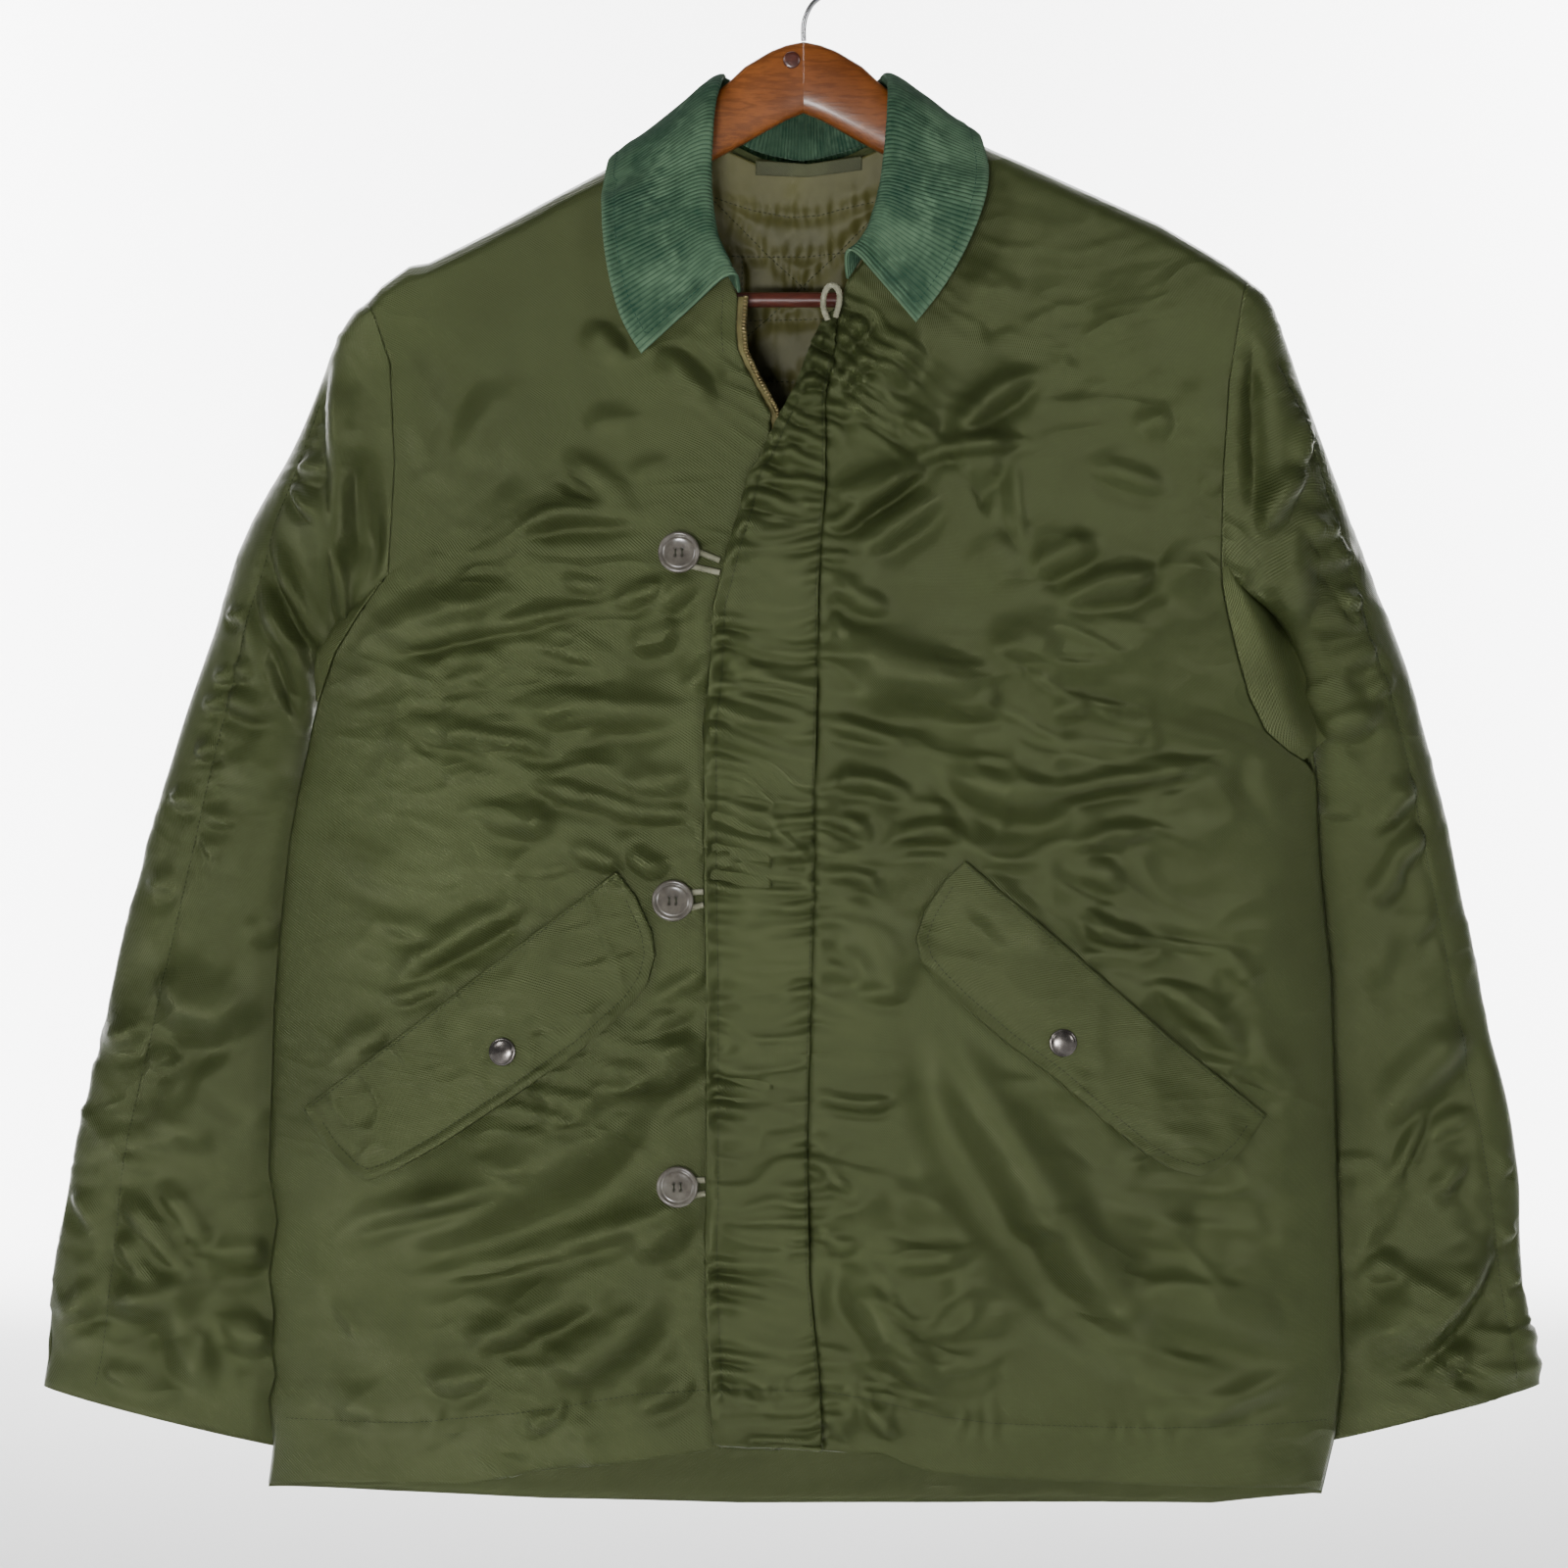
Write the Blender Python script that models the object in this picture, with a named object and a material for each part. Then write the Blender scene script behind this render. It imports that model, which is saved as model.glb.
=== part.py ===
"""Deck jacket hanging on a wooden hanger. Millimetres inside, metres out; +Z up, front to -Y."""
import math

import bmesh
import bpy
import numpy as np
from mathutils import Vector
from mathutils.bvhtree import BVHTree

# Named sizes in millimetres
WALL = 1.6
FLAP_WALL = 2.4
PLACKET_WALL = 2.0
LINING_WALL = 2.0
SEAM_GAP = 0.75
LAY_GAP = 0.45
SIDE_Y = -5.0
ARM_SWEEP = 22.0
ARM_REACH = 218.0
CORD_R = 1.85
BUTTON_R = 12.0
BUTTON_T = 4.2
SHANK_H = 5.2
SHANK_R = 2.8
SNAP_R = 8.0
SNAP_T = 3.0
BAR_R = 4.4
BAR_Z = -216.0
BAR_Y = -16.0
HOOK_R = 1.6
LOOP_R = 21.0
LOOP_Z = -19.4
HANGER_TOP = -64.5

# Outline tables: x, z
RIDGE_LEFT = [(-251, -219), (-243, -210), (-227, -198), (-216, -196), (-182, -178), (-148, -159),
              (-114, -140), (-74, -109), (-66, -103.3)]
RIDGE_RIGHT = [(66, -102.3), (80, -111), (106, -127.5), (148, -146.5), (205, -173.5), (230, -189),
               (244, -198), (255, -206)]
NECK_ARCH = [(-44, -86.5), (0, -60), (44, -86.5)]
ARM_LEFT = [(-239, -376), (-235, -312), (-237, -255), (-246, -228), (-251, -219)]
ARM_RIGHT = [(240, -370), (241, -316), (244, -265), (251, -218), (255, -206)]
SIDE_LEFT = [(-310, -902), (-307, -878), (-310, -854), (-306, -839), (-308, -825), (-307, -802),
             (-310, -781), (-305, -749), (-310, -720), (-308, -664), (-307, -628), (-304, -587),
             (-298, -530), (-293, -502), (-287, -475)]
SIDE_RIGHT = [(300, -906), (308, -872), (312, -838), (311, -781), (309, -712), (306, -610),
              (300, -553), (298, -519), (298, -504), (297, -492)]
FRONT_EDGE = [(-14, -878), (-17, -780), (-18, -600), (-19, -420), (-19, -300), (-19, -284),
              (-25, -273), (-33, -258), (-38, -247), (-39, -234), (-38, -216)]
FLAP_SEAM = [(11, -877), (10, -841), (7, -810), (4, -780), (3, -735), (3, -692),
             (7, -552), (7, -500), (8, -455), (9, -416), (9, -384), (11, -350), (13, -324),
             (13, -299), (13, -273), (17, -255), (19, -233), (24, -208)]
FLAP_FREE = [(-52, -874), (-54, -845), (-56, -794), (-57, -750), (-56, -741), (-56, -669),
             (-56, -610), (-57, -552), (-57, -462), (-54, -435), (-52, -394), (-49, -383),
             (-44, -363), (-36, -337), (-32, -318), (-26, -310), (-14, -284), (-5, -268),
             (5, -241), (12, -228)]
HEM_RIGHT = [(-310, -902), (-283, -900), (-191, -898), (-146, -889), (-102, -885), (-52, -877),
             (-14, -878)]
HEM_LEFT = [(300, -906), (287, -903), (266, -902), (215, -900), (124, -895), (76, -891),
            (59, -886), (46, -880), (27, -879), (11, -877)]
HEM_BACK = [(-310, -904), (-242, -910), (-150, -916), (-37, -919), (81, -919), (240, -917),
            (300, -908)]
NECK_RIGHT = [(-66, -103.3), (-63, -126), (-59, -145), (-55, -168), (-50, -188), (-38, -216)]
NECK_LEFT = [(66, -102.3), (61, -120), (55, -140), (50, -160), (43, -178), (34, -195), (24, -208)]
NECK_BACK = [(-66, -103.3), (-60, -108.5), (-52, -114.5), (-40, -123), (-24, -130.5), (0, -134),
             (24, -129.5), (40, -122), (52, -113.5), (60, -107.5), (66, -102.3)]
UNDERARM_LEFT = [(-287, -475), (-281, -450), (-270, -420), (-255, -397), (-244, -382),
                 (-239, -376)]
UNDERARM_FRONT = [(297, -492), (291, -484), (279, -477), (266, -466), (256, -446), (249, -421),
                  (243, -396), (240, -380), (240, -370)]
UNDERARM_BACK = [(297, -492), (295, -472), (289, -449), (280, -412), (264, -390), (246, -374),
                 (240, -370)]

# Body depth in front of and behind the side edge: z, front, back
DEPTH = [(-930, 42, 42), (-800, 44, 43), (-640, 48, 44), (-475, 52, 44), (-376, 52, 42),
         (-300, 45, 38), (-222, 38, 33), (-130, 36, 30), (-80, 36, 30)]
# Where the lens of the body closes above the side seams: z, left, right
CLOSE = [(-492, -291, 297), (-475, -287, 296.5), (-430, -285, 294), (-376, -288, 290), (-300, -292, 292),
         (-200, -294, 294)]

# Largest folds of the fronts: x0, z0, x1, z1, half_width, height
FOLDS_FRONT = [
    (-263, -423, -142, -391, 12, 4.0), (-186, -409, -86, -386, 10, 3.0),
    (-183, -458, -67, -464, 12, 2.5), (-231, -463, -168, -476, 10, 2.5),
    (-164, -497, -91, -513, 12, 2.5), (-284, -509, -229, -558, 12, 3.0),
    (-239, -610, -151, -555, 12, 2.5), (-150, -735, -66, -672, 18, -3.0),
    (-146, -832, -66, -775, 14, 3.0), (105, -516, 220, -495, 12, 3.0),
    (78, -453, 117, -464, 10, 2.0), (138, -392, 207, -386, 12, 3.0),
    (52, -640, 138, -760, 13, 3.0), (201, -802, 290, -827, 13, 3.0),
    (20, -790, 66, -845, 12, 3.0), (255, -487, 285, -525, 12, 3.0),
    (-200, -300, -120, -360, 16, 2.5), (200, -290, 120, -350, 16, 2.5)]
# Largest folds of the back: x0, z0, x1, z1, half_width, height
FOLDS_BACK = [
    (-240, -410, -110, -380, 14, 3.5), (240, -405, 120, -375, 14, 3.5),
    (-220, -470, -90, -500, 14, 3.0), (215, -480, 100, -510, 14, 3.0),
    (-200, -620, -90, -560, 16, 2.5), (190, -640, 80, -590, 16, 2.5),
    (-180, -800, -60, -740, 16, 3.0), (230, -820, 110, -760, 16, 3.0)]

# Sleeve sections: outer_x, outer_z, inner_x, inner_z, centre_y, half_depth
SLEEVE_RIGHT = [
    (-263, -236, -251, -384, -6, 30), (-280, -270, -269, -404, 0, 31),
    (-302, -309, -279, -436, 13, 29), (-327, -356, -285, -470, 17, 27),
    (-345, -408, -287, -503, 20, 25), (-362, -459, -284, -540, 23, 23),
    (-376, -506, -281, -575, 26, 22), (-401, -594, -284, -640, 28, 21),
    (-417, -674, -286, -715, 28, 21), (-429, -734, -287, -775, 28, 21),
    (-439, -789, -287, -830, 27, 21), (-446, -849, -286, -888, 26, 22)]
SLEEVE_LEFT = [
    (266, -225, 263, -381, -6, 30), (284, -262, 283.5, -405, 0, 31),
    (309, -318, 289.5, -436, 14, 29), (333, -379, 293, -470, 18, 27),
    (356, -438, 291, -510, 20, 25), (373, -507, 288, -550, 24, 23),
    (390, -582, 284, -610, 27, 22), (402, -645, 285, -675, 28, 21),
    (413, -697, 286, -725, 28, 21), (421, -758, 287, -785, 28, 21),
    (424, -812, 287, -840, 27, 21), (430, -848, 286, -885, 26, 22)]

# Collar stations from the right front end round the back to the left front end:
# seam_x, seam_z, roll_x, roll_y, roll_z, edge_x, edge_y, edge_z
COLLAR = [
    (-37, -214, -40, -46, -205, -93, -50, -250), (-44, -202, -47, -44, -192, -104, -50, -231),
    (-49, -187, -53, -41, -178, -111, -50, -208), (-54, -167, -55, -39, -160, -115, -46, -184),
    (-57, -144, -55, -34, -138, -116, -38, -163), (-60, -120, -53, -27, -111, -115, -22, -149),
    (-62, -98.5, -48, -5, -85.5, -108, -2, -131), (-58, -109, -40, 17, -88, -86, 29, -128),
    (-27, -128, -22, 25, -88, -46, 41, -140), (0, -133, 0, 27, -88, 0, 44, -146),
    (27, -127, 22, 25, -88, 46, 41, -138), (58, -108, 41, 17, -88, 82, 29, -122),
    (62, -98, 49, -5, -85.5, 98, -2, -118), (59, -119, 49, -27, -109, 105, -22, -134),
    (53, -138, 47, -34, -136, 106, -38, -149), (48, -158, 45, -39, -152, 102, -46, -167),
    (41, -176, 42, -41, -167, 92, -50, -191), (33, -193, 35, -44, -180, 79, -50, -213),
    (25, -206, 25, -46, -191, 64, -50, -232)]

# Pocket flap outlines: the seam corner, outer corner, outer corner, seam corner runs
POCKET_RIGHT = [
    [(-289, -683), (-230, -639), (-170, -593), (-107, -546)],
    [(-289, -683), (-274, -706), (-261, -719)],
    [(-261, -719), (-250, -724), (-235, -718), (-207, -702), (-168, -676), (-127, -648),
     (-98, -622)],
    [(-107, -546), (-96, -560), (-87, -580), (-85, -594), (-89, -609), (-98, -622)]]
POCKET_LEFT = [
    [(266, -687), (208, -640), (150, -589), (92, -540)],
    [(266, -687), (252, -706), (241, -716)],
    [(241, -716), (227, -721), (211, -717), (196, -708), (170, -687), (145, -665), (116, -644),
     (89, -621), (76, -608)],
    [(92, -540), (80, -551), (69, -569), (64, -584), (67, -597), (76, -608)]]

# Hanger arm: x, top_z, low_z, half_depth
ARM = [(0.15, -64.5, -106, 6.5), (10, -66.5, -110, 6.6), (19, -70, -115, 6.8),
       (34, -79, -123.5, 7.2), (44, -88.5, -129, 7.5), (60, -101.5, -138, 8.0),
       (80, -116, -150, 8.6), (114, -143.5, -173, 9.5), (148, -162, -193, 10.4),
       (182, -181, -213, 11.3), (205, -193.5, -225, 11.9), (215, -199.5, -225, 10.5),
       (218, -204, -220, 6.0)]

# Buttons and their loops: x, z, loop_end_z_high, loop_end_z_low
BUTTONS = [(-71, -365, -368.6, -375.6), (-75, -564, -557.5, -565.0), (-73, -728, -722.5, -730.0)]
SNAPS = [(-172, -649), (148, -644)]
BUTTON_NAMES = ["top", "mid", "low"]

# Materials: colour, roughness, metallic
FINISH = {
    "nylon": ((0.075, 0.098, 0.032), 0.5, 0.0), "cord_cloth": ((0.045, 0.16, 0.085), 0.8, 0.0),
    "lining": ((0.10, 0.09, 0.028), 0.7, 0.0), "braid": ((0.19, 0.19, 0.12), 0.8, 0.0),
    "tape": ((0.16, 0.13, 0.04), 0.7, 0.0), "button": ((0.12, 0.11, 0.09), 0.25, 0.0),
    "gunmetal": ((0.08, 0.08, 0.075), 0.35, 0.9), "wood": ((0.23, 0.075, 0.022), 0.35, 0.0),
    "red_wood": ((0.13, 0.025, 0.012), 0.4, 0.0), "steel": ((0.55, 0.55, 0.56), 0.25, 1.0)}


def clear_scene():
    """Remove every object that the file starts with."""
    for item in list(bpy.data.objects):
        bpy.data.objects.remove(item, do_unlink=True)


def material(name):
    """Return the Principled material of a named finish."""
    found = bpy.data.materials.get(name)
    if found:
        return found
    colour, rough, metal = FINISH[name]
    made = bpy.data.materials.new(name)
    made.use_nodes = True
    shader = made.node_tree.nodes["Principled BSDF"]
    shader.inputs["Base Color"].default_value = (*colour, 1.0)
    shader.inputs["Roughness"].default_value = rough
    shader.inputs["Metallic"].default_value = metal
    made.diffuse_color = (*colour, 1.0)
    return made


def add_mesh(name, verts, faces, finish, smooth=True):
    """Make one closed outward-facing object from millimetre points."""
    mesh = bpy.data.meshes.new(name)
    points = [tuple(float(c) * 0.001 for c in v) for v in verts]
    mesh.from_pydata(points, [], [tuple(int(i) for i in f) for f in faces])
    work = bmesh.new()
    work.from_mesh(mesh)
    bmesh.ops.recalc_face_normals(work, faces=work.faces)
    work.to_mesh(mesh)
    work.free()
    for poly in mesh.polygons:
        poly.use_smooth = smooth
    mesh.materials.append(material(finish))
    thing = bpy.data.objects.new(name, mesh)
    bpy.context.scene.collection.objects.link(thing)
    return thing


def along(table, parts):
    """Sample a polyline at fractions of its length."""
    points = np.array(table, dtype=float)
    step = np.linalg.norm(np.diff(points, axis=0), axis=1)
    total = np.concatenate([[0.0], np.cumsum(step)])
    want = np.asarray(parts) * total[-1]
    return np.stack([np.interp(want, total, points[:, k]) for k in range(points.shape[1])], axis=1)


def polyline_length(table):
    """Length of a polyline."""
    return float(np.linalg.norm(np.diff(np.array(table, dtype=float), axis=0), axis=1).sum())


def coons(left, right, low, top, us, vs):
    """Fill four boundary polylines; left and right run up, low and top run across."""
    a, b = along(left, vs), along(right, vs)
    c, d = along(low, us), along(top, us)
    u, v = np.meshgrid(us, vs, indexing="ij")
    u, v = u[..., None], v[..., None]
    corner = ((1 - u) * (1 - v) * a[0] + u * (1 - v) * b[0] + (1 - u) * v * a[-1] + u * v * b[-1])
    across = (1 - u) * a[None] + u * b[None]
    upward = (1 - v) * c[:, None] + v * d[:, None]
    return across + upward - corner


def column(table, z, index):
    """Interpolate one column of a table whose first or second entry is z."""
    rows = np.array(table, dtype=float)
    rows = rows[np.argsort(rows[:, 0])]
    return np.interp(z, rows[:, 0], rows[:, index])


def by_z(table, z):
    """Return x of an outline at height z."""
    rows = np.array(table, dtype=float)
    rows = rows[np.argsort(rows[:, 1])]
    return np.interp(z, rows[:, 1], rows[:, 0])


def ridge_z(x):
    """Height of the shoulder line over the hanger."""
    rows = np.array(RIDGE_LEFT + NECK_ARCH + RIDGE_RIGHT, dtype=float)
    return np.interp(x, rows[:, 0], rows[:, 1])


def ridge_y(x):
    """Forward sweep of the shoulder line."""
    return -ARM_SWEEP * (np.minimum(np.abs(x), 240.0) / ARM_REACH) ** 2


def arm_top(x):
    """Height of the hanger's upper edge."""
    rows = np.array(ARM, dtype=float)
    plain = np.interp(np.abs(x), rows[:, 0], rows[:, 1])
    return np.where(np.abs(x) >= 60.0, np.minimum(ridge_z(x) - 3.1, plain + 40.0), plain)


def lens(x, z):
    """Share of the full depth at a place, zero at the side folds."""
    left = np.where(z < -475, by_z(SIDE_LEFT, z), column(CLOSE, z, 1))
    right = np.where(z < -492, by_z(SIDE_RIGHT, z), column(CLOSE, z, 2))
    t = np.clip((x - left) / (right - left), 0.0, 1.0)
    return (1 - np.abs(2 * t - 1) ** 2.6) ** 0.65


def body_y(x, z, side):
    """Depth of the front (side 1) or back (side 2) of the body."""
    x, z = np.asarray(x, dtype=float), np.asarray(z, dtype=float)
    s = np.maximum(ridge_z(x) - z, 0.0)
    mid = SIDE_Y + (ridge_y(x) - SIDE_Y) * np.exp(-(s / 120.0) ** 2)
    round_over = np.sqrt(1 - (1 - np.minimum(s / 13.0, 1.0)) ** 2)
    keep = np.exp(-(s / 80.0) ** 2)
    wrap = (9.8 + 5.5 * np.minimum(np.abs(x) / ARM_REACH, 1.1)) * keep
    full = column(DEPTH, z, side) * lens(x, z)
    off = wrap * round_over + (full - wrap) * (1 - np.exp(-s / 70.0))
    off = np.maximum(off, 0.0)
    return mid - off if side == 1 else mid + off


def folds(x, z, table):
    """Sum of the fold heights at a place."""
    total = np.zeros_like(x)
    for x0, z0, x1, z1, width, height in table:
        run = math.hypot(x1 - x0, z1 - z0)
        ex, ez = (x1 - x0) / run, (z1 - z0) / run
        t = ((x - x0) * ex + (z - z0) * ez) / run
        d = (x - x0) * ez - (z - z0) * ex
        fade = np.clip(1.25 - np.abs(2 * t - 1) * 1.25, 0.0, 1.0)
        total = total + height * np.exp(-(d / width) ** 2) * fade * (2 - fade)
    return total


def front_y(x, z):
    """Depth of the front with its folds."""
    edge = np.clip(lens(x, z) * 2.4 - 0.7, 0.0, 1.0)
    return body_y(x, z, 1) - folds(x, z, FOLDS_FRONT) * edge


def back_y(x, z):
    """Depth of the back with its folds."""
    edge = np.clip(lens(x, z) * 2.4 - 0.7, 0.0, 1.0)
    return body_y(x, z, 2) + folds(x, z, FOLDS_BACK) * edge


def smooth(t):
    """Ease from 0 to 1."""
    t = np.clip(t, 0.0, 1.0)
    return t * t * (3 - 2 * t)


def tuck(x, z):
    """How far the right front sinks under the storm flap."""
    return 3.4 * smooth((x - by_z(FLAP_FREE, z) + 6.0) / 22.0)


def lift(x, z):
    """How far the storm flap stands over the front's own depth."""
    return 3.4 * (1 - smooth((x - by_z(FLAP_FREE, z)) / 22.0))


def grid_normals(grid, wrap=False):
    """Unit normals of a grid of points."""
    if wrap:
        du = np.roll(grid, -1, axis=0) - np.roll(grid, 1, axis=0)
    else:
        du = np.gradient(grid, axis=0)
    dv = np.gradient(grid, axis=1)
    normal = np.cross(du, dv)
    return normal / np.maximum(np.linalg.norm(normal, axis=2, keepdims=True), 1e-9)


def ends(flat):
    """Mark rims: 1 where a wall meets its partner along y, 2 where it meets along x."""
    mark = np.zeros(flat.shape[:2], dtype=int)
    x, z = np.abs(flat[..., 0]), flat[..., 1]
    mark[:, -1] = np.where(x[:, -1] > 59.0, 1, 0)
    mark[0, z[0] < -376.0] = 1
    mark[-1, (z[-1] < -376.0) & (x[-1] > 230.0)] = 1
    for i in (0, -1):
        mark[i, (z[i] >= -376.0) & (x[i] > 230.0) & (mark[i] == 0)] = 2
    return mark


def shell(name, grid, wall, finish, wrap=False, offsets=None, square=None):
    """Give a grid of middle points a wall and close its rims."""
    normal = grid_normals(grid, wrap)
    if square is not None:
        normal[square == 1, 1] = 0.0
        normal[square == 2, 0] = 0.0
        normal /= np.linalg.norm(normal, axis=2, keepdims=True)
    rise = 0.0 if offsets is None else offsets[..., None]
    outer, inner = grid + normal * (wall / 2 + rise), grid - normal * wall / 2
    nu, nv = grid.shape[:2]
    verts = np.concatenate([outer.reshape(-1, 3), inner.reshape(-1, 3)])
    base = nu * nv
    faces = []
    spans = nu if wrap else nu - 1
    for i in range(spans):
        j = (i + 1) % nu
        for k in range(nv - 1):
            a, b, c, d = i * nv + k, j * nv + k, j * nv + k + 1, i * nv + k + 1
            faces += [(a, b, c), (a, c, d)]
            faces += [(base + c, base + b, base + a), (base + d, base + c, base + a)]
        for k in (0, nv - 1):
            a, b = i * nv + k, j * nv + k
            faces.append((a, b, base + b, base + a) if k else (b, a, base + a, base + b))
    if not wrap:
        for i in (0, nu - 1):
            for k in range(nv - 1):
                a, d = i * nv + k, i * nv + k + 1
                faces.append((d, a, base + a, base + d) if i else (a, d, base + d, base + a))
    return add_mesh(name, verts, faces, finish)


def tree(thing):
    """Nearest-surface tree of an object, in millimetres."""
    verts = [v.co * 1000.0 for v in thing.data.vertices]
    return BVHTree.FromPolygons(verts, [tuple(p.vertices) for p in thing.data.polygons])


def seen_y(surface, x, z, reach):
    """Front-most depth of a surface within reach of a place."""
    best = 1000.0
    for dx in (-reach, 0.0, reach):
        for dz in (-reach, 0.0, reach):
            hit = surface.ray_cast(Vector((x + dx, -200.0, z + dz)), Vector((0.0, 1.0, 0.0)))
            if hit[0] is not None:
                best = min(best, hit[0].y)
    return best


def laid_y(flat, surface, reach):
    """Front-most depths of a surface under a grid of places."""
    y = np.zeros(flat.shape[:2])
    for i in range(flat.shape[0]):
        for k in range(flat.shape[1]):
            y[i, k] = seen_y(surface, flat[i, k, 0], flat[i, k, 1], reach)
    return y


def seen_point(surface, x, z):
    """Place and outward normal of a surface seen from the front."""
    hit = surface.ray_cast(Vector((x, -200.0, z)), Vector((0.0, 1.0, 0.0)))
    normal = hit[1] if hit[1].y < 0 else -hit[1]
    return np.array(hit[0]), np.array(normal)


def lathe(name, profile, place, normal, finish, sides=20):
    """Turn a closed profile of radius and height about a normal."""
    n = Vector(normal).normalized()
    side = n.cross(Vector((0.0, 0.0, 1.0))).normalized()
    up = side.cross(n)
    verts = []
    for r, h in profile:
        for k in range(sides):
            a = 2 * math.pi * k / sides
            verts.append(Vector(place) + n * h + (side * math.cos(a) + up * math.sin(a)) * r)
    rings = len(profile)
    faces = [tuple(range(sides)), tuple(range((rings - 1) * sides, rings * sides))]
    for i in range(rings - 1):
        for k in range(sides):
            m = (k + 1) % sides
            faces.append((i * sides + k, i * sides + m, (i + 1) * sides + m, (i + 1) * sides + k))
    return add_mesh(name, verts, faces, finish)


def curve_points(points, count):
    """Run a smooth curve through a short list of points."""
    p = np.array(points, dtype=float)
    ext = np.vstack([2 * p[0] - p[1], p, 2 * p[-1] - p[-2]])
    out = []
    for s in np.linspace(0, len(p) - 1, count):
        i = min(int(s), len(p) - 2)
        t = s - i
        a, b, c, d = ext[i], ext[i + 1], ext[i + 2], ext[i + 3]
        out.append(0.5 * (2 * b + (c - a) * t + (2 * a - 5 * b + 4 * c - d) * t * t
                          + (3 * b - 3 * c + d - a) * t ** 3))
    return np.array(out)


def sweep(name, path, radius, finish, sides=8):
    """Sweep a round section along a path that stays near one plane."""
    path = np.array(path, dtype=float)
    tangent = np.gradient(path, axis=0)
    tangent /= np.linalg.norm(tangent, axis=1, keepdims=True)
    flat = np.array([0.0, 1.0, 0.0])
    verts = []
    for p, t in zip(path, tangent):
        side = np.cross(t, flat)
        side /= np.linalg.norm(side)
        up = np.cross(side, t)
        for k in range(sides):
            a = 2 * math.pi * k / sides
            verts.append(p + radius * (math.cos(a) * side + math.sin(a) * up))
    rings = len(path)
    faces = [tuple(range(sides)), tuple(range((rings - 1) * sides, rings * sides))]
    for i in range(rings - 1):
        for k in range(sides):
            m = (k + 1) % sides
            faces.append((i * sides + k, i * sides + m, (i + 1) * sides + m, (i + 1) * sides + k))
    return add_mesh(name, verts, faces, finish)


def spread(count, power):
    """Fractions that start close together."""
    return np.linspace(0.0, 1.0, count) ** power


def with_depth(flat, depth):
    """Join an x and z grid with its depth."""
    return np.stack([flat[..., 0], depth, flat[..., 1]], axis=-1)


def build_body():
    """Make both fronts and the back."""
    us = spread(18, 1.3)
    vs = np.concatenate([np.linspace(0.0, 0.95, 29), [0.969, 0.984, 0.995, 1.0]])
    left = SIDE_LEFT + UNDERARM_LEFT[1:] + ARM_LEFT[1:]
    flat = coons(left, FRONT_EDGE + NECK_RIGHT[::-1][1:], HEM_RIGHT, RIDGE_LEFT, us, vs)
    y = front_y(flat[..., 0], flat[..., 1]) + tuck(flat[..., 0], flat[..., 1]) - 0.3
    edges = [with_depth(flat, y)[0]]
    right_front = shell("front_right", with_depth(flat, y), WALL, "nylon", square=ends(flat))
    right = SIDE_RIGHT + UNDERARM_FRONT[1:] + ARM_RIGHT[1:]
    flat = coons(right, FLAP_SEAM + NECK_LEFT[::-1][1:], HEM_LEFT, RIDGE_RIGHT[::-1], us, vs)
    y = front_y(flat[..., 0], flat[..., 1]) - 0.3
    edges.append(with_depth(flat, y)[0])
    left_front = shell("front_left", with_depth(flat, y), WALL, "nylon", square=ends(flat))
    right = SIDE_RIGHT + UNDERARM_BACK[1:] + ARM_RIGHT[1:]
    top = RIDGE_LEFT + NECK_BACK[1:-1] + RIDGE_RIGHT
    runs = [polyline_length(RIDGE_LEFT), polyline_length(NECK_BACK), polyline_length(RIDGE_RIGHT)]
    a, b = runs[0] / sum(runs), 1.0 - runs[2] / sum(runs)
    neck = np.array([0.014, 0.045, 0.11, 0.27, 0.5, 0.73, 0.89, 0.955, 0.986])
    us = np.concatenate([a * spread(7, 1.2), a + (b - a) * neck,
                         1.0 - (1.0 - b) * spread(7, 1.2)[::-1]])
    vs = np.concatenate([np.linspace(0.0, 0.95, 23), [0.969, 0.984, 0.995, 1.0]])
    flat = coons(left, right, HEM_BACK, top, us, vs)
    y = back_y(flat[..., 0], flat[..., 1]) + 0.3
    edges += [with_depth(flat, y)[0], with_depth(flat, y)[-1]]
    back = shell("back", with_depth(flat, y), WALL, "nylon", square=ends(flat))
    return right_front, left_front, back, edges


def armhole_ring(front_edge, back_edge, low, sign):
    """Loop of the armhole: the front's edge down, the underarm, the back's edge up."""
    down = front_edge[front_edge[:, 2] > low][::-1]
    up = back_edge[back_edge[:, 2] > low][:-1]
    under = [down[-1] + (up[0] - down[-1]) * t + np.array([0, 0, -1.0]) for t in (0.33, 0.67)]
    ring = np.vstack([down, under, up])
    ring[:, 0] += sign * SEAM_GAP
    return ring


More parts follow.
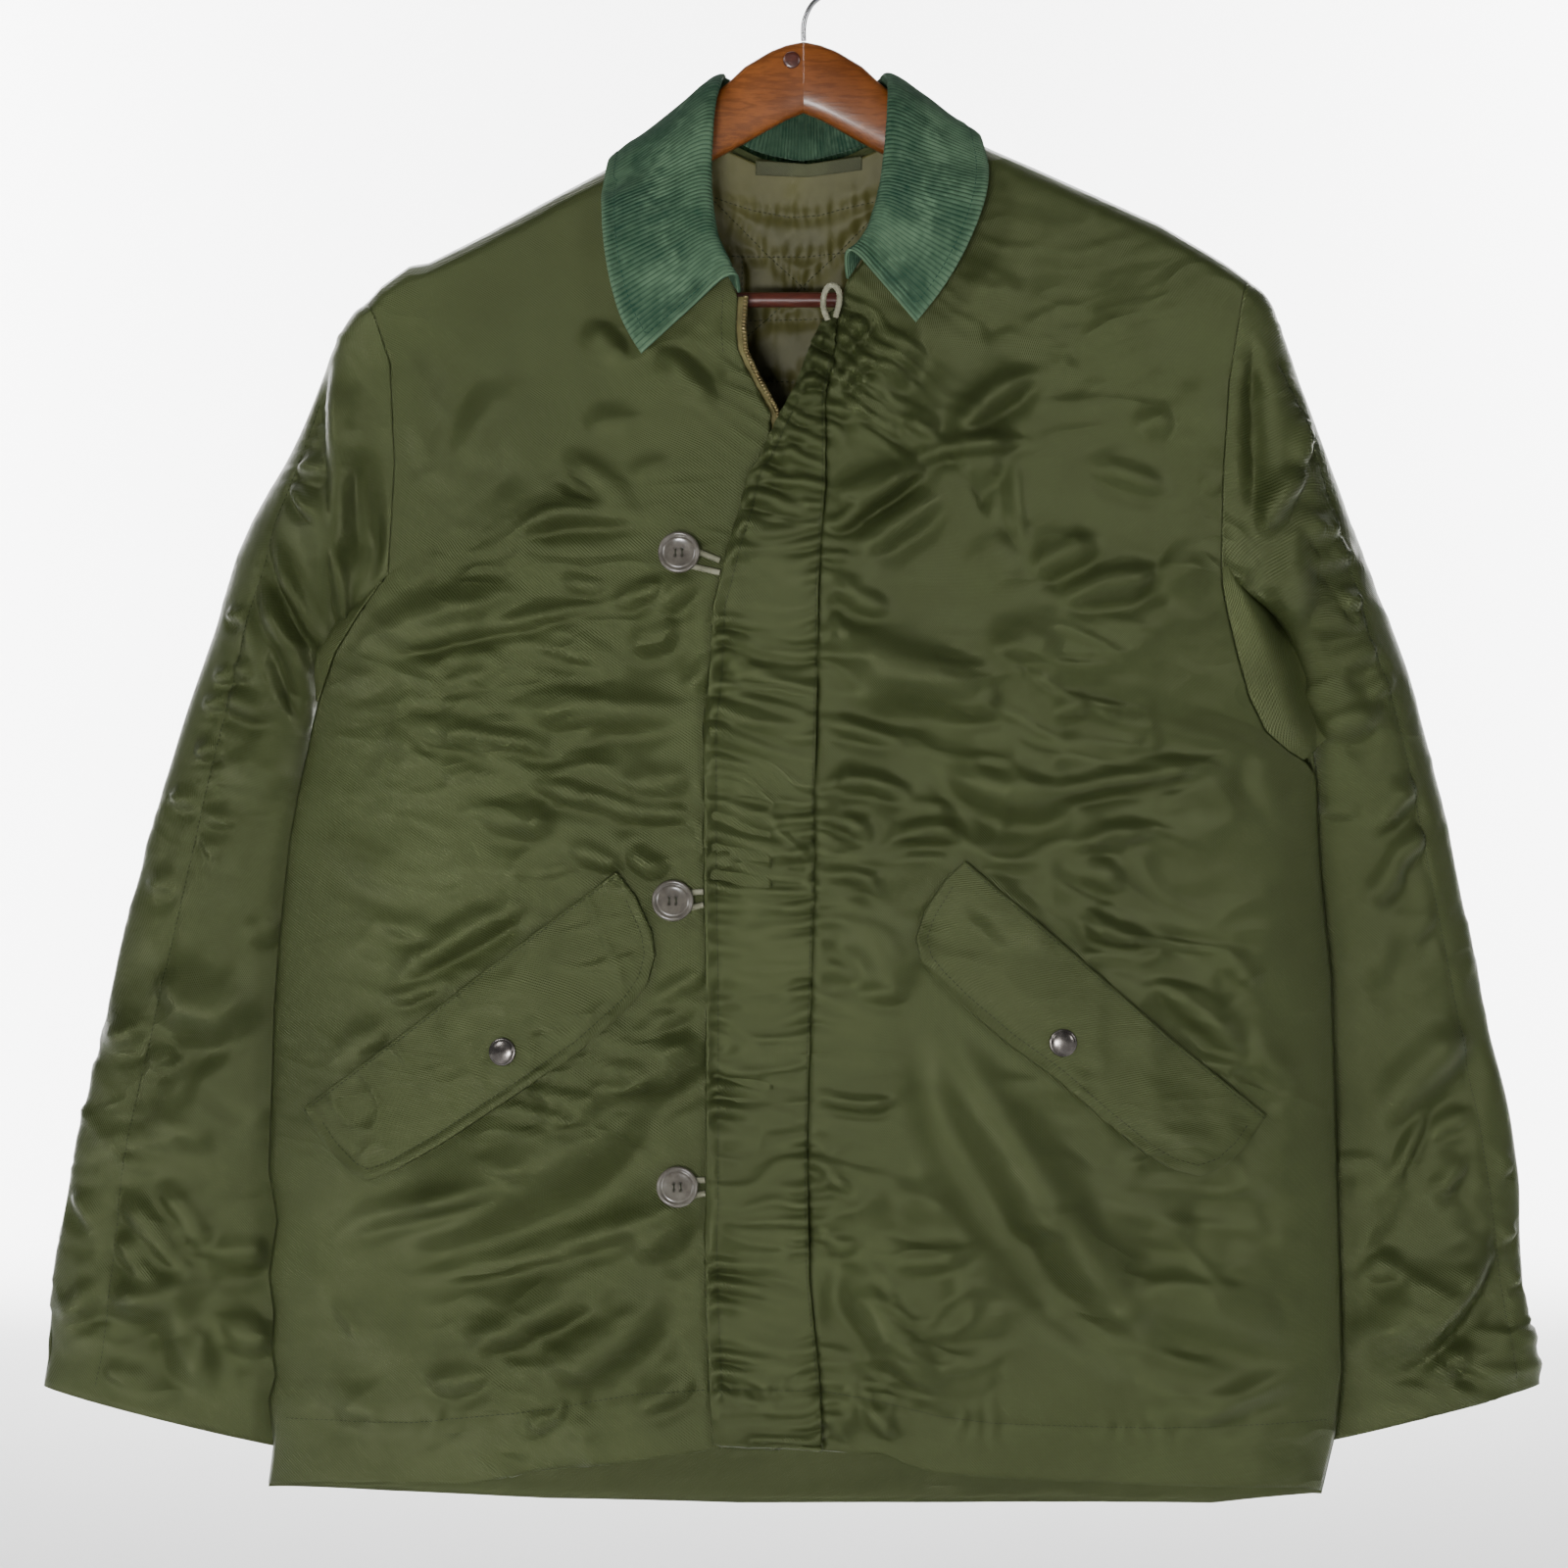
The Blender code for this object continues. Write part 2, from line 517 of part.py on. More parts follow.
def build_sleeve(name, table, front_edge, back_edge, low, sign):
    """Make one sleeve tube from its armhole and its sections."""
    start = armhole_ring(front_edge, back_edge, low, sign)
    count = len(start)
    rows = np.array(table, dtype=float)
    angle = 2 * np.pi * np.arange(count) / count
    rings = [start]
    for i, (ox, oz, ix, iz, cy, depth) in enumerate(rows):
        mid, half = np.array([(ox + ix) / 2, (oz + iz) / 2]), np.array([(ox - ix) / 2, (oz - iz) / 2])
        xz = mid + np.cos(angle)[:, None] * half
        y = cy - depth * np.sign(np.sin(angle)) * np.abs(np.sin(angle)) ** 1.1
        ring = np.stack([xz[:, 0], y, xz[:, 1]], axis=1)
        hold = math.exp(-((i + 1) / 1.6) ** 2)
        centre = (start.max(axis=0) + start.min(axis=0)) / 2
        shift = np.array([mid[0] - centre[0], 0.0, mid[1] - centre[2]])
        rings.append((1 - hold) * ring + hold * (start + shift))
    path = np.array(rings)
    fine = curve_points(path.reshape(len(rings), -1), 17).reshape(17, count, 3)
    grid = np.transpose(fine, (1, 0, 2))
    mark = np.zeros(grid.shape[:2], dtype=int)
    mark[:, 0] = 2
    return shell(name, grid, WALL, "nylon", wrap=True, square=mark)


def build_gusset(name, front_line, back_line, sign, follow):
    """Span the underarm; follow is 1 where it carries on the front's surface."""
    us, vs = np.linspace(0.0, 1.0, 5), np.linspace(0.05, 0.93, 8)
    a, b = along(front_line, vs), along(back_line, vs)
    a = a + follow * np.array([1.8 * sign, 1.6])
    flat = (1 - us)[:, None, None] * a[None] + us[:, None, None] * b[None]
    base = follow * flat + (1 - follow) * a[None]
    near = front_y(base[..., 0], base[..., 1]) + 1.4 - 0.9 * follow
    far = back_y(b[:, 0], b[:, 1]) - 1.4
    turn = (follow * smooth((us - 0.3) / 0.7) + (1 - follow) * us)[:, None]
    swell = 2.0 * np.sin(np.pi * us)[:, None] * np.sin(np.pi * vs)[None]
    flat[..., 0] += sign * (swell + 0.9 - 0.9 * follow)
    return shell(name, with_depth(flat, (1 - turn) * near + turn * far[None]), WALL, "nylon")


def build_collar():
    """Make the collar: stand, roll and fall in one folded sheet."""
    rows = []
    for i, (sx, sz, rx, ry, rz, ex, ey, ez) in enumerate(COLLAR):
        sy = float(body_y(sx, sz, 1)) - 2.2
        if 6 < i < 12:
            sy = float(body_y(sx, sz - 2.0, 2)) + 0.3
        if i in (6, 12):
            sy = float(ridge_y(sx))
        seam, roll, edge = np.array([(sx, sy, sz), (rx, ry, rz), (ex, ey, ez)], dtype=float)
        out = edge - roll
        out[2] = 0.0
        out /= np.linalg.norm(out)
        over = roll + 0.07 * (edge - roll) + out * 3.0 + np.array([0, 0, 1.2])
        rows.append([seam, 0.5 * (seam + roll) - out * 1.0, roll - out * 0.5, over,
                     roll + 0.36 * (edge - roll) + out * 3.0,
                     roll + 0.7 * (edge - roll) + out * 1.5, edge])
    rows = np.array(rows)
    around = curve_points(rows.reshape(len(rows), -1), 33).reshape(33, 7, 3)
    across = curve_points(np.transpose(around, (1, 0, 2)).reshape(7, -1), 12).reshape(12, 33, 3)
    grid = np.transpose(across, (1, 0, 2))
    necks = np.array(NECK_BACK, dtype=float)
    for i in range(grid.shape[0]):
        for k in range(grid.shape[1]):
            x, y, z = grid[i, k]
            aside = y - float(ridge_y(x))
            if k < 3 and 11 <= i <= 21 and aside > 3.0:
                grid[i, k, 2] = max(z, np.interp(x, necks[:, 0], necks[:, 1]) + 3.0)
            if k < 4 and abs(aside) < 9.8 and 30.0 < abs(x) and z < arm_top(x) + 2.4:
                if abs(aside) < 7.0:
                    grid[i, k, 2] = arm_top(x) + 2.6
                else:
                    grid[i, k, 1] += math.copysign(11.5, aside) - aside
            if k >= 4 and abs(aside) < 9.8 and abs(x) < 70.0:
                grid[i, k, 2] = z = max(z, float(arm_top(x)) + 6.0)
            if k < 5 or z - 4.2 > ridge_z(x):
                continue
            if abs(y - ridge_y(x)) < 7.0:
                grid[i, k, 2] = max(z, ridge_z(x) + 4.2)
            elif y < ridge_y(x):
                grid[i, k, 1] = min(y, float(front_y(x, z - 3.0)) - 3.4)
            else:
                grid[i, k, 1] = max(y, float(back_y(x, z - 3.0)) + 3.4)
    return shell("collar", grid, WALL, "cord_cloth")


def build_placket():
    """Make the storm flap over the front closing."""
    us, vs = np.array([0.0, 0.12, 0.26, 0.44, 0.7, 1.0]), np.linspace(0.0, 1.0, 37)
    seam = [(x - SEAM_GAP - 0.3, z) for x, z in FLAP_SEAM[:-2]] + [(19.6, -222)]
    low = [FLAP_FREE[0], (-20, -875.5), seam[0]]
    top = [FLAP_FREE[-1], seam[-1]]
    flat = coons(FLAP_FREE, seam, low, top, us, vs)
    y = front_y(flat[..., 0], flat[..., 1]) - lift(flat[..., 0], flat[..., 1]) - 0.3
    return shell("storm_flap", with_depth(flat, y), PLACKET_WALL, "nylon")


def build_pocket_flap(name, runs, surface):
    """Lay a pocket flap on its front."""
    seam, left, low, right = runs
    us, vs = np.linspace(0.0, 1.0, 13), np.linspace(0.0, 1.0, 6)
    flat = coons(left[::-1], right[::-1], low, seam, us, vs)
    y = laid_y(flat, surface, 7.0) - LAY_GAP - FLAP_WALL / 2
    return shell(name, with_depth(flat, y), FLAP_WALL, "nylon")


def build_snap(name, x, z, surface):
    """Set a snap cap on its flap."""
    place, normal = seen_point(surface, x, z)
    h = 0.5
    profile = [(SNAP_R - 0.6, h), (SNAP_R, h + 0.5), (SNAP_R - 0.2, h + SNAP_T * 0.6),
               (SNAP_R - 1.4, h + SNAP_T), (SNAP_R - 2.6, h + SNAP_T - 0.3), (2.0, h + SNAP_T - 0.5)]
    return lathe(name, profile, place, normal, "gunmetal", 20)


def build_button(name, x, z, surface):
    """Set a four-hole button with its shank over the front."""
    place, normal = seen_point(surface, x, z)
    top = SHANK_H + BUTTON_T
    profile = [(SHANK_R, 0.5), (SHANK_R, SHANK_H), (BUTTON_R - 2.5, SHANK_H),
               (BUTTON_R, SHANK_H + 1.6), (BUTTON_R - 0.4, top - 0.5), (BUTTON_R - 1.6, top),
               (BUTTON_R - 3.6, top - 0.9), (SHANK_R, top - 1.2)]
    made = lathe(name, profile, place, normal, "button", 18)
    n = Vector(normal).normalized()
    side = n.cross(Vector((0.0, 0.0, 1.0))).normalized()
    up = side.cross(n)
    verts, faces = [], []
    for sx, sz in ((1, 1), (1, -1), (-1, 1), (-1, -1)):
        centre = Vector(place) + (side * sx + up * sz) * 1.45
        start = len(verts)
        for h in (SHANK_H + 1.3, top + 2.0):
            for k in range(6):
                a = math.pi * k / 3
                verts.append(centre + n * h + (side * math.cos(a) + up * math.sin(a)) * 0.8)
        faces += [tuple(start + k for k in range(6)), tuple(start + 6 + k for k in range(6))]
        faces += [(start + k, start + (k + 1) % 6, start + 6 + (k + 1) % 6, start + 6 + k)
                  for k in range(6)]
    cutter = add_mesh(name + "_cut", verts, faces, "button")
    cutter.hide_render = True
    cutter.display_type = "WIRE"
    holes = made.modifiers.new("holes", "BOOLEAN")
    holes.operation = "DIFFERENCE"
    holes.solver = "EXACT"
    holes.object = cutter
    return made


def build_button_loop(name, row, surface):
    """Lead a cord loop from the storm flap's edge round the button's shank."""
    x, z, high, low = row
    end_x = min(float(by_z(FLAP_FREE, high + 2.0)), float(by_z(FLAP_FREE, low - 2.0))) - 1.0
    reach = SHANK_R + CORD_R + 0.5
    aim = math.atan2((high + low) / 2 - z, end_x - x)
    start, stop = np.array([end_x, high]), np.array([end_x, low])
    bend = [np.array([x + reach * math.cos(a), z + reach * math.sin(a)])
            for a in np.linspace(aim + 0.45 * math.pi, aim + 1.55 * math.pi, 9)]
    flat = [start + (bend[0] - start) * t for t in (0.0, 0.3, 0.65)] + bend
    flat += [stop + (bend[-1] - stop) * t for t in (0.65, 0.3, 0.0)]
    place, normal = seen_point(surface, x, z)
    far = seen_y(surface, end_x - 1.0, (high + low) / 2, 3.5)
    path = []
    for px, pz in flat:
        share = min(max((px - x - 3.0) / (end_x - x - 3.0), 0.0), 1.0)
        near = place[1] - ((px - x) * normal[0] + (pz - z) * normal[2]) / normal[1]
        path.append((px, near + (far - near) * share - CORD_R - 0.5, pz))
    return sweep(name, path, CORD_R, "braid", 8)


def build_neck_loop(surface):
    """Set the small cord loop at the top of the storm flap."""
    flat = [(13.6, -231.0), (11.2, -224.0), (11.4, -217.0), (13.8, -212.0), (17.2, -211.2),
            (19.9, -214.5), (20.2, -220.5), (18.0, -229.5)]
    track = curve_points(flat, 15)
    depth = min(seen_y(surface, 13.6, -230.0, 1.5), seen_y(surface, 18.0, -228.5, 1.5))
    path = [(x, depth - CORD_R - 0.3, z) for x, z in track]
    return sweep("neck_loop", path, CORD_R, "braid", 8)


def build_inside(behind):
    """Make the back lining in the neck, its strap and the zip tape."""
    us, vs = np.linspace(0.0, 1.0, 11), np.array([0.0, 0.2, 0.4, 0.58, 0.72, 0.82, 0.91, 1.0])
    neck = [(-60, -121), (-42, -128), (-25, -135.5), (0, -140), (25, -134.5), (42, -127), (60, -119)]
    flat = coons([(-84, -300), (-72, -200), (-60, -121)], [(84, -300), (72, -200), (60, -119)],
                 [(-84, -300), (84, -300)], neck, us, vs)
    y = laid_y(flat, behind, 7.0) - 2 * LAY_GAP - LINING_WALL / 2
    puff = np.zeros(flat.shape[:2])
    puff[:, 1::2] = 0.9
    lining = shell("back_lining", with_depth(flat, y)[::-1], LINING_WALL, "lining", offsets=puff)
    flat = coons([(-28, -141), (-28, -132.5)], [(34, -138), (34, -130.0)],
                 [(-28, -141), (3, -142), (34, -138)], [(-28, -132.5), (3, -134.5), (34, -130.0)],
                 np.linspace(0.0, 1.0, 7), np.linspace(0.0, 1.0, 3))
    y = laid_y(flat, tree(lining), 4.0) - LAY_GAP - 0.5
    shell("neck_strap", with_depth(flat, y), 1.0, "tape")
    inner = [(x - 4.0, z) for x, z in FRONT_EDGE[1:]]
    outer = [(x + 6.0, z) for x, z in FRONT_EDGE[1:]]
    flat = coons(inner, outer, [inner[0], outer[0]], [inner[-1], outer[-1]],
                 np.linspace(0.0, 1.0, 3), np.linspace(0.0, 1.0, 20))
    y = front_y(flat[..., 0], flat[..., 1]) + tuck(flat[..., 0], flat[..., 1]) + 2.4
    shell("zip_tape", with_depth(flat, y), 1.0, "tape")


def build_arm(name, sign):
    """Make one contoured hanger arm with a socket for the bar."""
    count = 14
    verts = []
    for x, top, low, depth in ARM:
        if 60.0 <= x <= 205.0:
            top, low = float(arm_top(sign * x)), low + float(arm_top(sign * x)) - top
        mid, half = (top + low) / 2, (top - low) / 2
        for k in range(count):
            a = 2 * math.pi * k / count
            c, s = math.cos(a), math.sin(a)
            y = depth * math.copysign(abs(c) ** 0.7, c) + float(ridge_y(x))
            verts.append((sign * x, y, mid + half * math.copysign(abs(s) ** 0.8, s)))
    faces = [tuple(range(count)), tuple(range((len(ARM) - 1) * count, len(ARM) * count))]
    for i in range(len(ARM) - 1):
        for k in range(count):
            m = (k + 1) % count
            faces.append((i * count + k, i * count + m, (i + 1) * count + m, (i + 1) * count + k))
    made = add_mesh(name, verts, faces, "wood")
    cutter = lathe(name + "_cut", [(BAR_R + 0.5, 150.0), (BAR_R + 0.5, 198.0)],
                   (0.0, BAR_Y, BAR_Z), (sign, 0.0, 0.0), "wood", 14)
    cutter.hide_render = True
    cutter.display_type = "WIRE"
    socket = made.modifiers.new("socket", "BOOLEAN")
    socket.operation = "DIFFERENCE"
    socket.solver = "EXACT"
    socket.object = cutter
    return made


def build_hanger():
    """Make the hanger: two arms, plug, bar and wire hook."""
    build_arm("hanger_arm_right", -1)
    build_arm("hanger_arm_left", 1)
    lathe("hanger_bar", [(BAR_R, -196.5), (BAR_R, 196.5)], (0.0, BAR_Y, BAR_Z), (1, 0, 0),
          "red_wood", 14)
    lathe("hanger_plug", [(4.8, 0.4), (4.8, 0.9), (4.2, 1.2)], (-7.0, -6.6, -76.0), (0, -1, 0),
          "red_wood", 16)
    points = [(0, 0, HANGER_TOP + 0.5), (0, 0, -56), (1.2, 0, -50), (5.0, 0, -42.6)]
    for a in range(-53, 206, 23):
        r = math.radians(a)
        points.append((LOOP_R * math.cos(r), 0, LOOP_Z + LOOP_R * math.sin(r)))
    sweep("hook", curve_points(points, 28), HOOK_R, "steel", 8)


def main():
    """Build every piece."""
    clear_scene()
    right_front, left_front, back, edges = build_body()
    build_sleeve("sleeve_right", SLEEVE_RIGHT, edges[0], edges[2], -377.0, -1)
    build_sleeve("sleeve_left", SLEEVE_LEFT, edges[1], edges[3], -372.0, 1)
    build_gusset("gusset_right", UNDERARM_LEFT[1:], UNDERARM_LEFT[1:], -1, 0)
    build_gusset("gusset_left", UNDERARM_FRONT[1:-1], UNDERARM_BACK[1:-1], 1, 1)
    build_collar()
    placket = build_placket()
    under, beside, cover = tree(right_front), tree(left_front), tree(placket)
    flap_right = build_pocket_flap("pocket_flap_right", POCKET_RIGHT, under)
    flap_left = build_pocket_flap("pocket_flap_left", POCKET_LEFT, beside)
    build_snap("snap_right", *SNAPS[0], tree(flap_right))
    build_snap("snap_left", *SNAPS[1], tree(flap_left))
    for label, row in zip(BUTTON_NAMES, BUTTONS):
        build_button("button_" + label, row[0], row[1], under)
        build_button_loop("button_loop_" + label, row, under)
    build_neck_loop(cover)
    build_inside(tree(back))
    build_hanger()


main()
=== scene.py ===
"""Deck jacket on a wooden hanger, dressed over its CAD frame.

Shapes are worked out in millimetres and written to meshes in metres. The front faces -Y.
"""

import logging
import math
from dataclasses import dataclass, field
from enum import Enum
from typing import Callable, Optional, Sequence

import bmesh
import bpy
import numpy as np
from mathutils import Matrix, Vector
from mathutils.bvhtree import BVHTree


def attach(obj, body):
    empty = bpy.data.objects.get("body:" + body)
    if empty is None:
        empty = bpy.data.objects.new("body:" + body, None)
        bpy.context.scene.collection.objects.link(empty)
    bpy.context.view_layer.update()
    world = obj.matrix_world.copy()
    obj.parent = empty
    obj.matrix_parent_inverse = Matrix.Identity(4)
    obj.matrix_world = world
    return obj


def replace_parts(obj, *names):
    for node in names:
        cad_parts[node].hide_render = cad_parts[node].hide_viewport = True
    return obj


LOG = logging.getLogger("deck_jacket")
MM = 0.001
Points = Sequence[tuple[float, ...]]

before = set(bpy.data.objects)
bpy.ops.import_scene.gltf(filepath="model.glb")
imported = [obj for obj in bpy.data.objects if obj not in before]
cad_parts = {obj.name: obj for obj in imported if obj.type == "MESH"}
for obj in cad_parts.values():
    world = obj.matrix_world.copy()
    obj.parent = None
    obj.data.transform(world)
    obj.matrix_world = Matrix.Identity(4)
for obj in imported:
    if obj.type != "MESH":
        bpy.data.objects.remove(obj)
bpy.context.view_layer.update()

# Outline tables: x, z in millimetres
RIDGE_LEFT = [(-251, -219), (-243, -210), (-227, -198), (-216, -196), (-182, -178), (-148, -159),
              (-114, -140), (-74, -109), (-66, -103.3)]
RIDGE_RIGHT = [(66, -102.3), (80, -111), (106, -127.5), (148, -146.5), (205, -173.5), (230, -189),
               (244, -198), (255, -206)]
NECK_ARCH = [(-44, -86.5), (0, -60), (44, -86.5)]
ARM_LEFT = [(-239, -376), (-235, -312), (-237, -255), (-246, -228), (-251, -219)]
ARM_RIGHT = [(240, -370), (241, -316), (244, -265), (251, -218), (255, -206)]
SIDE_LEFT = [(-310, -902), (-307, -878), (-310, -854), (-306, -839), (-308, -825), (-307, -802),
             (-310, -781), (-305, -749), (-310, -720), (-308, -664), (-307, -628), (-304, -587),
             (-298, -530), (-293, -502), (-287, -475)]
SIDE_RIGHT = [(300, -906), (308, -872), (312, -838), (311, -781), (309, -712), (306, -610),
              (300, -553), (298, -519), (298, -504), (297, -492)]
FRONT_EDGE = [(-14, -878), (-17, -780), (-18, -600), (-19, -420), (-19, -300), (-19, -284),
              (-25, -273), (-33, -258), (-38, -247), (-39, -234), (-38, -216)]
FLAP_SEAM = [(11, -877), (10, -841), (7, -810), (4, -780), (3, -735), (3, -692), (7, -552),
             (7, -500), (8, -455), (9, -416), (9, -384), (11, -350), (13, -324), (13, -299),
             (13, -273), (17, -255), (19, -233), (24, -208)]
FLAP_FREE = [(-52, -874), (-54, -845), (-56, -794), (-57, -750), (-56, -741), (-56, -669),
             (-56, -610), (-57, -552), (-57, -462), (-54, -435), (-52, -394), (-49, -383),
             (-44, -363), (-36, -337), (-32, -318), (-26, -310), (-14, -284), (-5, -268),
             (5, -241), (12, -228)]
HEM_RIGHT = [(-310, -902), (-283, -900), (-191, -898), (-146, -889), (-102, -885), (-52, -877),
             (-14, -878)]
HEM_LEFT = [(300, -906), (287, -903), (266, -902), (215, -900), (124, -895), (76, -891),
            (59, -886), (46, -880), (27, -879), (11, -877)]
HEM_BACK = [(-310, -904), (-242, -910), (-150, -916), (-37, -919), (81, -919), (240, -917),
            (300, -908)]
NECK_RIGHT = [(-66, -103.3), (-63, -126), (-59, -145), (-55, -168), (-50, -188), (-38, -216)]
NECK_LEFT = [(66, -102.3), (61, -120), (55, -140), (50, -160), (43, -178), (34, -195), (24, -208)]
NECK_BACK = [(-66, -103.3), (-60, -108.5), (-52, -114.5), (-40, -123), (-24, -130.5), (0, -134),
             (24, -129.5), (40, -122), (52, -113.5), (60, -107.5), (66, -102.3)]
UNDERARM_LEFT = [(-287, -475), (-281, -450), (-270, -420), (-255, -397), (-244, -382),
                 (-239, -376)]
UNDERARM_FRONT = [(297, -492), (291, -484), (279, -477), (266, -466), (256, -446), (249, -421),
                  (243, -396), (240, -380), (240, -370)]
UNDERARM_BACK = [(297, -492), (295, -472), (289, -449), (280, -412), (264, -390), (246, -374),
                 (240, -370)]

# Body depth in front of and behind the side edge: z, front, back
DEPTH = [(-930, 42, 42), (-800, 44, 43), (-640, 48, 44), (-475, 52, 44), (-376, 52, 42),
         (-300, 45, 38), (-222, 38, 33), (-130, 36, 30), (-80, 36, 30)]
# Where the body's depth closes above the side seams: z, left, right
CLOSE = [(-492, -291, 297), (-475, -287, 296.5), (-430, -285, 294), (-376, -288, 290),
         (-300, -292, 292), (-200, -294, 294)]

# Sleeve sections: outer_x, outer_z, inner_x, inner_z, centre_y, half_depth
SLEEVE_RIGHT = [
    (-263, -236, -251, -384, -6, 30), (-280, -270, -269, -404, 0, 31),
    (-302, -309, -279, -436, 13, 29), (-327, -356, -285, -470, 17, 27),
    (-345, -408, -287, -503, 20, 25), (-362, -459, -284, -540, 23, 23),
    (-376, -506, -281, -575, 26, 22), (-401, -594, -284, -640, 28, 21),
    (-417, -674, -286, -715, 28, 21), (-429, -734, -287, -775, 28, 21),
    (-439, -789, -287, -830, 27, 21), (-446, -849, -286, -888, 26, 22)]
SLEEVE_LEFT = [
    (266, -225, 263, -381, -6, 30), (284, -262, 283.5, -405, 0, 31),
    (309, -318, 289.5, -436, 14, 29), (333, -379, 293, -470, 18, 27),
    (356, -438, 291, -510, 20, 25), (373, -507, 288, -550, 24, 23),
    (390, -582, 284, -610, 27, 22), (402, -645, 285, -675, 28, 21),
    (413, -697, 286, -725, 28, 21), (421, -758, 287, -785, 28, 21),
    (424, -812, 287, -840, 27, 21), (430, -848, 286, -885, 26, 22)]

# Collar stations: seam_x, seam_z, roll_x, roll_y, roll_z, edge_x, edge_y, edge_z
COLLAR = [
    (-37, -214, -40, -46, -205, -93, -50, -250), (-44, -202, -47, -44, -192, -104, -50, -231),
    (-49, -187, -53, -41, -178, -111, -50, -208), (-54, -167, -55, -39, -160, -115, -46, -184),
    (-57, -144, -55, -34, -138, -116, -38, -163), (-60, -120, -53, -27, -111, -115, -22, -149),
    (-62, -98.5, -48, -5, -85.5, -108, -2, -131), (-58, -109, -40, 17, -88, -86, 29, -128),
    (-27, -128, -22, 25, -88, -46, 41, -140), (0, -133, 0, 27, -88, 0, 44, -146),
    (27, -127, 22, 25, -88, 46, 41, -138), (58, -108, 41, 17, -88, 82, 29, -122),
    (62, -98, 49, -5, -85.5, 98, -2, -118), (59, -119, 49, -27, -109, 105, -22, -134),
    (53, -138, 47, -34, -136, 106, -38, -149), (48, -158, 45, -39, -152, 102, -46, -167),
    (41, -176, 42, -41, -167, 92, -50, -191), (33, -193, 35, -44, -180, 79, -50, -213),
    (25, -206, 25, -46, -191, 64, -50, -232)]

# Pocket flap outlines: seam, outer end, free edge, inner end
POCKET_RIGHT = [
    [(-289, -683), (-230, -639), (-170, -593), (-107, -546)],
    [(-289, -683), (-274, -706), (-261, -719)],
    [(-261, -719), (-250, -724), (-235, -718), (-207, -702), (-168, -676), (-127, -648),
     (-98, -622)],
    [(-107, -546), (-96, -560), (-87, -580), (-85, -594), (-89, -609), (-98, -622)]]
POCKET_LEFT = [
    [(266, -687), (208, -640), (150, -589), (92, -540)],
    [(266, -687), (252, -706), (241, -716)],
    [(241, -716), (227, -721), (211, -717), (196, -708), (170, -687), (145, -665), (116, -644),
     (89, -621), (76, -608)],
    [(92, -540), (80, -551), (69, -569), (64, -584), (67, -597), (76, -608)]]

# Hanger arm: x, top_z, low_z, half_depth
HANGER_ARM = [(0.15, -64.5, -106, 6.5), (10, -66.5, -110, 6.6), (19, -70, -115, 6.8),
              (34, -79, -123.5, 7.2), (44, -88.5, -129, 7.5), (60, -101.5, -138, 8.0),
              (80, -116, -150, 8.6), (114, -143.5, -173, 9.5), (148, -162, -193, 10.4),
              (182, -181, -213, 11.3), (205, -193.5, -225, 11.9), (215, -199.5, -225, 10.5),
              (218, -204, -220, 6.0)]

# Buttons and their loops: x, z, loop_end_z_high, loop_end_z_low
BUTTONS = [(-71, -365, -368.6, -375.6), (-75, -564, -557.5, -565.0), (-73, -728, -722.5, -730.0)]
SNAPS = [(-172, -649), (148, -644)]
SIDE_NAMES = ["right", "left"]
BUTTON_NAMES = ["top", "mid", "low"]


# Row of hem stitches and seams of the sleeves: x, z
HEM_STITCH = [(-301, -863), (-225, -863), (-146, -854), (-91, -845), (-56, -843), (9, -843),
              (37, -848), (78, -858), (109, -862), (200, -866), (245, -866), (305, -864)]
SLEEVE_SEAM_RIGHT = [(-281, -278), (-288, -298), (-298, -323), (-307, -345), (-313, -370),
                     (-322, -396), (-329, -427), (-336, -453), (-343, -480), (-348, -500),
                     (-393, -696), (-398, -726), (-402, -764), (-406, -802), (-409, -826),
                     (-413, -846)]
SLEEVE_SEAM_LEFT = [(274, -256), (290, -286), (301, -319), (311, -351), (321, -382), (329, -412),
                    (340, -439), (348, -467), (357, -506), (395, -696), (401, -734), (405, -765),
                    (410, -802), (414, -828), (416, -842)]
# Quilting rows of the lining: x, z
LINING_ROWS = [
    [(-62, -150), (-46, -156), (-30, -161), (-8, -165), (9, -164), (24, -160), (38, -157),
     (60, -152)],
    [(-70, -186), (-36, -188), (0, -188), (30, -185), (70, -182)],
    [(-76, -222), (-30, -225), (20, -224), (76, -219)], [(-80, -258), (0, -261), (80, -257)],
    [(-36, -188), (-36, -222), (-34, -260)], [(-58, -150), (-20, -188), (20, -224), (60, -258)],
    [(56, -150), (18, -188), (-22, -225), (-62, -258)], [(30, -186), (32, -222), (34, -258)]]

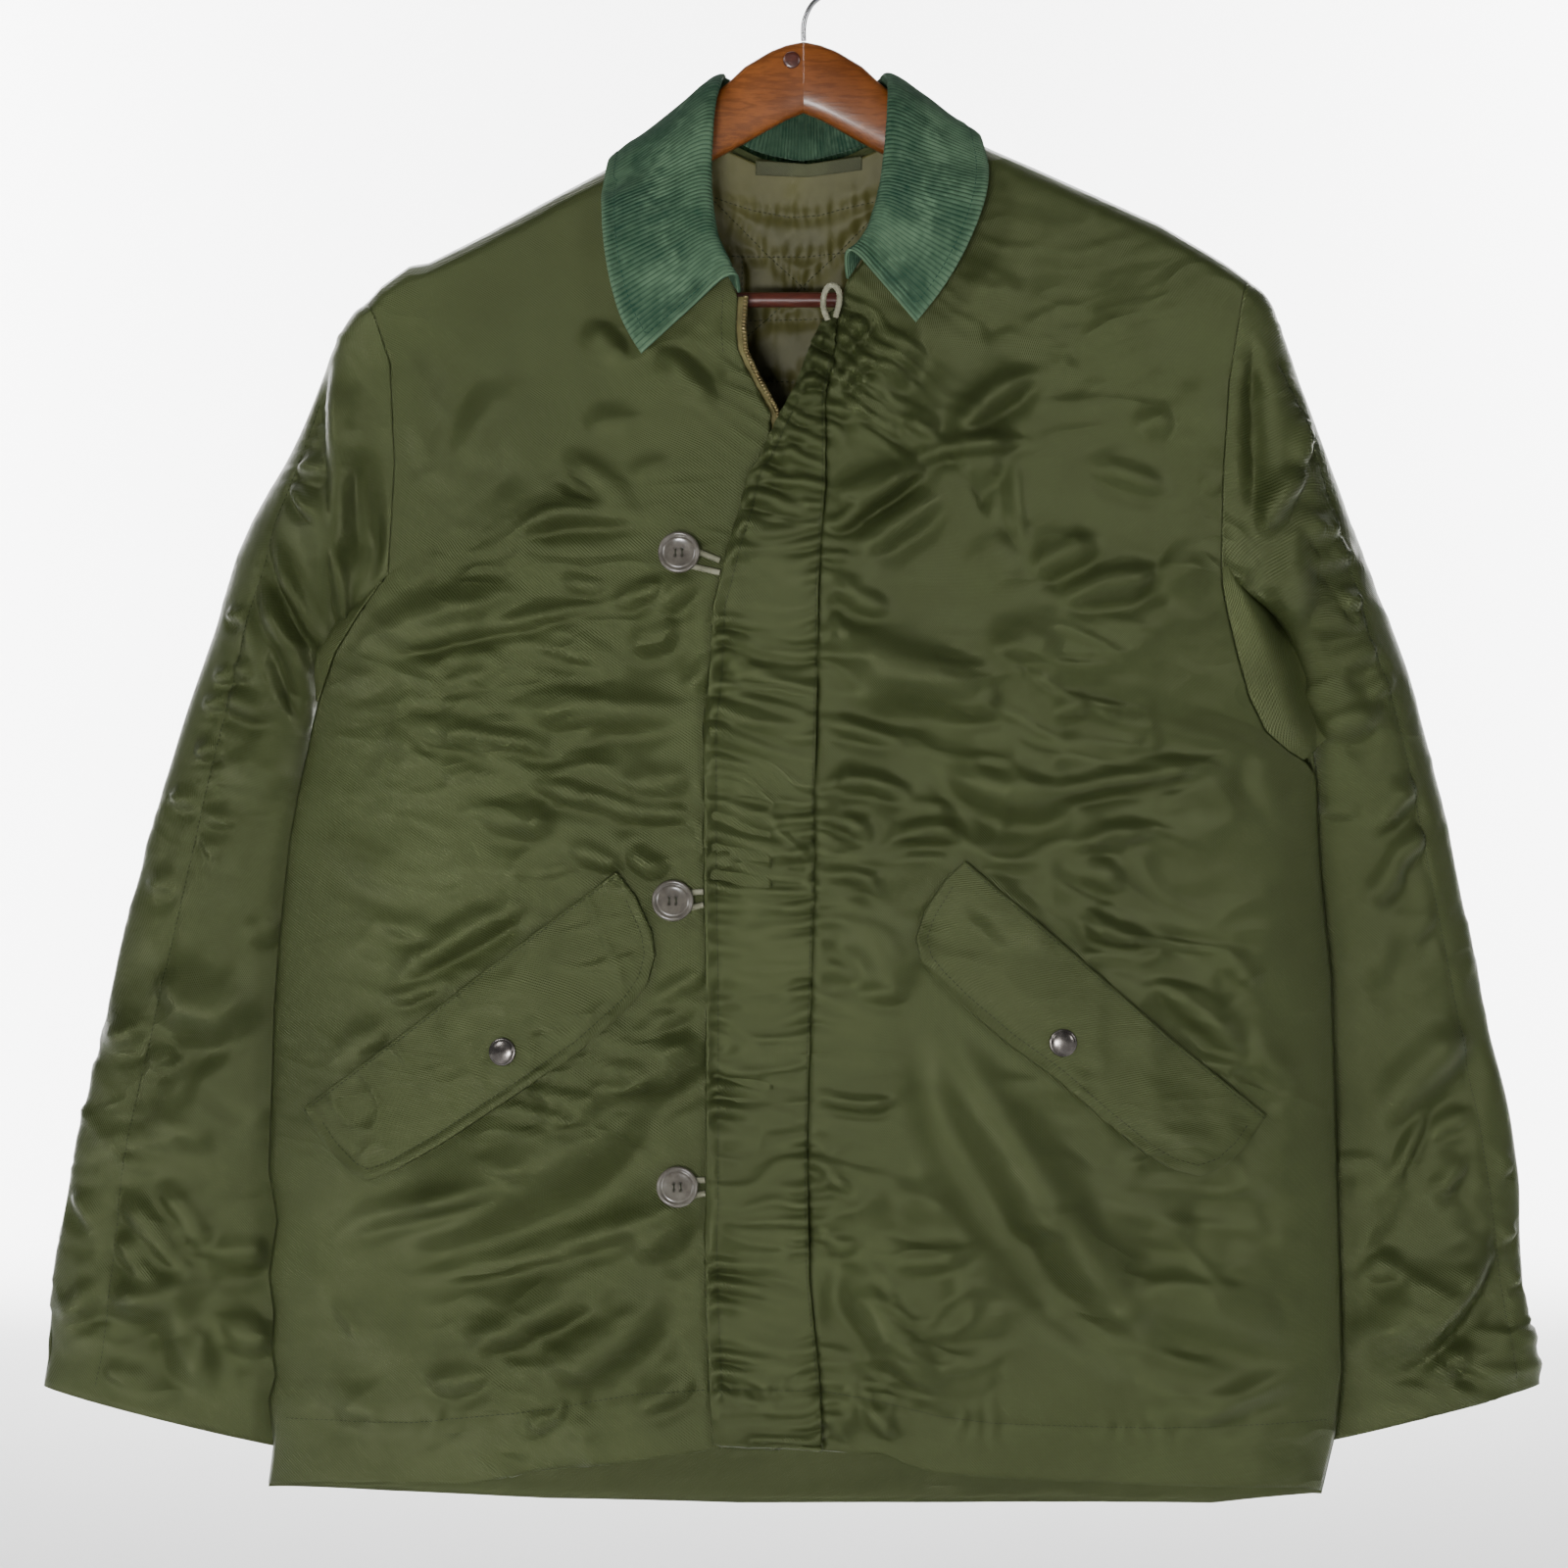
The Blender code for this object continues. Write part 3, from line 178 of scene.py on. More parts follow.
# Creases: x0, z0, x1, z1, x2, z2, width, height, lean
CREASES_RIGHT = [
    (-166, -356, -137, -340, -78, -347, 7, 3.0, 1),
    (-264, -416, -212, -398, -155, -387, 11, 4.5, 1),
    (-261, -424, -184, -406, -98, -390, 5, 2.6, 1), (-112, -391, -94, -388, -78, -375, 5, 2.0, 1),
    (-141, -378, -126, -382, -108, -383, 5, 1.5, 1),
    (-272, -435, -255, -433, -236, -422, 8, 2.2, 1),
    (-176, -453, -121, -452, -57, -457, 11, 3.6, 1),
    (-232, -458, -198, -467, -148, -474, 7, 2.6, 1),
    (-203, -463, -166, -472, -130, -483, 4, 1.5, 1),
    (-243, -469, -232, -471, -221, -474, 5, 1.4, 1),
    (-164, -493, -130, -502, -100, -510, 6, 2.6, 1),
    (-194, -477, -173, -481, -153, -490, 5, 1.3, 1), (-107, -490, -83, -494, -58, -488, 8, 1.8, 1),
    (-125, -230, -114, -243, -100, -257, 8, 1.8, -1), (-85, -243, -67, -264, -48, -282, 8, 2.6, -1),
    (-128, -291, -110, -289, -91, -290, 8, 1.6, 0), (-142, -304, -117, -322, -94, -341, 8, 2.0, 1),
    (-89, -401, -78, -388, -57, -381, 8, 2.2, 1), (-103, -411, -87, -413, -71, -404, 9, 2.0, 1),
    (-71, -442, -58, -433, -49, -417, 7, 1.6, 1), (-227, -316, -205, -304, -176, -281, 20, 2.2, 1),
    (-100, -324, -89, -316, -76, -314, 6, 1.0, 0),
    (-232, -243, -225, -277, -230, -315, 16, 2.0, -1),
    (-191, -264, -173, -291, -166, -325, 22, 1.5, 1),
    (-209, -440, -191, -436, -173, -437, 6, 0.9, 1),
    (-142, -413, -123, -422, -101, -431, 9, 1.2, 1),
    (-297, -515, -260, -538, -226, -565, 10, 1.8, 1),
    (-238, -610, -204, -586, -148, -560, 8, 3.2, 1),
    (-251, -578, -229, -578, -204, -583, 6, 1.6, 1),
    (-243, -620, -224, -615, -202, -607, 5, 1.5, 1),
    (-272, -649, -253, -642, -234, -635, 8, 2.4, 1),
    (-195, -510, -163, -516, -139, -522, 9, 2.6, 1),
    (-143, -530, -119, -537, -102, -546, 6, 2.0, 1), (-124, -510, -90, -512, -58, -512, 6, 2.2, 1),
    (-102, -529, -90, -541, -75, -546, 6, 2.0, 1), (-163, -670, -134, -675, -104, -672, 6, 2.0, 1),
    (-158, -681, -136, -685, -102, -675, 6, 2.0, 1), (-117, -673, -85, -656, -55, -639, 17, 3.6, 1),
    (-251, -761, -168, -722, -80, -678, 22, 5.5, 1), (-238, -781, -153, -764, -57, -731, 8, 2.4, 1),
    (-272, -756, -236, -741, -178, -730, 7, 2.0, 1),
    (-229, -740, -204, -733, -170, -725, 6, 1.6, 1), (-102, -773, -85, -751, -56, -736, 14, 3.0, 1),
    (-195, -824, -163, -804, -114, -792, 10, 3.2, 1),
    (-156, -838, -114, -817, -75, -780, 14, 3.4, 1),
    (-219, -842, -199, -837, -175, -832, 8, 2.2, 1),
    (-303, -758, -288, -776, -270, -803, 8, 2.6, 1),
    (-274, -792, -264, -803, -255, -819, 4, 1.5, 1),
    (-304, -834, -272, -845, -236, -870, 12, 3.2, 1),
    (-305, -656, -294, -651, -280, -646, 6, 2.0, 1),
    (-305, -685, -294, -689, -282, -700, 6, 1.8, 1),
    (-163, -873, -146, -858, -129, -848, 5, 1.5, 1), (-100, -853, -80, -846, -61, -834, 7, 1.6, 1),
    (-90, -622, -70, -611, -55, -604, 6, 1.6, 1), (-100, -639, -78, -629, -56, -614, 6, 1.2, 1),
    (-190, -709, -173, -716, -151, -717, 5, 1.2, 1),
    (-173, -797, -143, -787, -114, -770, 12, 1.3, 1),
    (-282, -795, -246, -812, -226, -831, 16, 1.4, 1)]
CREASES_LEFT = [
    (62, -231, 52, -252, 37, -272, 12, 2.4, -1), (86, -297, 107, -274, 138, -259, 8, 3.2, 1),
    (55, -313, 86, -303, 138, -300, 5, 2.2, 1), (15, -334, 41, -324, 79, -308, 8, 3.2, 1),
    (11, -352, 36, -336, 70, -311, 5, 3.0, 1), (28, -367, 54, -347, 84, -328, 8, 2.2, 1),
    (82, -310, 100, -304, 122, -308, 18, 3.2, 1), (123, -308, 121, -336, 130, -367, 5, 1.2, 1),
    (127, -374, 148, -365, 172, -358, 9, 2.8, 1), (141, -390, 175, -381, 211, -377, 9, 3.2, 1),
    (188, -291, 202, -288, 215, -289, 8, 1.8, 0), (159, -311, 186, -319, 213, -329, 7, 1.6, 1),
    (227, -315, 234, -323, 242, -326, 5, 1.2, 0), (9, -413, 54, -426, 114, -439, 13, 4.2, 1),
    (107, -424, 127, -413, 148, -428, 11, 2.8, 1), (14, -377, 32, -390, 54, -399, 7, 2.2, 1),
    (11, -399, 20, -406, 25, -413, 5, 1.5, 1), (10, -365, 18, -365, 27, -365, 4, 1.2, 1),
    (0, -267, 11, -259, 23, -251, 5, 2.2, 1), (13, -274, 27, -259, 43, -251, 5, 2.2, 1),
    (57, -281, 68, -292, 80, -296, 8, 2.2, 1), (14, -245, 27, -237, 38, -225, 5, 2.0, 1),
    (11, -285, 27, -281, 38, -292, 5, 1.8, 1), (91, -218, 107, -213, 129, -222, 16, 1.4, 1),
    (161, -213, 190, -234, 211, -270, 24, 1.8, 1), (220, -259, 231, -285, 236, -320, 14, 1.8, -1),
    (100, -349, 111, -370, 118, -396, 14, 1.3, -1), (208, -360, 218, -370, 231, -390, 14, 1.8, 1),
    (13, -442, 66, -443, 126, -455, 12, 4.2, 1), (140, -457, 152, -453, 166, -453, 6, 1.8, 1),
    (74, -475, 114, -500, 166, -499, 12, 4.4, 1), (134, -504, 183, -493, 240, -486, 6, 3.2, 1),
    (152, -535, 175, -525, 203, -526, 6, 2.2, 1), (157, -566, 177, -581, 206, -583, 7, 2.8, 1),
    (146, -542, 169, -550, 183, -558, 6, 1.6, 1), (7, -460, 31, -465, 60, -472, 5, 2.0, 1),
    (7, -497, 37, -494, 66, -509, 6, 2.4, 1), (7, -516, 26, -518, 39, -536, 5, 2.2, 1),
    (46, -529, 71, -522, 97, -528, 6, 2.2, 1), (6, -550, 31, -549, 44, -563, 5, 2.2, 1),
    (6, -601, 20, -603, 34, -615, 5, 1.4, 1), (26, -612, 46, -616, 60, -615, 5, 1.6, 1),
    (4, -671, 31, -679, 57, -675, 4, 2.2, 1), (4, -708, 17, -721, 27, -732, 4, 1.6, 1),
    (4, -742, 17, -758, 37, -758, 5, 1.6, 1), (66, -615, 137, -730, 223, -841, 20, 6.0, 1),
    (183, -778, 240, -795, 312, -824, 16, 4.2, 1), (220, -866, 258, -847, 311, -828, 8, 3.0, 1),
    (24, -767, 46, -804, 86, -856, 13, 4.2, 1), (198, -606, 229, -629, 258, -651, 8, 2.8, 1),
    (255, -636, 275, -659, 299, -678, 9, 3.2, 1), (235, -595, 252, -602, 263, -615, 8, 2.4, 1),
    (249, -735, 269, -728, 301, -750, 9, 3.2, 1), (263, -758, 283, -760, 303, -758, 6, 2.2, 1),
    (269, -555, 286, -545, 299, -538, 5, 1.8, 1), (281, -598, 292, -592, 301, -589, 5, 1.4, 1),
    (286, -709, 298, -705, 306, -704, 4, 1.6, 1), (266, -689, 286, -681, 305, -678, 6, 2.2, 1),
    (259, -475, 272, -500, 292, -520, 10, 2.8, 1), (49, -724, 69, -738, 94, -744, 10, 1.4, 1),
    (46, -768, 74, -767, 103, -758, 7, 1.3, 1), (36, -848, 43, -861, 57, -871, 5, 2.0, 1),
    (8, -853, 17, -861, 26, -873, 5, 1.6, 1), (114, -755, 132, -747, 149, -758, 10, 2.0, 1),
    (160, -715, 200, -744, 229, -752, 16, 1.5, 1), (218, -721, 258, -715, 298, -701, 14, 1.5, 1),
    (92, -549, 117, -566, 134, -589, 9, 2.0, 1), (17, -563, 43, -589, 57, -624, 14, 2.6, 1),
    (275, -784, 289, -798, 303, -801, 8, 2.0, 1)]
SLEEVE_CREASES_RIGHT = [
    (-268, -297, -257, -336, -252, -390, 13, -5.0, 0),
    (-267, -245, -266, -301, -268, -361, 9, 3.2, 1),
    (-272, -355, -267, -384, -266, -413, 4, 2.0, 1),
    (-308, -350, -291, -392, -273, -421, 6, 3.4, 1),
    (-317, -379, -299, -413, -286, -469, 7, 3.6, 1),
    (-296, -319, -289, -333, -279, -344, 4, 2.0, 1),
    (-307, -406, -297, -435, -287, -462, 8, -2.5, 0),
    (-293, -307, -285, -313, -276, -315, 6, 1.6, 1),
    (-336, -444, -324, -450, -304, -456, 7, 2.6, 1),
    (-332, -427, -326, -430, -317, -432, 5, 1.5, 1),
    (-337, -396, -330, -398, -323, -399, 4, 1.5, 1),
    (-345, -435, -337, -433, -331, -432, 4, 1.5, 1),
    (-351, -452, -343, -449, -334, -447, 4, 1.5, 1),
    (-355, -479, -347, -476, -339, -471, 5, 1.8, 1),
    (-372, -502, -361, -505, -350, -504, 5, 1.5, 1),
    (-352, -514, -340, -516, -328, -520, 5, 1.6, 1),
    (-350, -524, -345, -534, -339, -543, 4, 1.5, 1),
    (-318, -386, -311, -415, -309, -456, 14, 2.2, -1),
    (-334, -477, -318, -489, -293, -498, 16, 1.4, 1),
    (-385, -629, -350, -626, -319, -642, 18, 4.4, 1),
    (-386, -661, -374, -657, -361, -656, 5, 2.0, 1),
    (-385, -558, -374, -554, -362, -552, 6, 1.6, 1),
    (-410, -649, -396, -642, -384, -638, 9, 2.2, 1),
    (-330, -581, -315, -581, -302, -579, 8, 1.6, 1),
    (-380, -612, -370, -614, -359, -618, 7, 1.4, 1),
    (-398, -734, -378, -755, -352, -786, 9, 3.6, 1),
    (-378, -725, -359, -749, -339, -786, 8, 3.0, 1),
    (-400, -753, -389, -771, -376, -788, 8, 2.6, 1),
    (-408, -793, -378, -796, -341, -788, 13, 3.8, 1),
    (-370, -799, -359, -823, -346, -854, 13, 3.2, 1),
    (-348, -766, -328, -770, -309, -771, 10, 3.0, 1),
    (-339, -801, -326, -817, -309, -827, 10, 3.0, 1),
    (-427, -734, -418, -745, -410, -760, 6, 2.0, 1),
    (-435, -814, -422, -799, -408, -790, 7, 1.9, 1),
    (-408, -836, -398, -841, -387, -849, 6, 1.8, 1),
    (-385, -690, -363, -694, -337, -692, 18, 1.6, 1)]
SLEEVE_CREASES_LEFT = [
    (258, -236, 259, -290, 259, -353, 7, -3.6, 0), (290, -280, 287, -299, 283, -315, 6, 2.2, -1),
    (262, -357, 273, -332, 289, -311, 8, 3.6, 1), (286, -350, 299, -348, 313, -350, 8, 2.2, 1),
    (288, -369, 306, -364, 323, -361, 8, 2.0, 1), (309, -390, 316, -390, 325, -392, 5, 2.6, 1),
    (290, -407, 308, -402, 330, -402, 8, 2.2, 1), (303, -426, 322, -420, 336, -421, 8, 1.9, 1),
    (301, -473, 316, -460, 341, -456, 10, 3.2, 1), (327, -448, 337, -439, 344, -442, 5, 2.0, 1),
    (326, -529, 343, -507, 358, -495, 9, 2.8, 1), (337, -551, 351, -533, 364, -527, 8, 3.0, 1),
    (298, -512, 312, -510, 326, -515, 6, 1.6, 1), (268, -361, 281, -382, 289, -411, 16, 2.0, 1),
    (293, -435, 302, -446, 326, -450, 14, 1.5, 1), (328, -570, 339, -553, 349, -542, 9, 2.8, 1),
    (351, -588, 361, -578, 369, -572, 5, 1.6, 1), (330, -699, 363, -661, 389, -636, 15, 4.0, 1),
    (342, -731, 354, -705, 366, -683, 4, 2.6, 1), (358, -703, 374, -694, 394, -688, 6, 2.2, 1),
    (366, -742, 376, -725, 389, -716, 7, 2.2, 1), (313, -830, 363, -799, 406, -755, 18, 5.0, 1),
    (354, -832, 378, -800, 405, -765, 8, 3.2, 1), (357, -841, 374, -834, 391, -823, 8, 2.2, 1),
    (404, -722, 410, -720, 414, -719, 4, 1.5, 1), (406, -761, 413, -759, 419, -758, 4, 1.5, 1),
    (410, -787, 416, -786, 423, -784, 4, 1.5, 1), (313, -607, 330, -598, 352, -596, 16, 1.6, 1),
    (317, -738, 334, -731, 356, -729, 16, 1.5, 1), (326, -779, 337, -777, 352, -775, 7, 1.8, 1)]
CREASES_BACK = [
    (-240, -410, -170, -380, -90, -372, 13, 3.4, 1), (240, -405, 180, -378, 100, -366, 13, 3.2, 1),
    (-225, -470, -150, -492, -70, -498, 13, 2.8, 1), (220, -480, 160, -505, 80, -512, 14, 3.0, 1),
    (-250, -560, -170, -520, -80, -520, 12, 3.2, 1), (150, -560, 210, -590, 280, -580, 11, 2.6, 1),
    (-200, -640, -140, -600, -70, -560, 15, 3.0, 1), (60, -590, 130, -630, 200, -650, 15, 3.0, 1),
    (-60, -420, 0, -440, 70, -425, 12, 2.2, 1), (-40, -540, 30, -560, 100, -540, 12, 2.4, 1),
    (-180, -810, -110, -770, -40, -745, 15, 3.4, 1), (100, -760, 170, -800, 250, -820, 16, 3.4, 1),
    (-280, -700, -200, -720, -120, -700, 10, 2.4, 1), (-30, -690, 50, -700, 120, -680, 13, 2.0, 1),
    (180, -700, 230, -720, 290, -700, 9, 2.4, 1), (-290, -830, -220, -850, -130, -835, 10, 2.6, 1),
    (10, -830, 90, -850, 170, -840, 11, 2.4, 1), (-260, -480, -268, -540, -270, -600, 9, 2.0, 0),
    (265, -500, 270, -560, 278, -630, 9, 2.0, 0), (-120, -250, -60, -262, -10, -240, 16, 1.4, 1),
    (30, -240, 90, -262, 150, -270, 16, 1.4, 1), (-150, -330, -90, -322, -40, -330, 12, 1.6, 1),
    (60, -335, 120, -322, 190, -330, 12, 1.6, 1), (-90, -620, -30, -640, 20, -630, 9, 1.8, 1),
    (-100, -880, -40, -868, 30, -872, 8, 1.8, 1), (120, -885, 190, -872, 260, -880, 8, 1.8, 1)]


# Geometry helpers


def along(table: Points, parts: np.ndarray) -> np.ndarray:
    """Sample a polyline at fractions of its length.

    Args:
        table: Points of the polyline.
        parts: Fractions from 0 to 1.

    Returns:
        One point for each fraction.
    """
    points = np.array(table, dtype=float)
    step = np.linalg.norm(np.diff(points, axis=0), axis=1)
    total = np.concatenate([[0.0], np.cumsum(step)])
    want = np.asarray(parts) * total[-1]
    return np.stack([np.interp(want, total, points[:, k]) for k in range(points.shape[1])], axis=1)


def length_of(table: Points) -> float:
    """Return the length of a polyline."""
    return float(np.linalg.norm(np.diff(np.array(table, dtype=float), axis=0), axis=1).sum())


def coons(left: Points, right: Points, low: Points, top: Points, us: np.ndarray,
          vs: np.ndarray) -> np.ndarray:
    """Fill four boundary polylines with a grid.

    Args:
        left: Boundary at u = 0, running up.
        right: Boundary at u = 1, running up.
        low: Boundary at v = 0, running across.
        top: Boundary at v = 1, running across.
        us: Fractions across.
        vs: Fractions up.

    Returns:
        Grid of points, indexed across and then up.
    """
    a, b = along(left, vs), along(right, vs)
    c, d = along(low, us), along(top, us)
    u, v = np.meshgrid(us, vs, indexing="ij")
    u, v = u[..., None], v[..., None]
    corner = (1 - u) * (1 - v) * a[0] + u * (1 - v) * b[0] + (1 - u) * v * a[-1] + u * v * b[-1]
    across = (1 - u) * a[None] + u * b[None]
    upward = (1 - v) * c[:, None] + v * d[:, None]
    return across + upward - corner


def column(table: Points, z: np.ndarray, index: int) -> np.ndarray:
    """Interpolate one column of a table that starts with z."""
    rows = np.array(table, dtype=float)
    rows = rows[np.argsort(rows[:, 0])]
    return np.interp(z, rows[:, 0], rows[:, index])


def by_z(table: Points, z: np.ndarray) -> np.ndarray:
    """Return x of an outline at height z."""
    rows = np.array(table, dtype=float)
    rows = rows[np.argsort(rows[:, 1])]
    return np.interp(z, rows[:, 1], rows[:, 0])


def smooth(t: np.ndarray) -> np.ndarray:
    """Ease from 0 to 1."""
    t = np.clip(t, 0.0, 1.0)
    return t * t * (3 - 2 * t)


def curve_points(points: Points, count: int) -> np.ndarray:
    """Run a smooth curve through a list of points.

    Args:
        points: Points that the curve passes through.
        count: Number of samples.

    Returns:
        Samples along the curve.
    """
    p = np.array(points, dtype=float)
    ext = np.vstack([2 * p[0] - p[1], p, 2 * p[-1] - p[-2]])
    s = np.linspace(0, len(p) - 1, count)
    i = np.minimum(s.astype(int), len(p) - 2)
    t = (s - i)[:, None]
    a, b, c, d = ext[i], ext[i + 1], ext[i + 2], ext[i + 3]
    return 0.5 * (2 * b + (c - a) * t + (2 * a - 5 * b + 4 * c - d) * t * t
                  + (3 * b - 3 * c + d - a) * t ** 3)


def lattice_noise(x: np.ndarray, z: np.ndarray, size: float, seed: int) -> np.ndarray:
    """Return smooth noise from -1 to 1 on a fixed lattice.

    Args:
        x: Places across.
        z: Places up.
        size: Lattice spacing in the units of x and z.
        seed: Number that fixes the lattice.

    Returns:
        Noise at each place.
    """
    values = np.random.default_rng(seed).uniform(-1.0, 1.0, (64, 64))
    gx, gz = x / size, z / size
    ix, iz = np.floor(gx).astype(int), np.floor(gz).astype(int)
    fx, fz = smooth(gx - ix), smooth(gz - iz)
    a, b = values[ix % 64, iz % 64], values[(ix + 1) % 64, iz % 64]
    c, d = values[ix % 64, (iz + 1) % 64], values[(ix + 1) % 64, (iz + 1) % 64]
    return (a * (1 - fx) + b * fx) * (1 - fz) + (c * (1 - fx) + d * fx) * fz


def grid_normals(grid: np.ndarray, wrap: bool = False) -> np.ndarray:
    """Return unit normals of a grid of points.

    Args:
        grid: Points, indexed across and then up.
        wrap: Whether the first index closes on itself.

    Returns:
        One normal for each point.
    """
    if wrap:
        du = np.roll(grid, -1, axis=0) - np.roll(grid, 1, axis=0)
    else:
        du = np.gradient(grid, axis=0)
    dv = np.gradient(grid, axis=1)
    normal = np.cross(du, dv)
    return normal / np.maximum(np.linalg.norm(normal, axis=2, keepdims=True), 1e-9)


def with_depth(flat: np.ndarray, depth: np.ndarray) -> np.ndarray:
    """Join an x and z grid with its depth."""
    return np.stack([flat[..., 0], depth, flat[..., 1]], axis=-1)


def crease_heights(x: np.ndarray, z: np.ndarray, rows: Points) -> np.ndarray:
    """Add up soft creases that run along bent lines.

    Args:
        x: Places across.
        z: Places up.
        rows: x0, z0, x1, z1, x2, z2, width, height, lean of each crease.

    Returns:
        Height over the plain cloth at each place.
    """
    total = np.zeros(x.shape)
    for x0, z0, x1, z1, x2, z2, width, height, lean in rows:
        t = np.linspace(0.0, 1.0, 11)[:, None]
        mid = 2 * np.array([x1, z1]) - 0.5 * (np.array([x0, z0]) + np.array([x2, z2]))
        line = ((1 - t) ** 2 * np.array([x0, z0]) + 2 * t * (1 - t) * mid
                + t * t * np.array([x2, z2]))
        low, high = line.min(axis=0) - 4 * width, line.max(axis=0) + 4 * width
        near = (x > low[0]) & (x < high[0]) & (z > low[1]) & (z < high[1])
        if not near.any():
            continue
        px, pz = x[near], z[near]
        best, share, side = np.full(px.shape, 1e9), np.zeros(px.shape), np.zeros(px.shape)
        for i in range(10):
            ex, ez = line[i + 1] - line[i]
            run = ex * ex + ez * ez
            s = np.clip(((px - line[i, 0]) * ex + (pz - line[i, 1]) * ez) / run, 0.0, 1.0)
            dx, dz = px - line[i, 0] - s * ex, pz - line[i, 1] - s * ez
            d2 = dx * dx + dz * dz
            closer = d2 < best
            best = np.where(closer, d2, best)
            share = np.where(closer, (i + s) / 10, share)
            side = np.where(closer, (dx * ez - dz * ex) / math.sqrt(run), side)
        far = np.sqrt(best)
        fade = smooth(share / 0.35) * smooth((1 - share) / 0.35)
        swell = width * (0.55 + 0.45 * fade)
        ridge = np.exp(-(far / swell) ** 2)
        if lean:
            ridge = ridge - 0.6 * np.exp(-((side * lean - 1.5 * swell) / (0.8 * swell)) ** 2) * (
                far < 5 * swell)
        total[near] += height * fade * ridge
    return total


# Mesh helpers


def add_mesh(name: str, verts: np.ndarray, faces: list, metres: float = MM,
             smooth_faces: bool = True) -> bpy.types.Object:
    """Make an object at the origin from points and faces.

    Args:
        name: Object name.
        verts: Points.
        faces: Corner indices of each face, outward side first.
        metres: Length of one unit of the points.
        smooth_faces: Whether the faces shade smoothly.

    Returns:
        The new object, linked to the scene.
    """
    mesh = bpy.data.meshes.new(name)
    mesh.from_pydata((np.asarray(verts, dtype=float) * metres).tolist(), [], faces)
    mesh.polygons.foreach_set("use_smooth", [smooth_faces] * len(mesh.polygons))
    mesh.update()
    thing = bpy.data.objects.new(name, mesh)
    bpy.context.scene.collection.objects.link(thing)
    return thing


def face_outwards(thing: bpy.types.Object) -> None:
    """Turn the faces of a closed mesh outwards."""
    work = bmesh.new()
    work.from_mesh(thing.data)
    bmesh.ops.recalc_face_normals(work, faces=work.faces)
    work.to_mesh(thing.data)
    work.free()


def grid_uv(thing: bpy.types.Object, across: np.ndarray, up: np.ndarray) -> None:
    """Lay a grid's lengths out as a UV map in metres.

    Args:
        thing: Shell made of an outer grid and an inner grid.
        across: Length across at each grid point, in millimetres.
        up: Length up at each grid point, in millimetres.
    """
    layer = thing.data.uv_layers.new(name="cloth")
    both = np.stack([across.ravel(), up.ravel()], axis=1) * MM
    both = np.concatenate([both, both])
    loops = np.zeros(len(thing.data.loops), dtype=int)
    thing.data.loops.foreach_get("vertex_index", loops)
    layer.data.foreach_set("uv", both[loops].ravel())


def shell(name: str, grid: np.ndarray, wall: float, wrap: bool = False,
          square: Optional[np.ndarray] = None, rise: Optional[np.ndarray] = None,
          uv: Optional[tuple[np.ndarray, np.ndarray]] = None) -> bpy.types.Object:
    """Give a grid of middle points a wall with closed rims.

    Args:
        name: Object name.
        grid: Middle points, indexed across and then up.
        wall: Thickness in millimetres.
        wrap: Whether the grid closes round a tube.
        square: Marks of rims whose normals lose y (1) or x (2).
        rise: Extra height of the outer points.
        uv: Lengths across and up for the UV map.

    Returns:
        The closed shell. Faces of its inner side use the second material slot.
    """
    normal = grid_normals(grid, wrap)
    if square is not None:
        normal[square == 1, 1] = 0.0
        normal[square == 2, 0] = 0.0
        normal /= np.linalg.norm(normal, axis=2, keepdims=True)
    over = 0.0 if rise is None else rise[..., None]
    outer, inner = grid + normal * (wall / 2 + over), grid - normal * wall / 2
    nu, nv = grid.shape[:2]
    base = nu * nv
    verts = np.concatenate([outer.reshape(-1, 3), inner.reshape(-1, 3)])
    spans = nu if wrap else nu - 1
    i, k = np.meshgrid(np.arange(spans), np.arange(nv - 1), indexing="ij")
    j = (i + 1) % nu
    a, b, c, d = i * nv + k, j * nv + k, j * nv + k + 1, i * nv + k + 1
    front = np.stack([a, b, c, d], axis=-1).reshape(-1, 4)
    behind = np.stack([d, c, b, a], axis=-1).reshape(-1, 4) + base
    line = np.arange(spans)
    turn = (line + 1) % nu
    low, high = line * nv, turn * nv
    rims = [np.stack([high, low, low + base, high + base], axis=1),
            np.stack([low, high, high + base, low + base], axis=1) + nv - 1]
    if not wrap:
        line = np.arange(nv - 1)
        last = (nu - 1) * nv + line
        rims += [np.stack([line, line + 1, line + 1 + base, line + base], axis=1),
                 np.stack([last + 1, last, last + base, last + 1 + base], axis=1)]
    faces = np.concatenate([front, *rims, behind])
    thing = add_mesh(name, verts, faces.tolist())
    slots = np.zeros(len(faces), dtype=int)
    slots[len(faces) - len(behind):] = 1
    thing.data.polygons.foreach_set("material_index", slots)
    if uv is None:
        lengths = np.linalg.norm(np.diff(grid, axis=0), axis=2).mean(axis=1)
        heights = np.linalg.norm(np.diff(grid, axis=1), axis=2).mean(axis=0)
        uv = np.meshgrid(np.concatenate([[0.0], np.cumsum(lengths)]),
                         np.concatenate([[0.0], np.cumsum(heights)]), indexing="ij")
    grid_uv(thing, *uv)
    return thing


def lathe(name: str, profile: Points, place: np.ndarray, normal: Sequence[float],
          sides: int = 40) -> bpy.types.Object:
    """Turn a closed profile about a normal.

    Args:
        name: Object name.
        profile: Radius and height of each ring.
        place: Foot of the axis.
        normal: Direction of the axis.
        sides: Facets round the axis.

    Returns:
        The turned solid.
    """
    n = Vector(normal).normalized()
    side = n.cross(Vector((0.0, 0.0, 1.0))).normalized()
    up = side.cross(n)
    verts = []
    for r, h in profile:
        for k in range(sides):
            a = 2 * math.pi * k / sides
            verts.append(Vector(place) + n * h + (side * math.cos(a) + up * math.sin(a)) * r)
    return tube_mesh(name, np.array([tuple(v) for v in verts]), len(profile), sides)


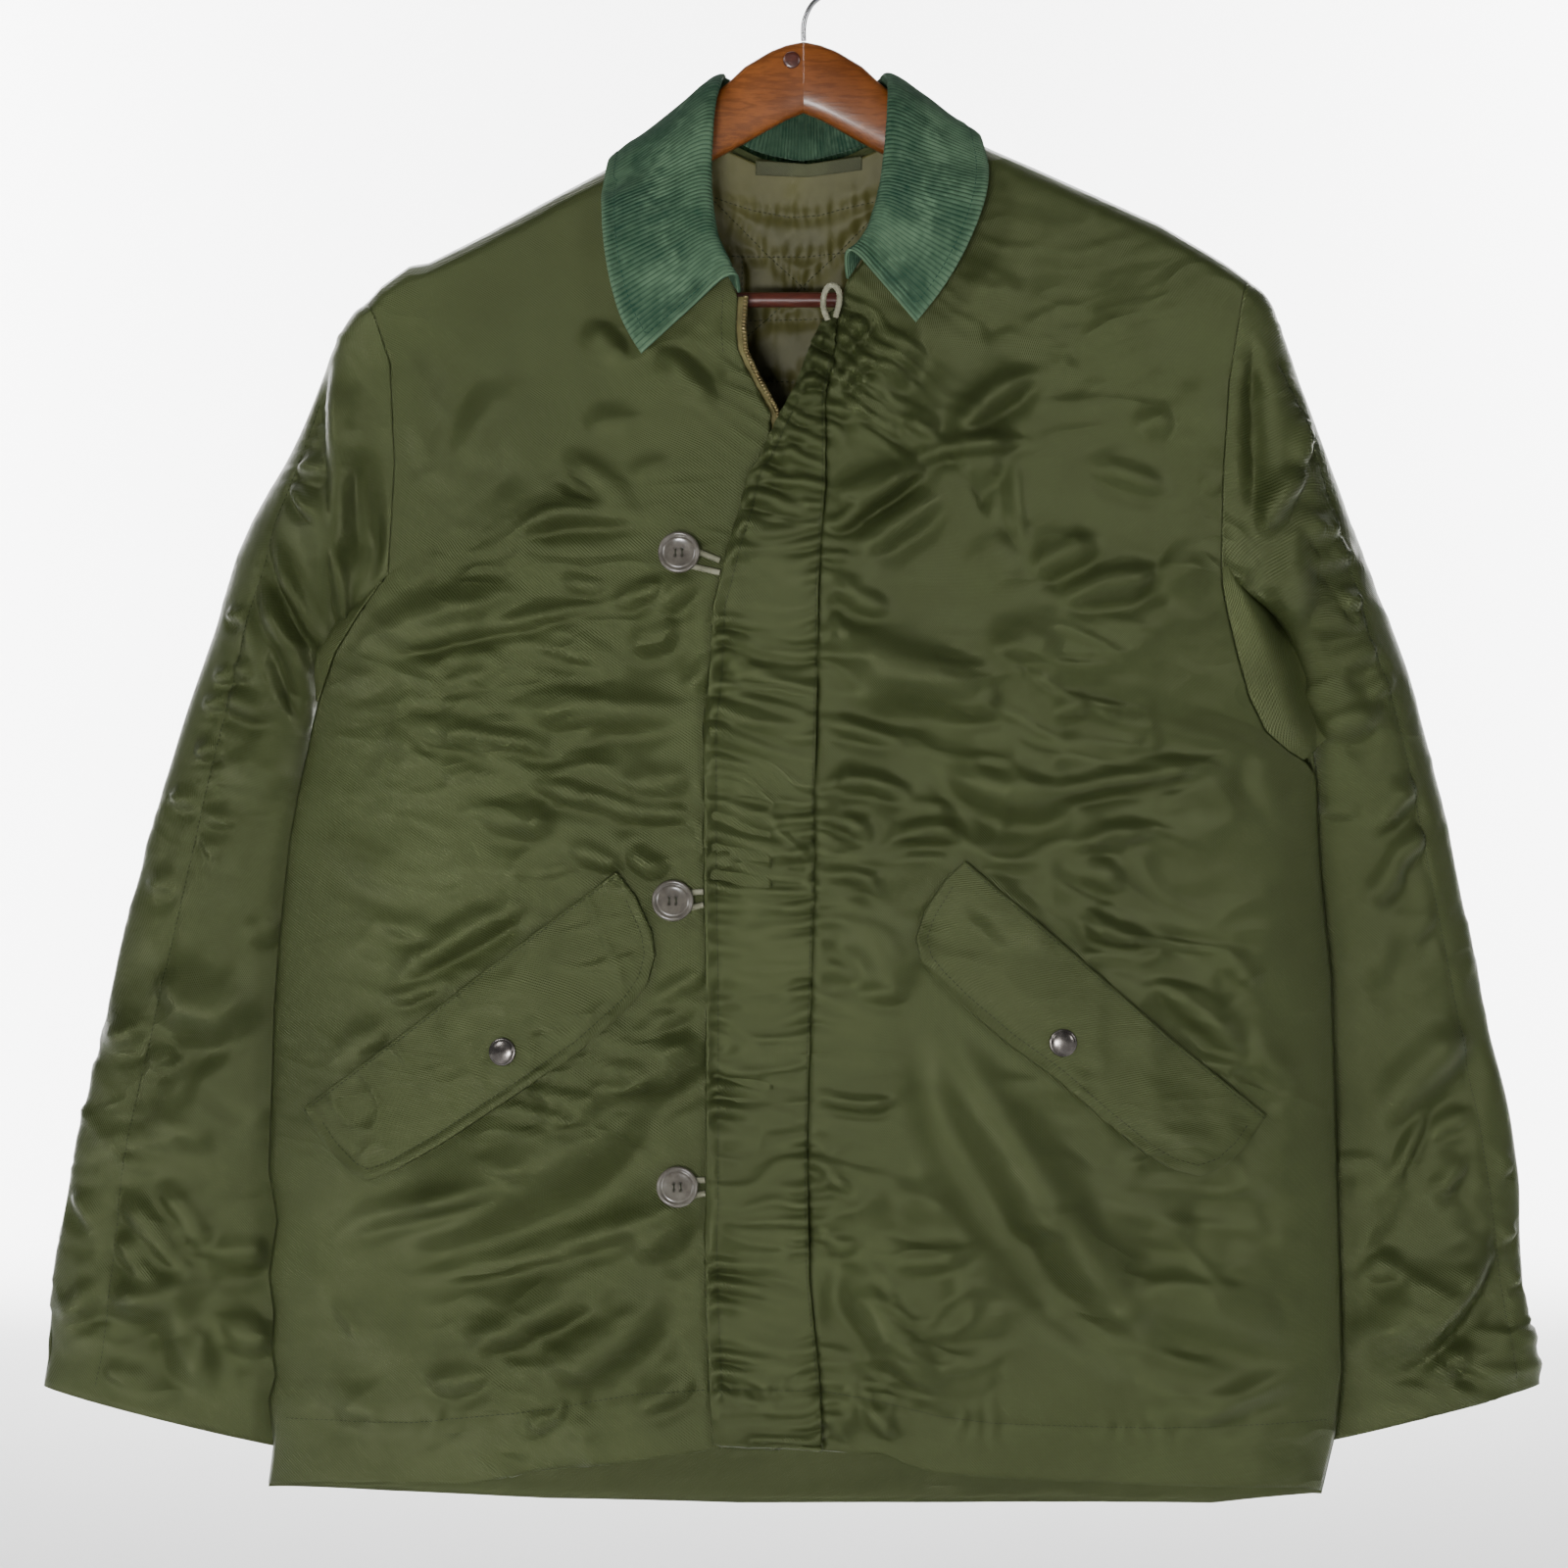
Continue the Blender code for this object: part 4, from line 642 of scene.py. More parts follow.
def tube_mesh(name: str, verts: np.ndarray, rings: int, sides: int) -> bpy.types.Object:
    """Join rings of points into a capped tube.

    Args:
        name: Object name.
        verts: Points, ring after ring.
        rings: Number of rings.
        sides: Points in each ring.

    Returns:
        The closed tube.
    """
    faces = [tuple(range(sides)), tuple(range((rings - 1) * sides, rings * sides))]
    for i in range(rings - 1):
        for k in range(sides):
            m = (k + 1) % sides
            faces.append((i * sides + k, i * sides + m, (i + 1) * sides + m, (i + 1) * sides + k))
    thing = add_mesh(name, verts, faces)
    face_outwards(thing)
    return thing


def sweep(name: str, path: np.ndarray, radius: float, sides: int = 16,
          braid: float = 0.0, pitch: float = 3.0) -> bpy.types.Object:
    """Sweep a round section along a path that stays near one plane.

    Args:
        name: Object name.
        path: Points of the path.
        radius: Radius of the section.
        sides: Points round the section.
        braid: Depth of the crossing strands.
        pitch: Length of one strand turn.

    Returns:
        The closed tube.
    """
    tangent = np.gradient(path, axis=0)
    tangent /= np.linalg.norm(tangent, axis=1, keepdims=True)
    side = np.cross(tangent, np.array([0.0, 1.0, 0.0]))
    side /= np.linalg.norm(side, axis=1, keepdims=True)
    up = np.cross(side, tangent)
    run = np.concatenate([[0.0], np.cumsum(np.linalg.norm(np.diff(path, axis=0), axis=1))])
    a = 2 * math.pi * np.arange(sides)[None] / sides
    turn = 2 * math.pi * run[:, None] / pitch
    strand = np.abs(np.sin(2 * a + turn)) * np.abs(np.sin(2 * a - turn))
    r = (radius - braid * (1 - np.sqrt(strand)))[..., None]
    verts = path[:, None] + r * (np.cos(a)[..., None] * side[:, None]
                                 + np.sin(a)[..., None] * up[:, None])
    return tube_mesh(name, verts.reshape(-1, 3), len(path), sides)


def surface_of(thing: bpy.types.Object) -> BVHTree:
    """Return the nearest-surface tree of an object, in millimetres."""
    count = len(thing.data.vertices)
    flat = np.zeros(count * 3)
    thing.data.vertices.foreach_get("co", flat)
    verts = flat.reshape(-1, 3) / MM
    return BVHTree.FromPolygons(verts.tolist(), [tuple(p.vertices) for p in thing.data.polygons])


def hit(surface: BVHTree, x: float, z: float) -> tuple[np.ndarray, np.ndarray]:
    """Find a surface seen from the front.

    Args:
        surface: Tree of the surface.
        x: Place across.
        z: Place up.

    Returns:
        The point that is hit and its outward normal.
    """
    found = surface.ray_cast(Vector((x, -200.0, z)), Vector((0.0, 1.0, 0.0)))
    if found[0] is None:
        near = surface.find_nearest(Vector((x, -60.0, z)))
        return np.array(near[0]), np.array((0.0, -1.0, 0.0))
    normal = found[1] if found[1].y < 0 else -found[1]
    return np.array(found[0]), np.array(normal)


# Finishes


class Graph:
    """Short way to place and join nodes in a tree."""

    def __init__(self, tree: bpy.types.NodeTree) -> None:
        """Keep the tree that nodes are placed in."""
        self.tree = tree

    def node(self, kind: str, **settings: object) -> bpy.types.Node:
        """Place a node.

        Args:
            kind: Node type name.
            settings: Node properties.

        Returns:
            The new node.
        """
        made = self.tree.nodes.new(kind)
        for name, value in settings.items():
            setattr(made, name, value)
        return made

    def join(self, source: object, target: object) -> None:
        """Link an output to an input, or set the input where the source is a value."""
        if isinstance(source, bpy.types.NodeSocket):
            self.tree.links.new(source, target)
        else:
            target.default_value = source

    def math(self, operation: str, a: object, b: object = 0.0) -> bpy.types.NodeSocket:
        """Place a Math node.

        Args:
            operation: Name of the operation.
            a: First socket or number.
            b: Second socket or number.

        Returns:
            The node's output.
        """
        made = self.node("ShaderNodeMath", operation=operation)
        self.join(a, made.inputs[0])
        self.join(b, made.inputs[1])
        return made.outputs[0]

    def noise(self, vector: object, scale: object, detail: float = 3.0,
              rough: float = 0.5) -> bpy.types.NodeSocket:
        """Place a Noise node and return its value output."""
        made = self.node("ShaderNodeTexNoise")
        self.join(vector, made.inputs["Vector"])
        self.join(scale, made.inputs["Scale"])
        made.inputs["Detail"].default_value = detail
        made.inputs["Roughness"].default_value = rough
        return made.outputs["Fac"]

    def remap(self, value: object, low: float, high: float, to_low: float,
              to_high: float) -> bpy.types.NodeSocket:
        """Place a Map Range node and return its output."""
        made = self.node("ShaderNodeMapRange")
        for i, item in enumerate((value, low, high, to_low, to_high)):
            self.join(item, made.inputs[i])
        return made.outputs[0]

    def mix(self, share: object, first: object, second: object) -> bpy.types.NodeSocket:
        """Place a colour Mix node and return its output."""
        made = self.node("ShaderNodeMix", data_type="RGBA")
        self.join(share, made.inputs[0])
        self.join(first, made.inputs[6])
        self.join(second, made.inputs[7])
        return made.outputs[2]


def new_group(name: str, inputs: Sequence[tuple[str, str, object]],
              outputs: Sequence[tuple[str, str]]) -> tuple[bpy.types.NodeTree, Graph,
                                                           bpy.types.Node, bpy.types.Node]:
    """Start a shader node group with named sockets.

    Args:
        name: Group name.
        inputs: Socket name, type and starting value of each input.
        outputs: Socket name and type of each output.

    Returns:
        The group, its graph, its input node and its output node.
    """
    tree = bpy.data.node_groups.new(name, "ShaderNodeTree")
    for label, kind, value in inputs:
        made = tree.interface.new_socket(label, in_out="INPUT", socket_type=kind)
        if value is not None:
            made.default_value = value
    for label, kind in outputs:
        tree.interface.new_socket(label, in_out="OUTPUT", socket_type=kind)
    graph = Graph(tree)
    return tree, graph, graph.node("NodeGroupInput"), graph.node("NodeGroupOutput")


def twill_group() -> bpy.types.NodeTree:
    """Build the woven twill: fine diagonal ribs crossed by threads.

    Returns:
        A group that puts out a height and a mask.
    """
    tree, g, into, out = new_group(
        "twill weave",
        [("Vector", "NodeSocketVector", None), ("Pitch", "NodeSocketFloat", 0.0011),
         ("Slope", "NodeSocketFloat", 1.0)],
        [("Height", "NodeSocketFloat"), ("Mask", "NodeSocketFloat")])
    parts = g.node("ShaderNodeSeparateXYZ")
    g.join(into.outputs["Vector"], parts.inputs[0])
    rate = g.math("DIVIDE", 2 * math.pi, into.outputs["Pitch"])
    lean = g.math("MULTIPLY", parts.outputs[1], into.outputs["Slope"])
    diagonal = g.math("SINE", g.math("MULTIPLY", g.math("ADD", parts.outputs[0], lean), rate))
    thread = g.math("SINE", g.math("MULTIPLY", parts.outputs[0], g.math("MULTIPLY", rate, 1.9)))
    total = g.math("ADD", g.math("MULTIPLY", diagonal, 0.7), g.math("MULTIPLY", thread, 0.3))
    uneven = g.noise(into.outputs["Vector"], 900.0, 2.0)
    g.join(g.math("ADD", total, g.math("MULTIPLY", uneven, 0.5)), out.inputs["Height"])
    g.join(g.remap(total, -1.0, 1.0, 0.0, 1.0), out.inputs["Mask"])
    return tree


def mottle_group() -> bpy.types.NodeTree:
    """Build the uneven colour of used cloth and wood.

    Returns:
        A group that mixes three colours by broad and fine patches.
    """
    tree, g, into, out = new_group(
        "uneven colour",
        [("Vector", "NodeSocketVector", None), ("Size", "NodeSocketFloat", 12.0),
         ("Low", "NodeSocketColor", (0, 0, 0, 1)), ("Mid", "NodeSocketColor", (0, 0, 0, 1)),
         ("High", "NodeSocketColor", (0, 0, 0, 1)), ("Spread", "NodeSocketFloat", 0.5)],
        [("Color", "NodeSocketColor"), ("Mask", "NodeSocketFloat")])
    broad = g.noise(into.outputs["Vector"], into.outputs["Size"], 3.0, 0.55)
    fine = g.noise(into.outputs["Vector"], g.math("MULTIPLY", into.outputs["Size"], 7.0), 3.0)
    low = g.remap(broad, 0.32, 0.55, 1.0, 0.0)
    high = g.remap(broad, 0.52, 0.75, 0.0, 1.0)
    base = g.mix(g.math("MULTIPLY", low, into.outputs["Spread"]), into.outputs["Mid"],
                 into.outputs["Low"])
    base = g.mix(g.math("MULTIPLY", high, into.outputs["Spread"]), base, into.outputs["High"])
    speck = g.remap(fine, 0.3, 0.7, 0.0, 0.3)
    g.join(g.mix(g.math("MULTIPLY", speck, into.outputs["Spread"]), base,
                 into.outputs["High"]), out.inputs["Color"])
    g.join(broad, out.inputs["Mask"])
    return tree


def crease_group() -> bpy.types.NodeTree:
    """Build the fine, crisp creases of worn nylon.

    Returns:
        A group that puts out a height.
    """
    tree, g, into, out = new_group(
        "worn creases",
        [("Vector", "NodeSocketVector", None), ("Size", "NodeSocketFloat", 26.0)],
        [("Height", "NodeSocketFloat")])
    warp = g.node("ShaderNodeTexNoise")
    g.join(into.outputs["Vector"], warp.inputs["Vector"])
    warp.inputs["Scale"].default_value = 11.0
    shift = g.node("ShaderNodeVectorMath", operation="MULTIPLY_ADD")
    g.join(warp.outputs["Color"], shift.inputs[0])
    shift.inputs[1].default_value = (0.05, 0.02, 0.04)
    g.join(into.outputs["Vector"], shift.inputs[2])
    turn = g.node("ShaderNodeMapping")
    g.join(shift.outputs[0], turn.inputs["Vector"])
    turn.inputs["Rotation"].default_value = (0.0, 0.22, 0.0)
    turn.inputs["Scale"].default_value = (0.42, 0.5, 1.0)
    rings = g.noise(turn.outputs[0], into.outputs["Size"], 2.0, 0.5)
    off = g.math("ABSOLUTE", g.math("SUBTRACT", rings, 0.5))
    ridge = g.remap(off, 0.0, 0.10, 1.0, 0.0)
    second = g.noise(turn.outputs[0], g.math("MULTIPLY", into.outputs["Size"], 2.7), 2.0, 0.5)
    mask = g.remap(g.noise(into.outputs["Vector"], 8.0, 2.0), 0.44, 0.58, 0.15, 1.0)
    total = g.math("ADD", g.math("MULTIPLY", ridge, 0.6), g.math("MULTIPLY", second, 0.7))
    g.join(g.math("MULTIPLY", total, mask), out.inputs["Height"])
    return tree


class Effects:
    """Shader groups that several finishes share, each built once."""

    built: dict[str, bpy.types.NodeTree] = {}

    @classmethod
    def get(cls, name: str) -> bpy.types.NodeTree:
        """Return a shared group by its short name."""
        makers: dict[str, Callable[[], bpy.types.NodeTree]] = {
            "twill": twill_group, "mottle": mottle_group, "crease": crease_group}
        if name not in cls.built:
            cls.built[name] = makers[name]()
        return cls.built[name]


class Pattern(Enum):
    """What a finish's fine relief follows."""

    TWILL = "twill"
    FUZZ = "fuzz"
    WALE = "wale"
    GRAIN = "grain"
    PLAIN = "plain"


@dataclass(frozen=True)
class Finish:
    """One finish: its colours, its gloss and its fine relief.

    Attributes:
        name: Short name of the finish; its material is named after it.
        low: Darkest colour.
        mid: Main colour.
        high: Lightest colour.
        rough: Roughness.
        patches: Number of colour patches in a metre.
        spread: Strength of the patches.
        pattern: What the relief follows.
        pitch: Size of the relief in metres.
        depth: Height of the relief in metres.
        metal: Metallic value.
        sheen: Sheen weight.
        coat: Coat weight.
        specular: Specular level.
        tint: Tint of the gloss.
        crease: Height of the fine creases in metres, 0 for none.
    """

    name: str
    low: tuple[float, float, float]
    mid: tuple[float, float, float]
    high: tuple[float, float, float]
    rough: float
    patches: float = 9.0
    spread: float = 0.5
    pattern: Pattern = Pattern.PLAIN
    pitch: float = 0.001
    depth: float = 0.0001
    metal: float = 0.0
    sheen: float = 0.0
    coat: float = 0.0
    specular: float = 0.5
    tint: tuple[float, float, float] = (1.0, 1.0, 1.0)
    crease: float = 0.0

    def material(self, label: str = "") -> bpy.types.Material:
        """Return the finish's material, made at its first use.

        Args:
            label: Name of the material where it differs from the one named after the finish.

        Returns:
            The material.
        """
        found = bpy.data.materials.get(label or "finish_" + self.name)
        if found:
            return found
        made = bpy.data.materials.new(label or "finish_" + self.name)
        made.use_nodes = True
        g = Graph(made.node_tree)
        shader = made.node_tree.nodes["Principled BSDF"]
        place = g.node("ShaderNodeTexCoord")
        mottle = g.node("ShaderNodeGroup", node_tree=Effects.get("mottle"))
        g.join(place.outputs["Object"], mottle.inputs["Vector"])
        for socket, value in (("Size", self.patches), ("Spread", self.spread),
                              ("Low", (*self.low, 1.0)), ("Mid", (*self.mid, 1.0)),
                              ("High", (*self.high, 1.0))):
            mottle.inputs[socket].default_value = value
        colour = mottle.outputs["Color"]
        height = None
        if self.pattern is Pattern.TWILL:
            twill = g.node("ShaderNodeGroup", node_tree=Effects.get("twill"))
            g.join(place.outputs["UV"], twill.inputs["Vector"])
            twill.inputs["Pitch"].default_value = self.pitch
            height = twill.outputs["Height"]
            share = g.math("MULTIPLY", twill.outputs["Mask"], 0.22)
            colour = g.mix(share, colour, (*self.high, 1.0))
        elif self.pattern is Pattern.WALE:
            parts = g.node("ShaderNodeSeparateXYZ")
            g.join(place.outputs["UV"], parts.inputs[0])
            wave = g.math("MULTIPLY", parts.outputs[0], math.pi / self.pitch)
            rib = g.math("ABSOLUTE", g.math("SINE", wave))
            fuzz = g.noise(place.outputs["Object"], 700.0, 3.0, 0.7)
            height = g.math("ADD", rib, g.math("MULTIPLY", fuzz, 0.5))
            worn = g.node("ShaderNodeAttribute", attribute_name="worn")
            colour = g.mix(g.math("MULTIPLY", worn.outputs["Fac"], 0.8), colour,
                           (*self.high, 1.0))
            # Painted shade: the grooves between the wales, where the relief is low, are darkened
            # towards the low colour.
            colour = g.mix(g.remap(height, 0.25, 0.85, 0.62, 0.0), colour, (*self.low, 1.0))
        elif self.pattern is Pattern.FUZZ:
            height = g.noise(place.outputs["Object"], 1.0 / self.pitch, 4.0, 0.7)
            colour = g.mix(g.remap(height, 0.35, 0.65, 0.0, 0.3), colour, (*self.high, 1.0))
        elif self.pattern is Pattern.GRAIN:
            turn = g.node("ShaderNodeMapping")
            g.join(place.outputs["Object"], turn.inputs["Vector"])
            turn.inputs["Scale"].default_value = (9.0, 60.0, 60.0)
            rings = g.noise(turn.outputs[0], 2.2, 5.0, 0.62)
            lines = g.math("SINE", g.math("MULTIPLY", rings, 34.0))
            height = g.remap(lines, -1.0, 1.0, 0.0, 1.0)
            colour = g.mix(g.math("MULTIPLY", height, 0.45), colour, (*self.low, 1.0))
        g.join(colour, shader.inputs["Base Color"])
        shade = g.remap(mottle.outputs["Mask"], 0.3, 0.7, self.rough - 0.05, self.rough + 0.05)
        g.join(shade, shader.inputs["Roughness"])
        shader.inputs["Metallic"].default_value = self.metal
        shader.inputs["Sheen Weight"].default_value = self.sheen
        shader.inputs["Sheen Roughness"].default_value = 0.4
        shader.inputs["Sheen Tint"].default_value = (*self.high, 1.0)
        shader.inputs["Coat Weight"].default_value = self.coat
        shader.inputs["Coat Roughness"].default_value = 0.12
        shader.inputs["Specular IOR Level"].default_value = self.specular
        shader.inputs["Specular Tint"].default_value = (*self.tint, 1.0)
        if height is not None:
            bump = g.node("ShaderNodeBump")
            bump.inputs["Strength"].default_value = 0.6
            bump.inputs["Distance"].default_value = self.depth
            g.join(height, bump.inputs["Height"])
            if self.crease:
                crease = g.node("ShaderNodeGroup", node_tree=Effects.get("crease"))
                g.join(place.outputs["Object"], crease.inputs["Vector"])
                first = g.node("ShaderNodeBump")
                first.inputs["Distance"].default_value = self.crease
                g.join(crease.outputs["Height"], first.inputs["Height"])
                g.join(first.outputs[0], bump.inputs["Normal"])
            g.join(bump.outputs[0], shader.inputs["Normal"])
        made.diffuse_color = (*self.mid, 1.0)
        return made


NYLON = Finish("nylon", (0.024, 0.031, 0.010), (0.036, 0.046, 0.015), (0.058, 0.074, 0.027),
               0.39, 7.0, 0.6, Pattern.TWILL, 0.0017, 0.00024, specular=0.5,
               tint=(0.93, 1.0, 0.58), crease=0.0022)
RIBBED = Finish("nylon", (0.026, 0.033, 0.010), (0.044, 0.056, 0.018), (0.080, 0.100, 0.036),
                0.46, 9.0, 0.6, Pattern.TWILL, 0.0022, 0.00035, sheen=0.08, specular=0.6,
                tint=(0.93, 1.0, 0.58))
CORD_CLOTH = Finish("cord_cloth", (0.007, 0.036, 0.023), (0.025, 0.066, 0.036),
                    (0.12, 0.20, 0.12), 0.85, 26.0, 0.8, Pattern.WALE, 0.0024, 0.0007,
                    sheen=0.1, specular=0.2)
LINING = Finish("lining", (0.042, 0.041, 0.009), (0.080, 0.077, 0.018), (0.125, 0.12, 0.034),
                0.5, 14.0, 0.6, Pattern.TWILL, 0.0008, 0.00006, sheen=0.1, specular=0.5)
BRAID = Finish("braid", (0.10, 0.10, 0.06), (0.20, 0.20, 0.13), (0.34, 0.34, 0.25), 0.8,
               120.0, 0.8, Pattern.FUZZ, 0.0008, 0.0002, sheen=0.2, specular=0.3)
TAPE = Finish("tape", (0.07, 0.06, 0.02), (0.14, 0.12, 0.04), (0.22, 0.20, 0.08), 0.7, 40.0,
              0.6, Pattern.TWILL, 0.0012, 0.0001, specular=0.4)
STRAP = Finish("tape", (0.030, 0.034, 0.012), (0.052, 0.058, 0.022), (0.09, 0.10, 0.04), 0.6,
               40.0, 0.6, Pattern.TWILL, 0.0014, 0.0002, specular=0.5)
BUTTON = Finish("button", (0.050, 0.042, 0.034), (0.110, 0.098, 0.080), (0.19, 0.18, 0.15),
                0.22, 90.0, 0.7, coat=0.5, specular=0.6)
GUNMETAL = Finish("gunmetal", (0.060, 0.050, 0.045), (0.13, 0.12, 0.11), (0.30, 0.27, 0.25),
                  0.22, 200.0, 0.6, metal=0.9)
TEETH = Finish("gunmetal", (0.16, 0.12, 0.05), (0.30, 0.24, 0.11), (0.45, 0.38, 0.2), 0.35,
               200.0, 0.6, metal=0.9)
WOOD = Finish("wood", (0.075, 0.019, 0.004), (0.220, 0.066, 0.012), (0.34, 0.115, 0.026), 0.34,
              12.0, 0.6, Pattern.GRAIN, 0.001, 0.00003, coat=0.12, specular=0.35)
RED_WOOD = Finish("red_wood", (0.030, 0.006, 0.003), (0.095, 0.018, 0.009), (0.16, 0.04, 0.02),
                  0.35, 30.0, 0.6, Pattern.GRAIN, 0.001, 0.00003, coat=0.3, specular=0.5)
STEEL = Finish("steel", (0.40, 0.40, 0.41), (0.56, 0.56, 0.57), (0.70, 0.70, 0.71), 0.2, 90.0,
               0.5, metal=1.0)
THREAD = Finish("nylon", (0.012, 0.018, 0.006), (0.020, 0.028, 0.009), (0.035, 0.045, 0.016),
                0.7, 200.0, 0.5, specular=0.3)
COLLAR_THREAD = Finish("cord_cloth", (0.006, 0.035, 0.024), (0.012, 0.055, 0.036),
                       (0.03, 0.09, 0.06), 0.8, 200.0, 0.5, specular=0.2)


def dress(thing: bpy.types.Object, outer: Finish, inner: Optional[Finish] = None,
          label: str = "") -> bpy.types.Object:
    """Give a piece its finish.

    Args:
        thing: Piece to dress.
        outer: Finish of the outside.
        inner: Finish of the inside, where it differs.
        label: Material name where several finishes share one short name.

    Returns:
        The piece.
    """
    thing.data.materials.clear()
    thing.data.materials.append(outer.material(label))
    if inner is not None:
        thing.data.materials.append(inner.material())
    return thing


# The jacket's form


@dataclass
class BodyForm:
    """Depth of the jacket's body over the hanger, with its folds.

    Attributes:
        side_y: Depth of the side folds.
        arm_sweep: How far the hanger's ends sweep forward.
        arm_reach: Half the hanger's width.
        crumple: Height of the small creases.
        pucker: Height of the ripples along a sewn line.
        fold_gain: Share of the tables' fold heights.
    """

    side_y: float = -5.0
    arm_sweep: float = 22.0
    arm_reach: float = 218.0
    crumple: float = 3.3
    pucker: float = 2.2
    fold_gain: float = 2.8

    def ridge_z(self, x: np.ndarray) -> np.ndarray:
        """Return the height of the shoulder line over the hanger."""
        rows = np.array(RIDGE_LEFT + NECK_ARCH + RIDGE_RIGHT, dtype=float)
        return np.interp(x, rows[:, 0], rows[:, 1])

    def ridge_y(self, x: np.ndarray) -> np.ndarray:
        """Return the forward sweep of the shoulder line."""
        return -self.arm_sweep * (np.minimum(np.abs(x), 240.0) / self.arm_reach) ** 2

    def arm_top(self, x: np.ndarray) -> np.ndarray:
        """Return the height of the hanger's upper edge."""
        rows = np.array(HANGER_ARM, dtype=float)
        plain = np.interp(np.abs(x), rows[:, 0], rows[:, 1])
        return np.where(np.abs(x) >= 60.0, np.minimum(self.ridge_z(x) - 3.1, plain + 40.0), plain)

    def lens(self, x: np.ndarray, z: np.ndarray) -> np.ndarray:
        """Return the share of the full depth, zero at the side folds."""
        left = np.where(z < -475, by_z(SIDE_LEFT, z), column(CLOSE, z, 1))
        right = np.where(z < -492, by_z(SIDE_RIGHT, z), column(CLOSE, z, 2))
        t = np.clip((x - left) / (right - left), 0.0, 1.0)
        return (1 - np.abs(2 * t - 1) ** 2.6) ** 0.65

    def body_y(self, x: np.ndarray, z: np.ndarray, side: int) -> np.ndarray:
        """Return the plain depth of the body.

        Args:
            x: Places across.
            z: Places up.
            side: 1 for the front, 2 for the back.

        Returns:
            Depth at each place.
        """
        x, z = np.asarray(x, dtype=float), np.asarray(z, dtype=float)
        s = np.maximum(self.ridge_z(x) - z, 0.0)
        mid = self.side_y + (self.ridge_y(x) - self.side_y) * np.exp(-(s / 120.0) ** 2)
        round_over = np.sqrt(1 - (1 - np.minimum(s / 13.0, 1.0)) ** 2)
        keep = np.exp(-(s / 80.0) ** 2)
        wrap = (9.8 + 5.5 * np.minimum(np.abs(x) / self.arm_reach, 1.1)) * keep
        full = column(DEPTH, z, side) * self.lens(x, z)
        off = np.maximum(wrap * round_over + (full - wrap) * (1 - np.exp(-s / 70.0)), 0.0)
        return mid - off if side == 1 else mid + off

    def small_creases(self, x: np.ndarray, z: np.ndarray, seed: int) -> np.ndarray:
        """Return the fine crumpling of worn nylon, mostly level streaks.

        Args:
            x: Places across.
            z: Places up.
            seed: Number that fixes the pattern.

        Returns:
            Height over the plain cloth.
        """
        bent_x = x + 16 * lattice_noise(x, z, 46.0, seed)
        bent_z = z + 11 * lattice_noise(x, z, 38.0, seed + 1) + 0.18 * x
        streak = np.clip(1 - 2.4 * np.abs(lattice_noise(bent_x * 0.34, bent_z, 15.0, seed + 2)),
                         0.0, 1.0) ** 2
        second = np.clip(1 - 2.6 * np.abs(lattice_noise(bent_x * 0.5 + bent_z * 0.5, bent_z - bent_x
                                                        * 0.2, 24.0, seed + 3)), 0.0, 1.0) ** 2
        mask = smooth(0.45 + 0.9 * lattice_noise(x, z, 74.0, seed + 4))
        calm = 0.3 + 0.7 * smooth((-330.0 - z) / 110.0)
        broad = 1.1 * lattice_noise(x * 0.8, z * 1.1, 58.0, seed + 5)
        fine = lattice_noise(bent_x * 0.5, bent_z, 7.0, seed + 6)
        facets = 0.9 * np.abs(lattice_noise(bent_x * 0.6, bent_z * 1.2, 27.0, seed + 7))
        return self.crumple * calm * (mask * (0.9 * streak + 0.8 * second + 0.3 * fine + facets)
                                      + broad)

    def ripples(self, x: np.ndarray, z: np.ndarray, off: np.ndarray, reach: float,
                pitch: float, seed: int) -> np.ndarray:
        """Return the ripples that a row of stitches draws into the cloth.

        Args:
            x: Places across.
            z: Places up.
            off: Distance from the row.
            reach: How far the ripples run out.
            pitch: Usual distance between ripples.
            seed: Number that fixes the pattern.

        Returns:
            Height over the plain cloth.
        """
        run = z + 0.22 * np.abs(off) + 5 * lattice_noise(x, z, 22.0, seed)
        uneven = smooth(0.55 + 0.8 * lattice_noise(x * 0.3, z, 26.0, seed + 1))
        reach = reach * (0.7 + 0.5 * lattice_noise(x * 0.01, z, 17.0, seed + 2))
        return self.pucker * uneven * np.sin(2 * np.pi * run / pitch) * np.exp(
            -np.abs(off) / np.maximum(reach, 4.0))

    def hem_off(self, x: np.ndarray, z: np.ndarray) -> np.ndarray:
        """Return the height over the row of hem stitches."""
        rows = np.array(HEM_STITCH, dtype=float)
        return z - np.interp(x, rows[:, 0], rows[:, 1])

    def front_relief(self, x: np.ndarray, z: np.ndarray) -> np.ndarray:
        """Return the height of all folds and ripples of the fronts."""
        edge = np.clip(self.lens(x, z) * 2.4 - 0.7, 0.0, 1.0)
        total = self.fold_gain * (crease_heights(x, z, CREASES_RIGHT)
                                  + crease_heights(x, z, CREASES_LEFT))
        total = total + self.small_creases(x, z, 31)
        seam = x - by_z(FLAP_SEAM, z)
        total = total + self.ripples(x, z, seam, 17.0, 10.5, 61)
        hem = self.hem_off(x, z)
        total = total + 0.8 * self.ripples(z, x, hem, 9.0, 12.0, 71)
        total = total - 0.9 * np.exp(-(hem / 1.8) ** 2)
        neck = np.exp(-((z + 250.0) / 70.0) ** 2) * np.exp(-((x - 20.0) / 55.0) ** 2)
        total = total + 1.6 * neck * self.ripples(x - z, z + 0.7 * x, x * 0.0, 90.0, 12.0, 81)
        return total * edge

    def front_y(self, x: np.ndarray, z: np.ndarray) -> np.ndarray:
        """Return the depth of the front with its folds."""
        return self.body_y(x, z, 1) - self.front_relief(x, z)

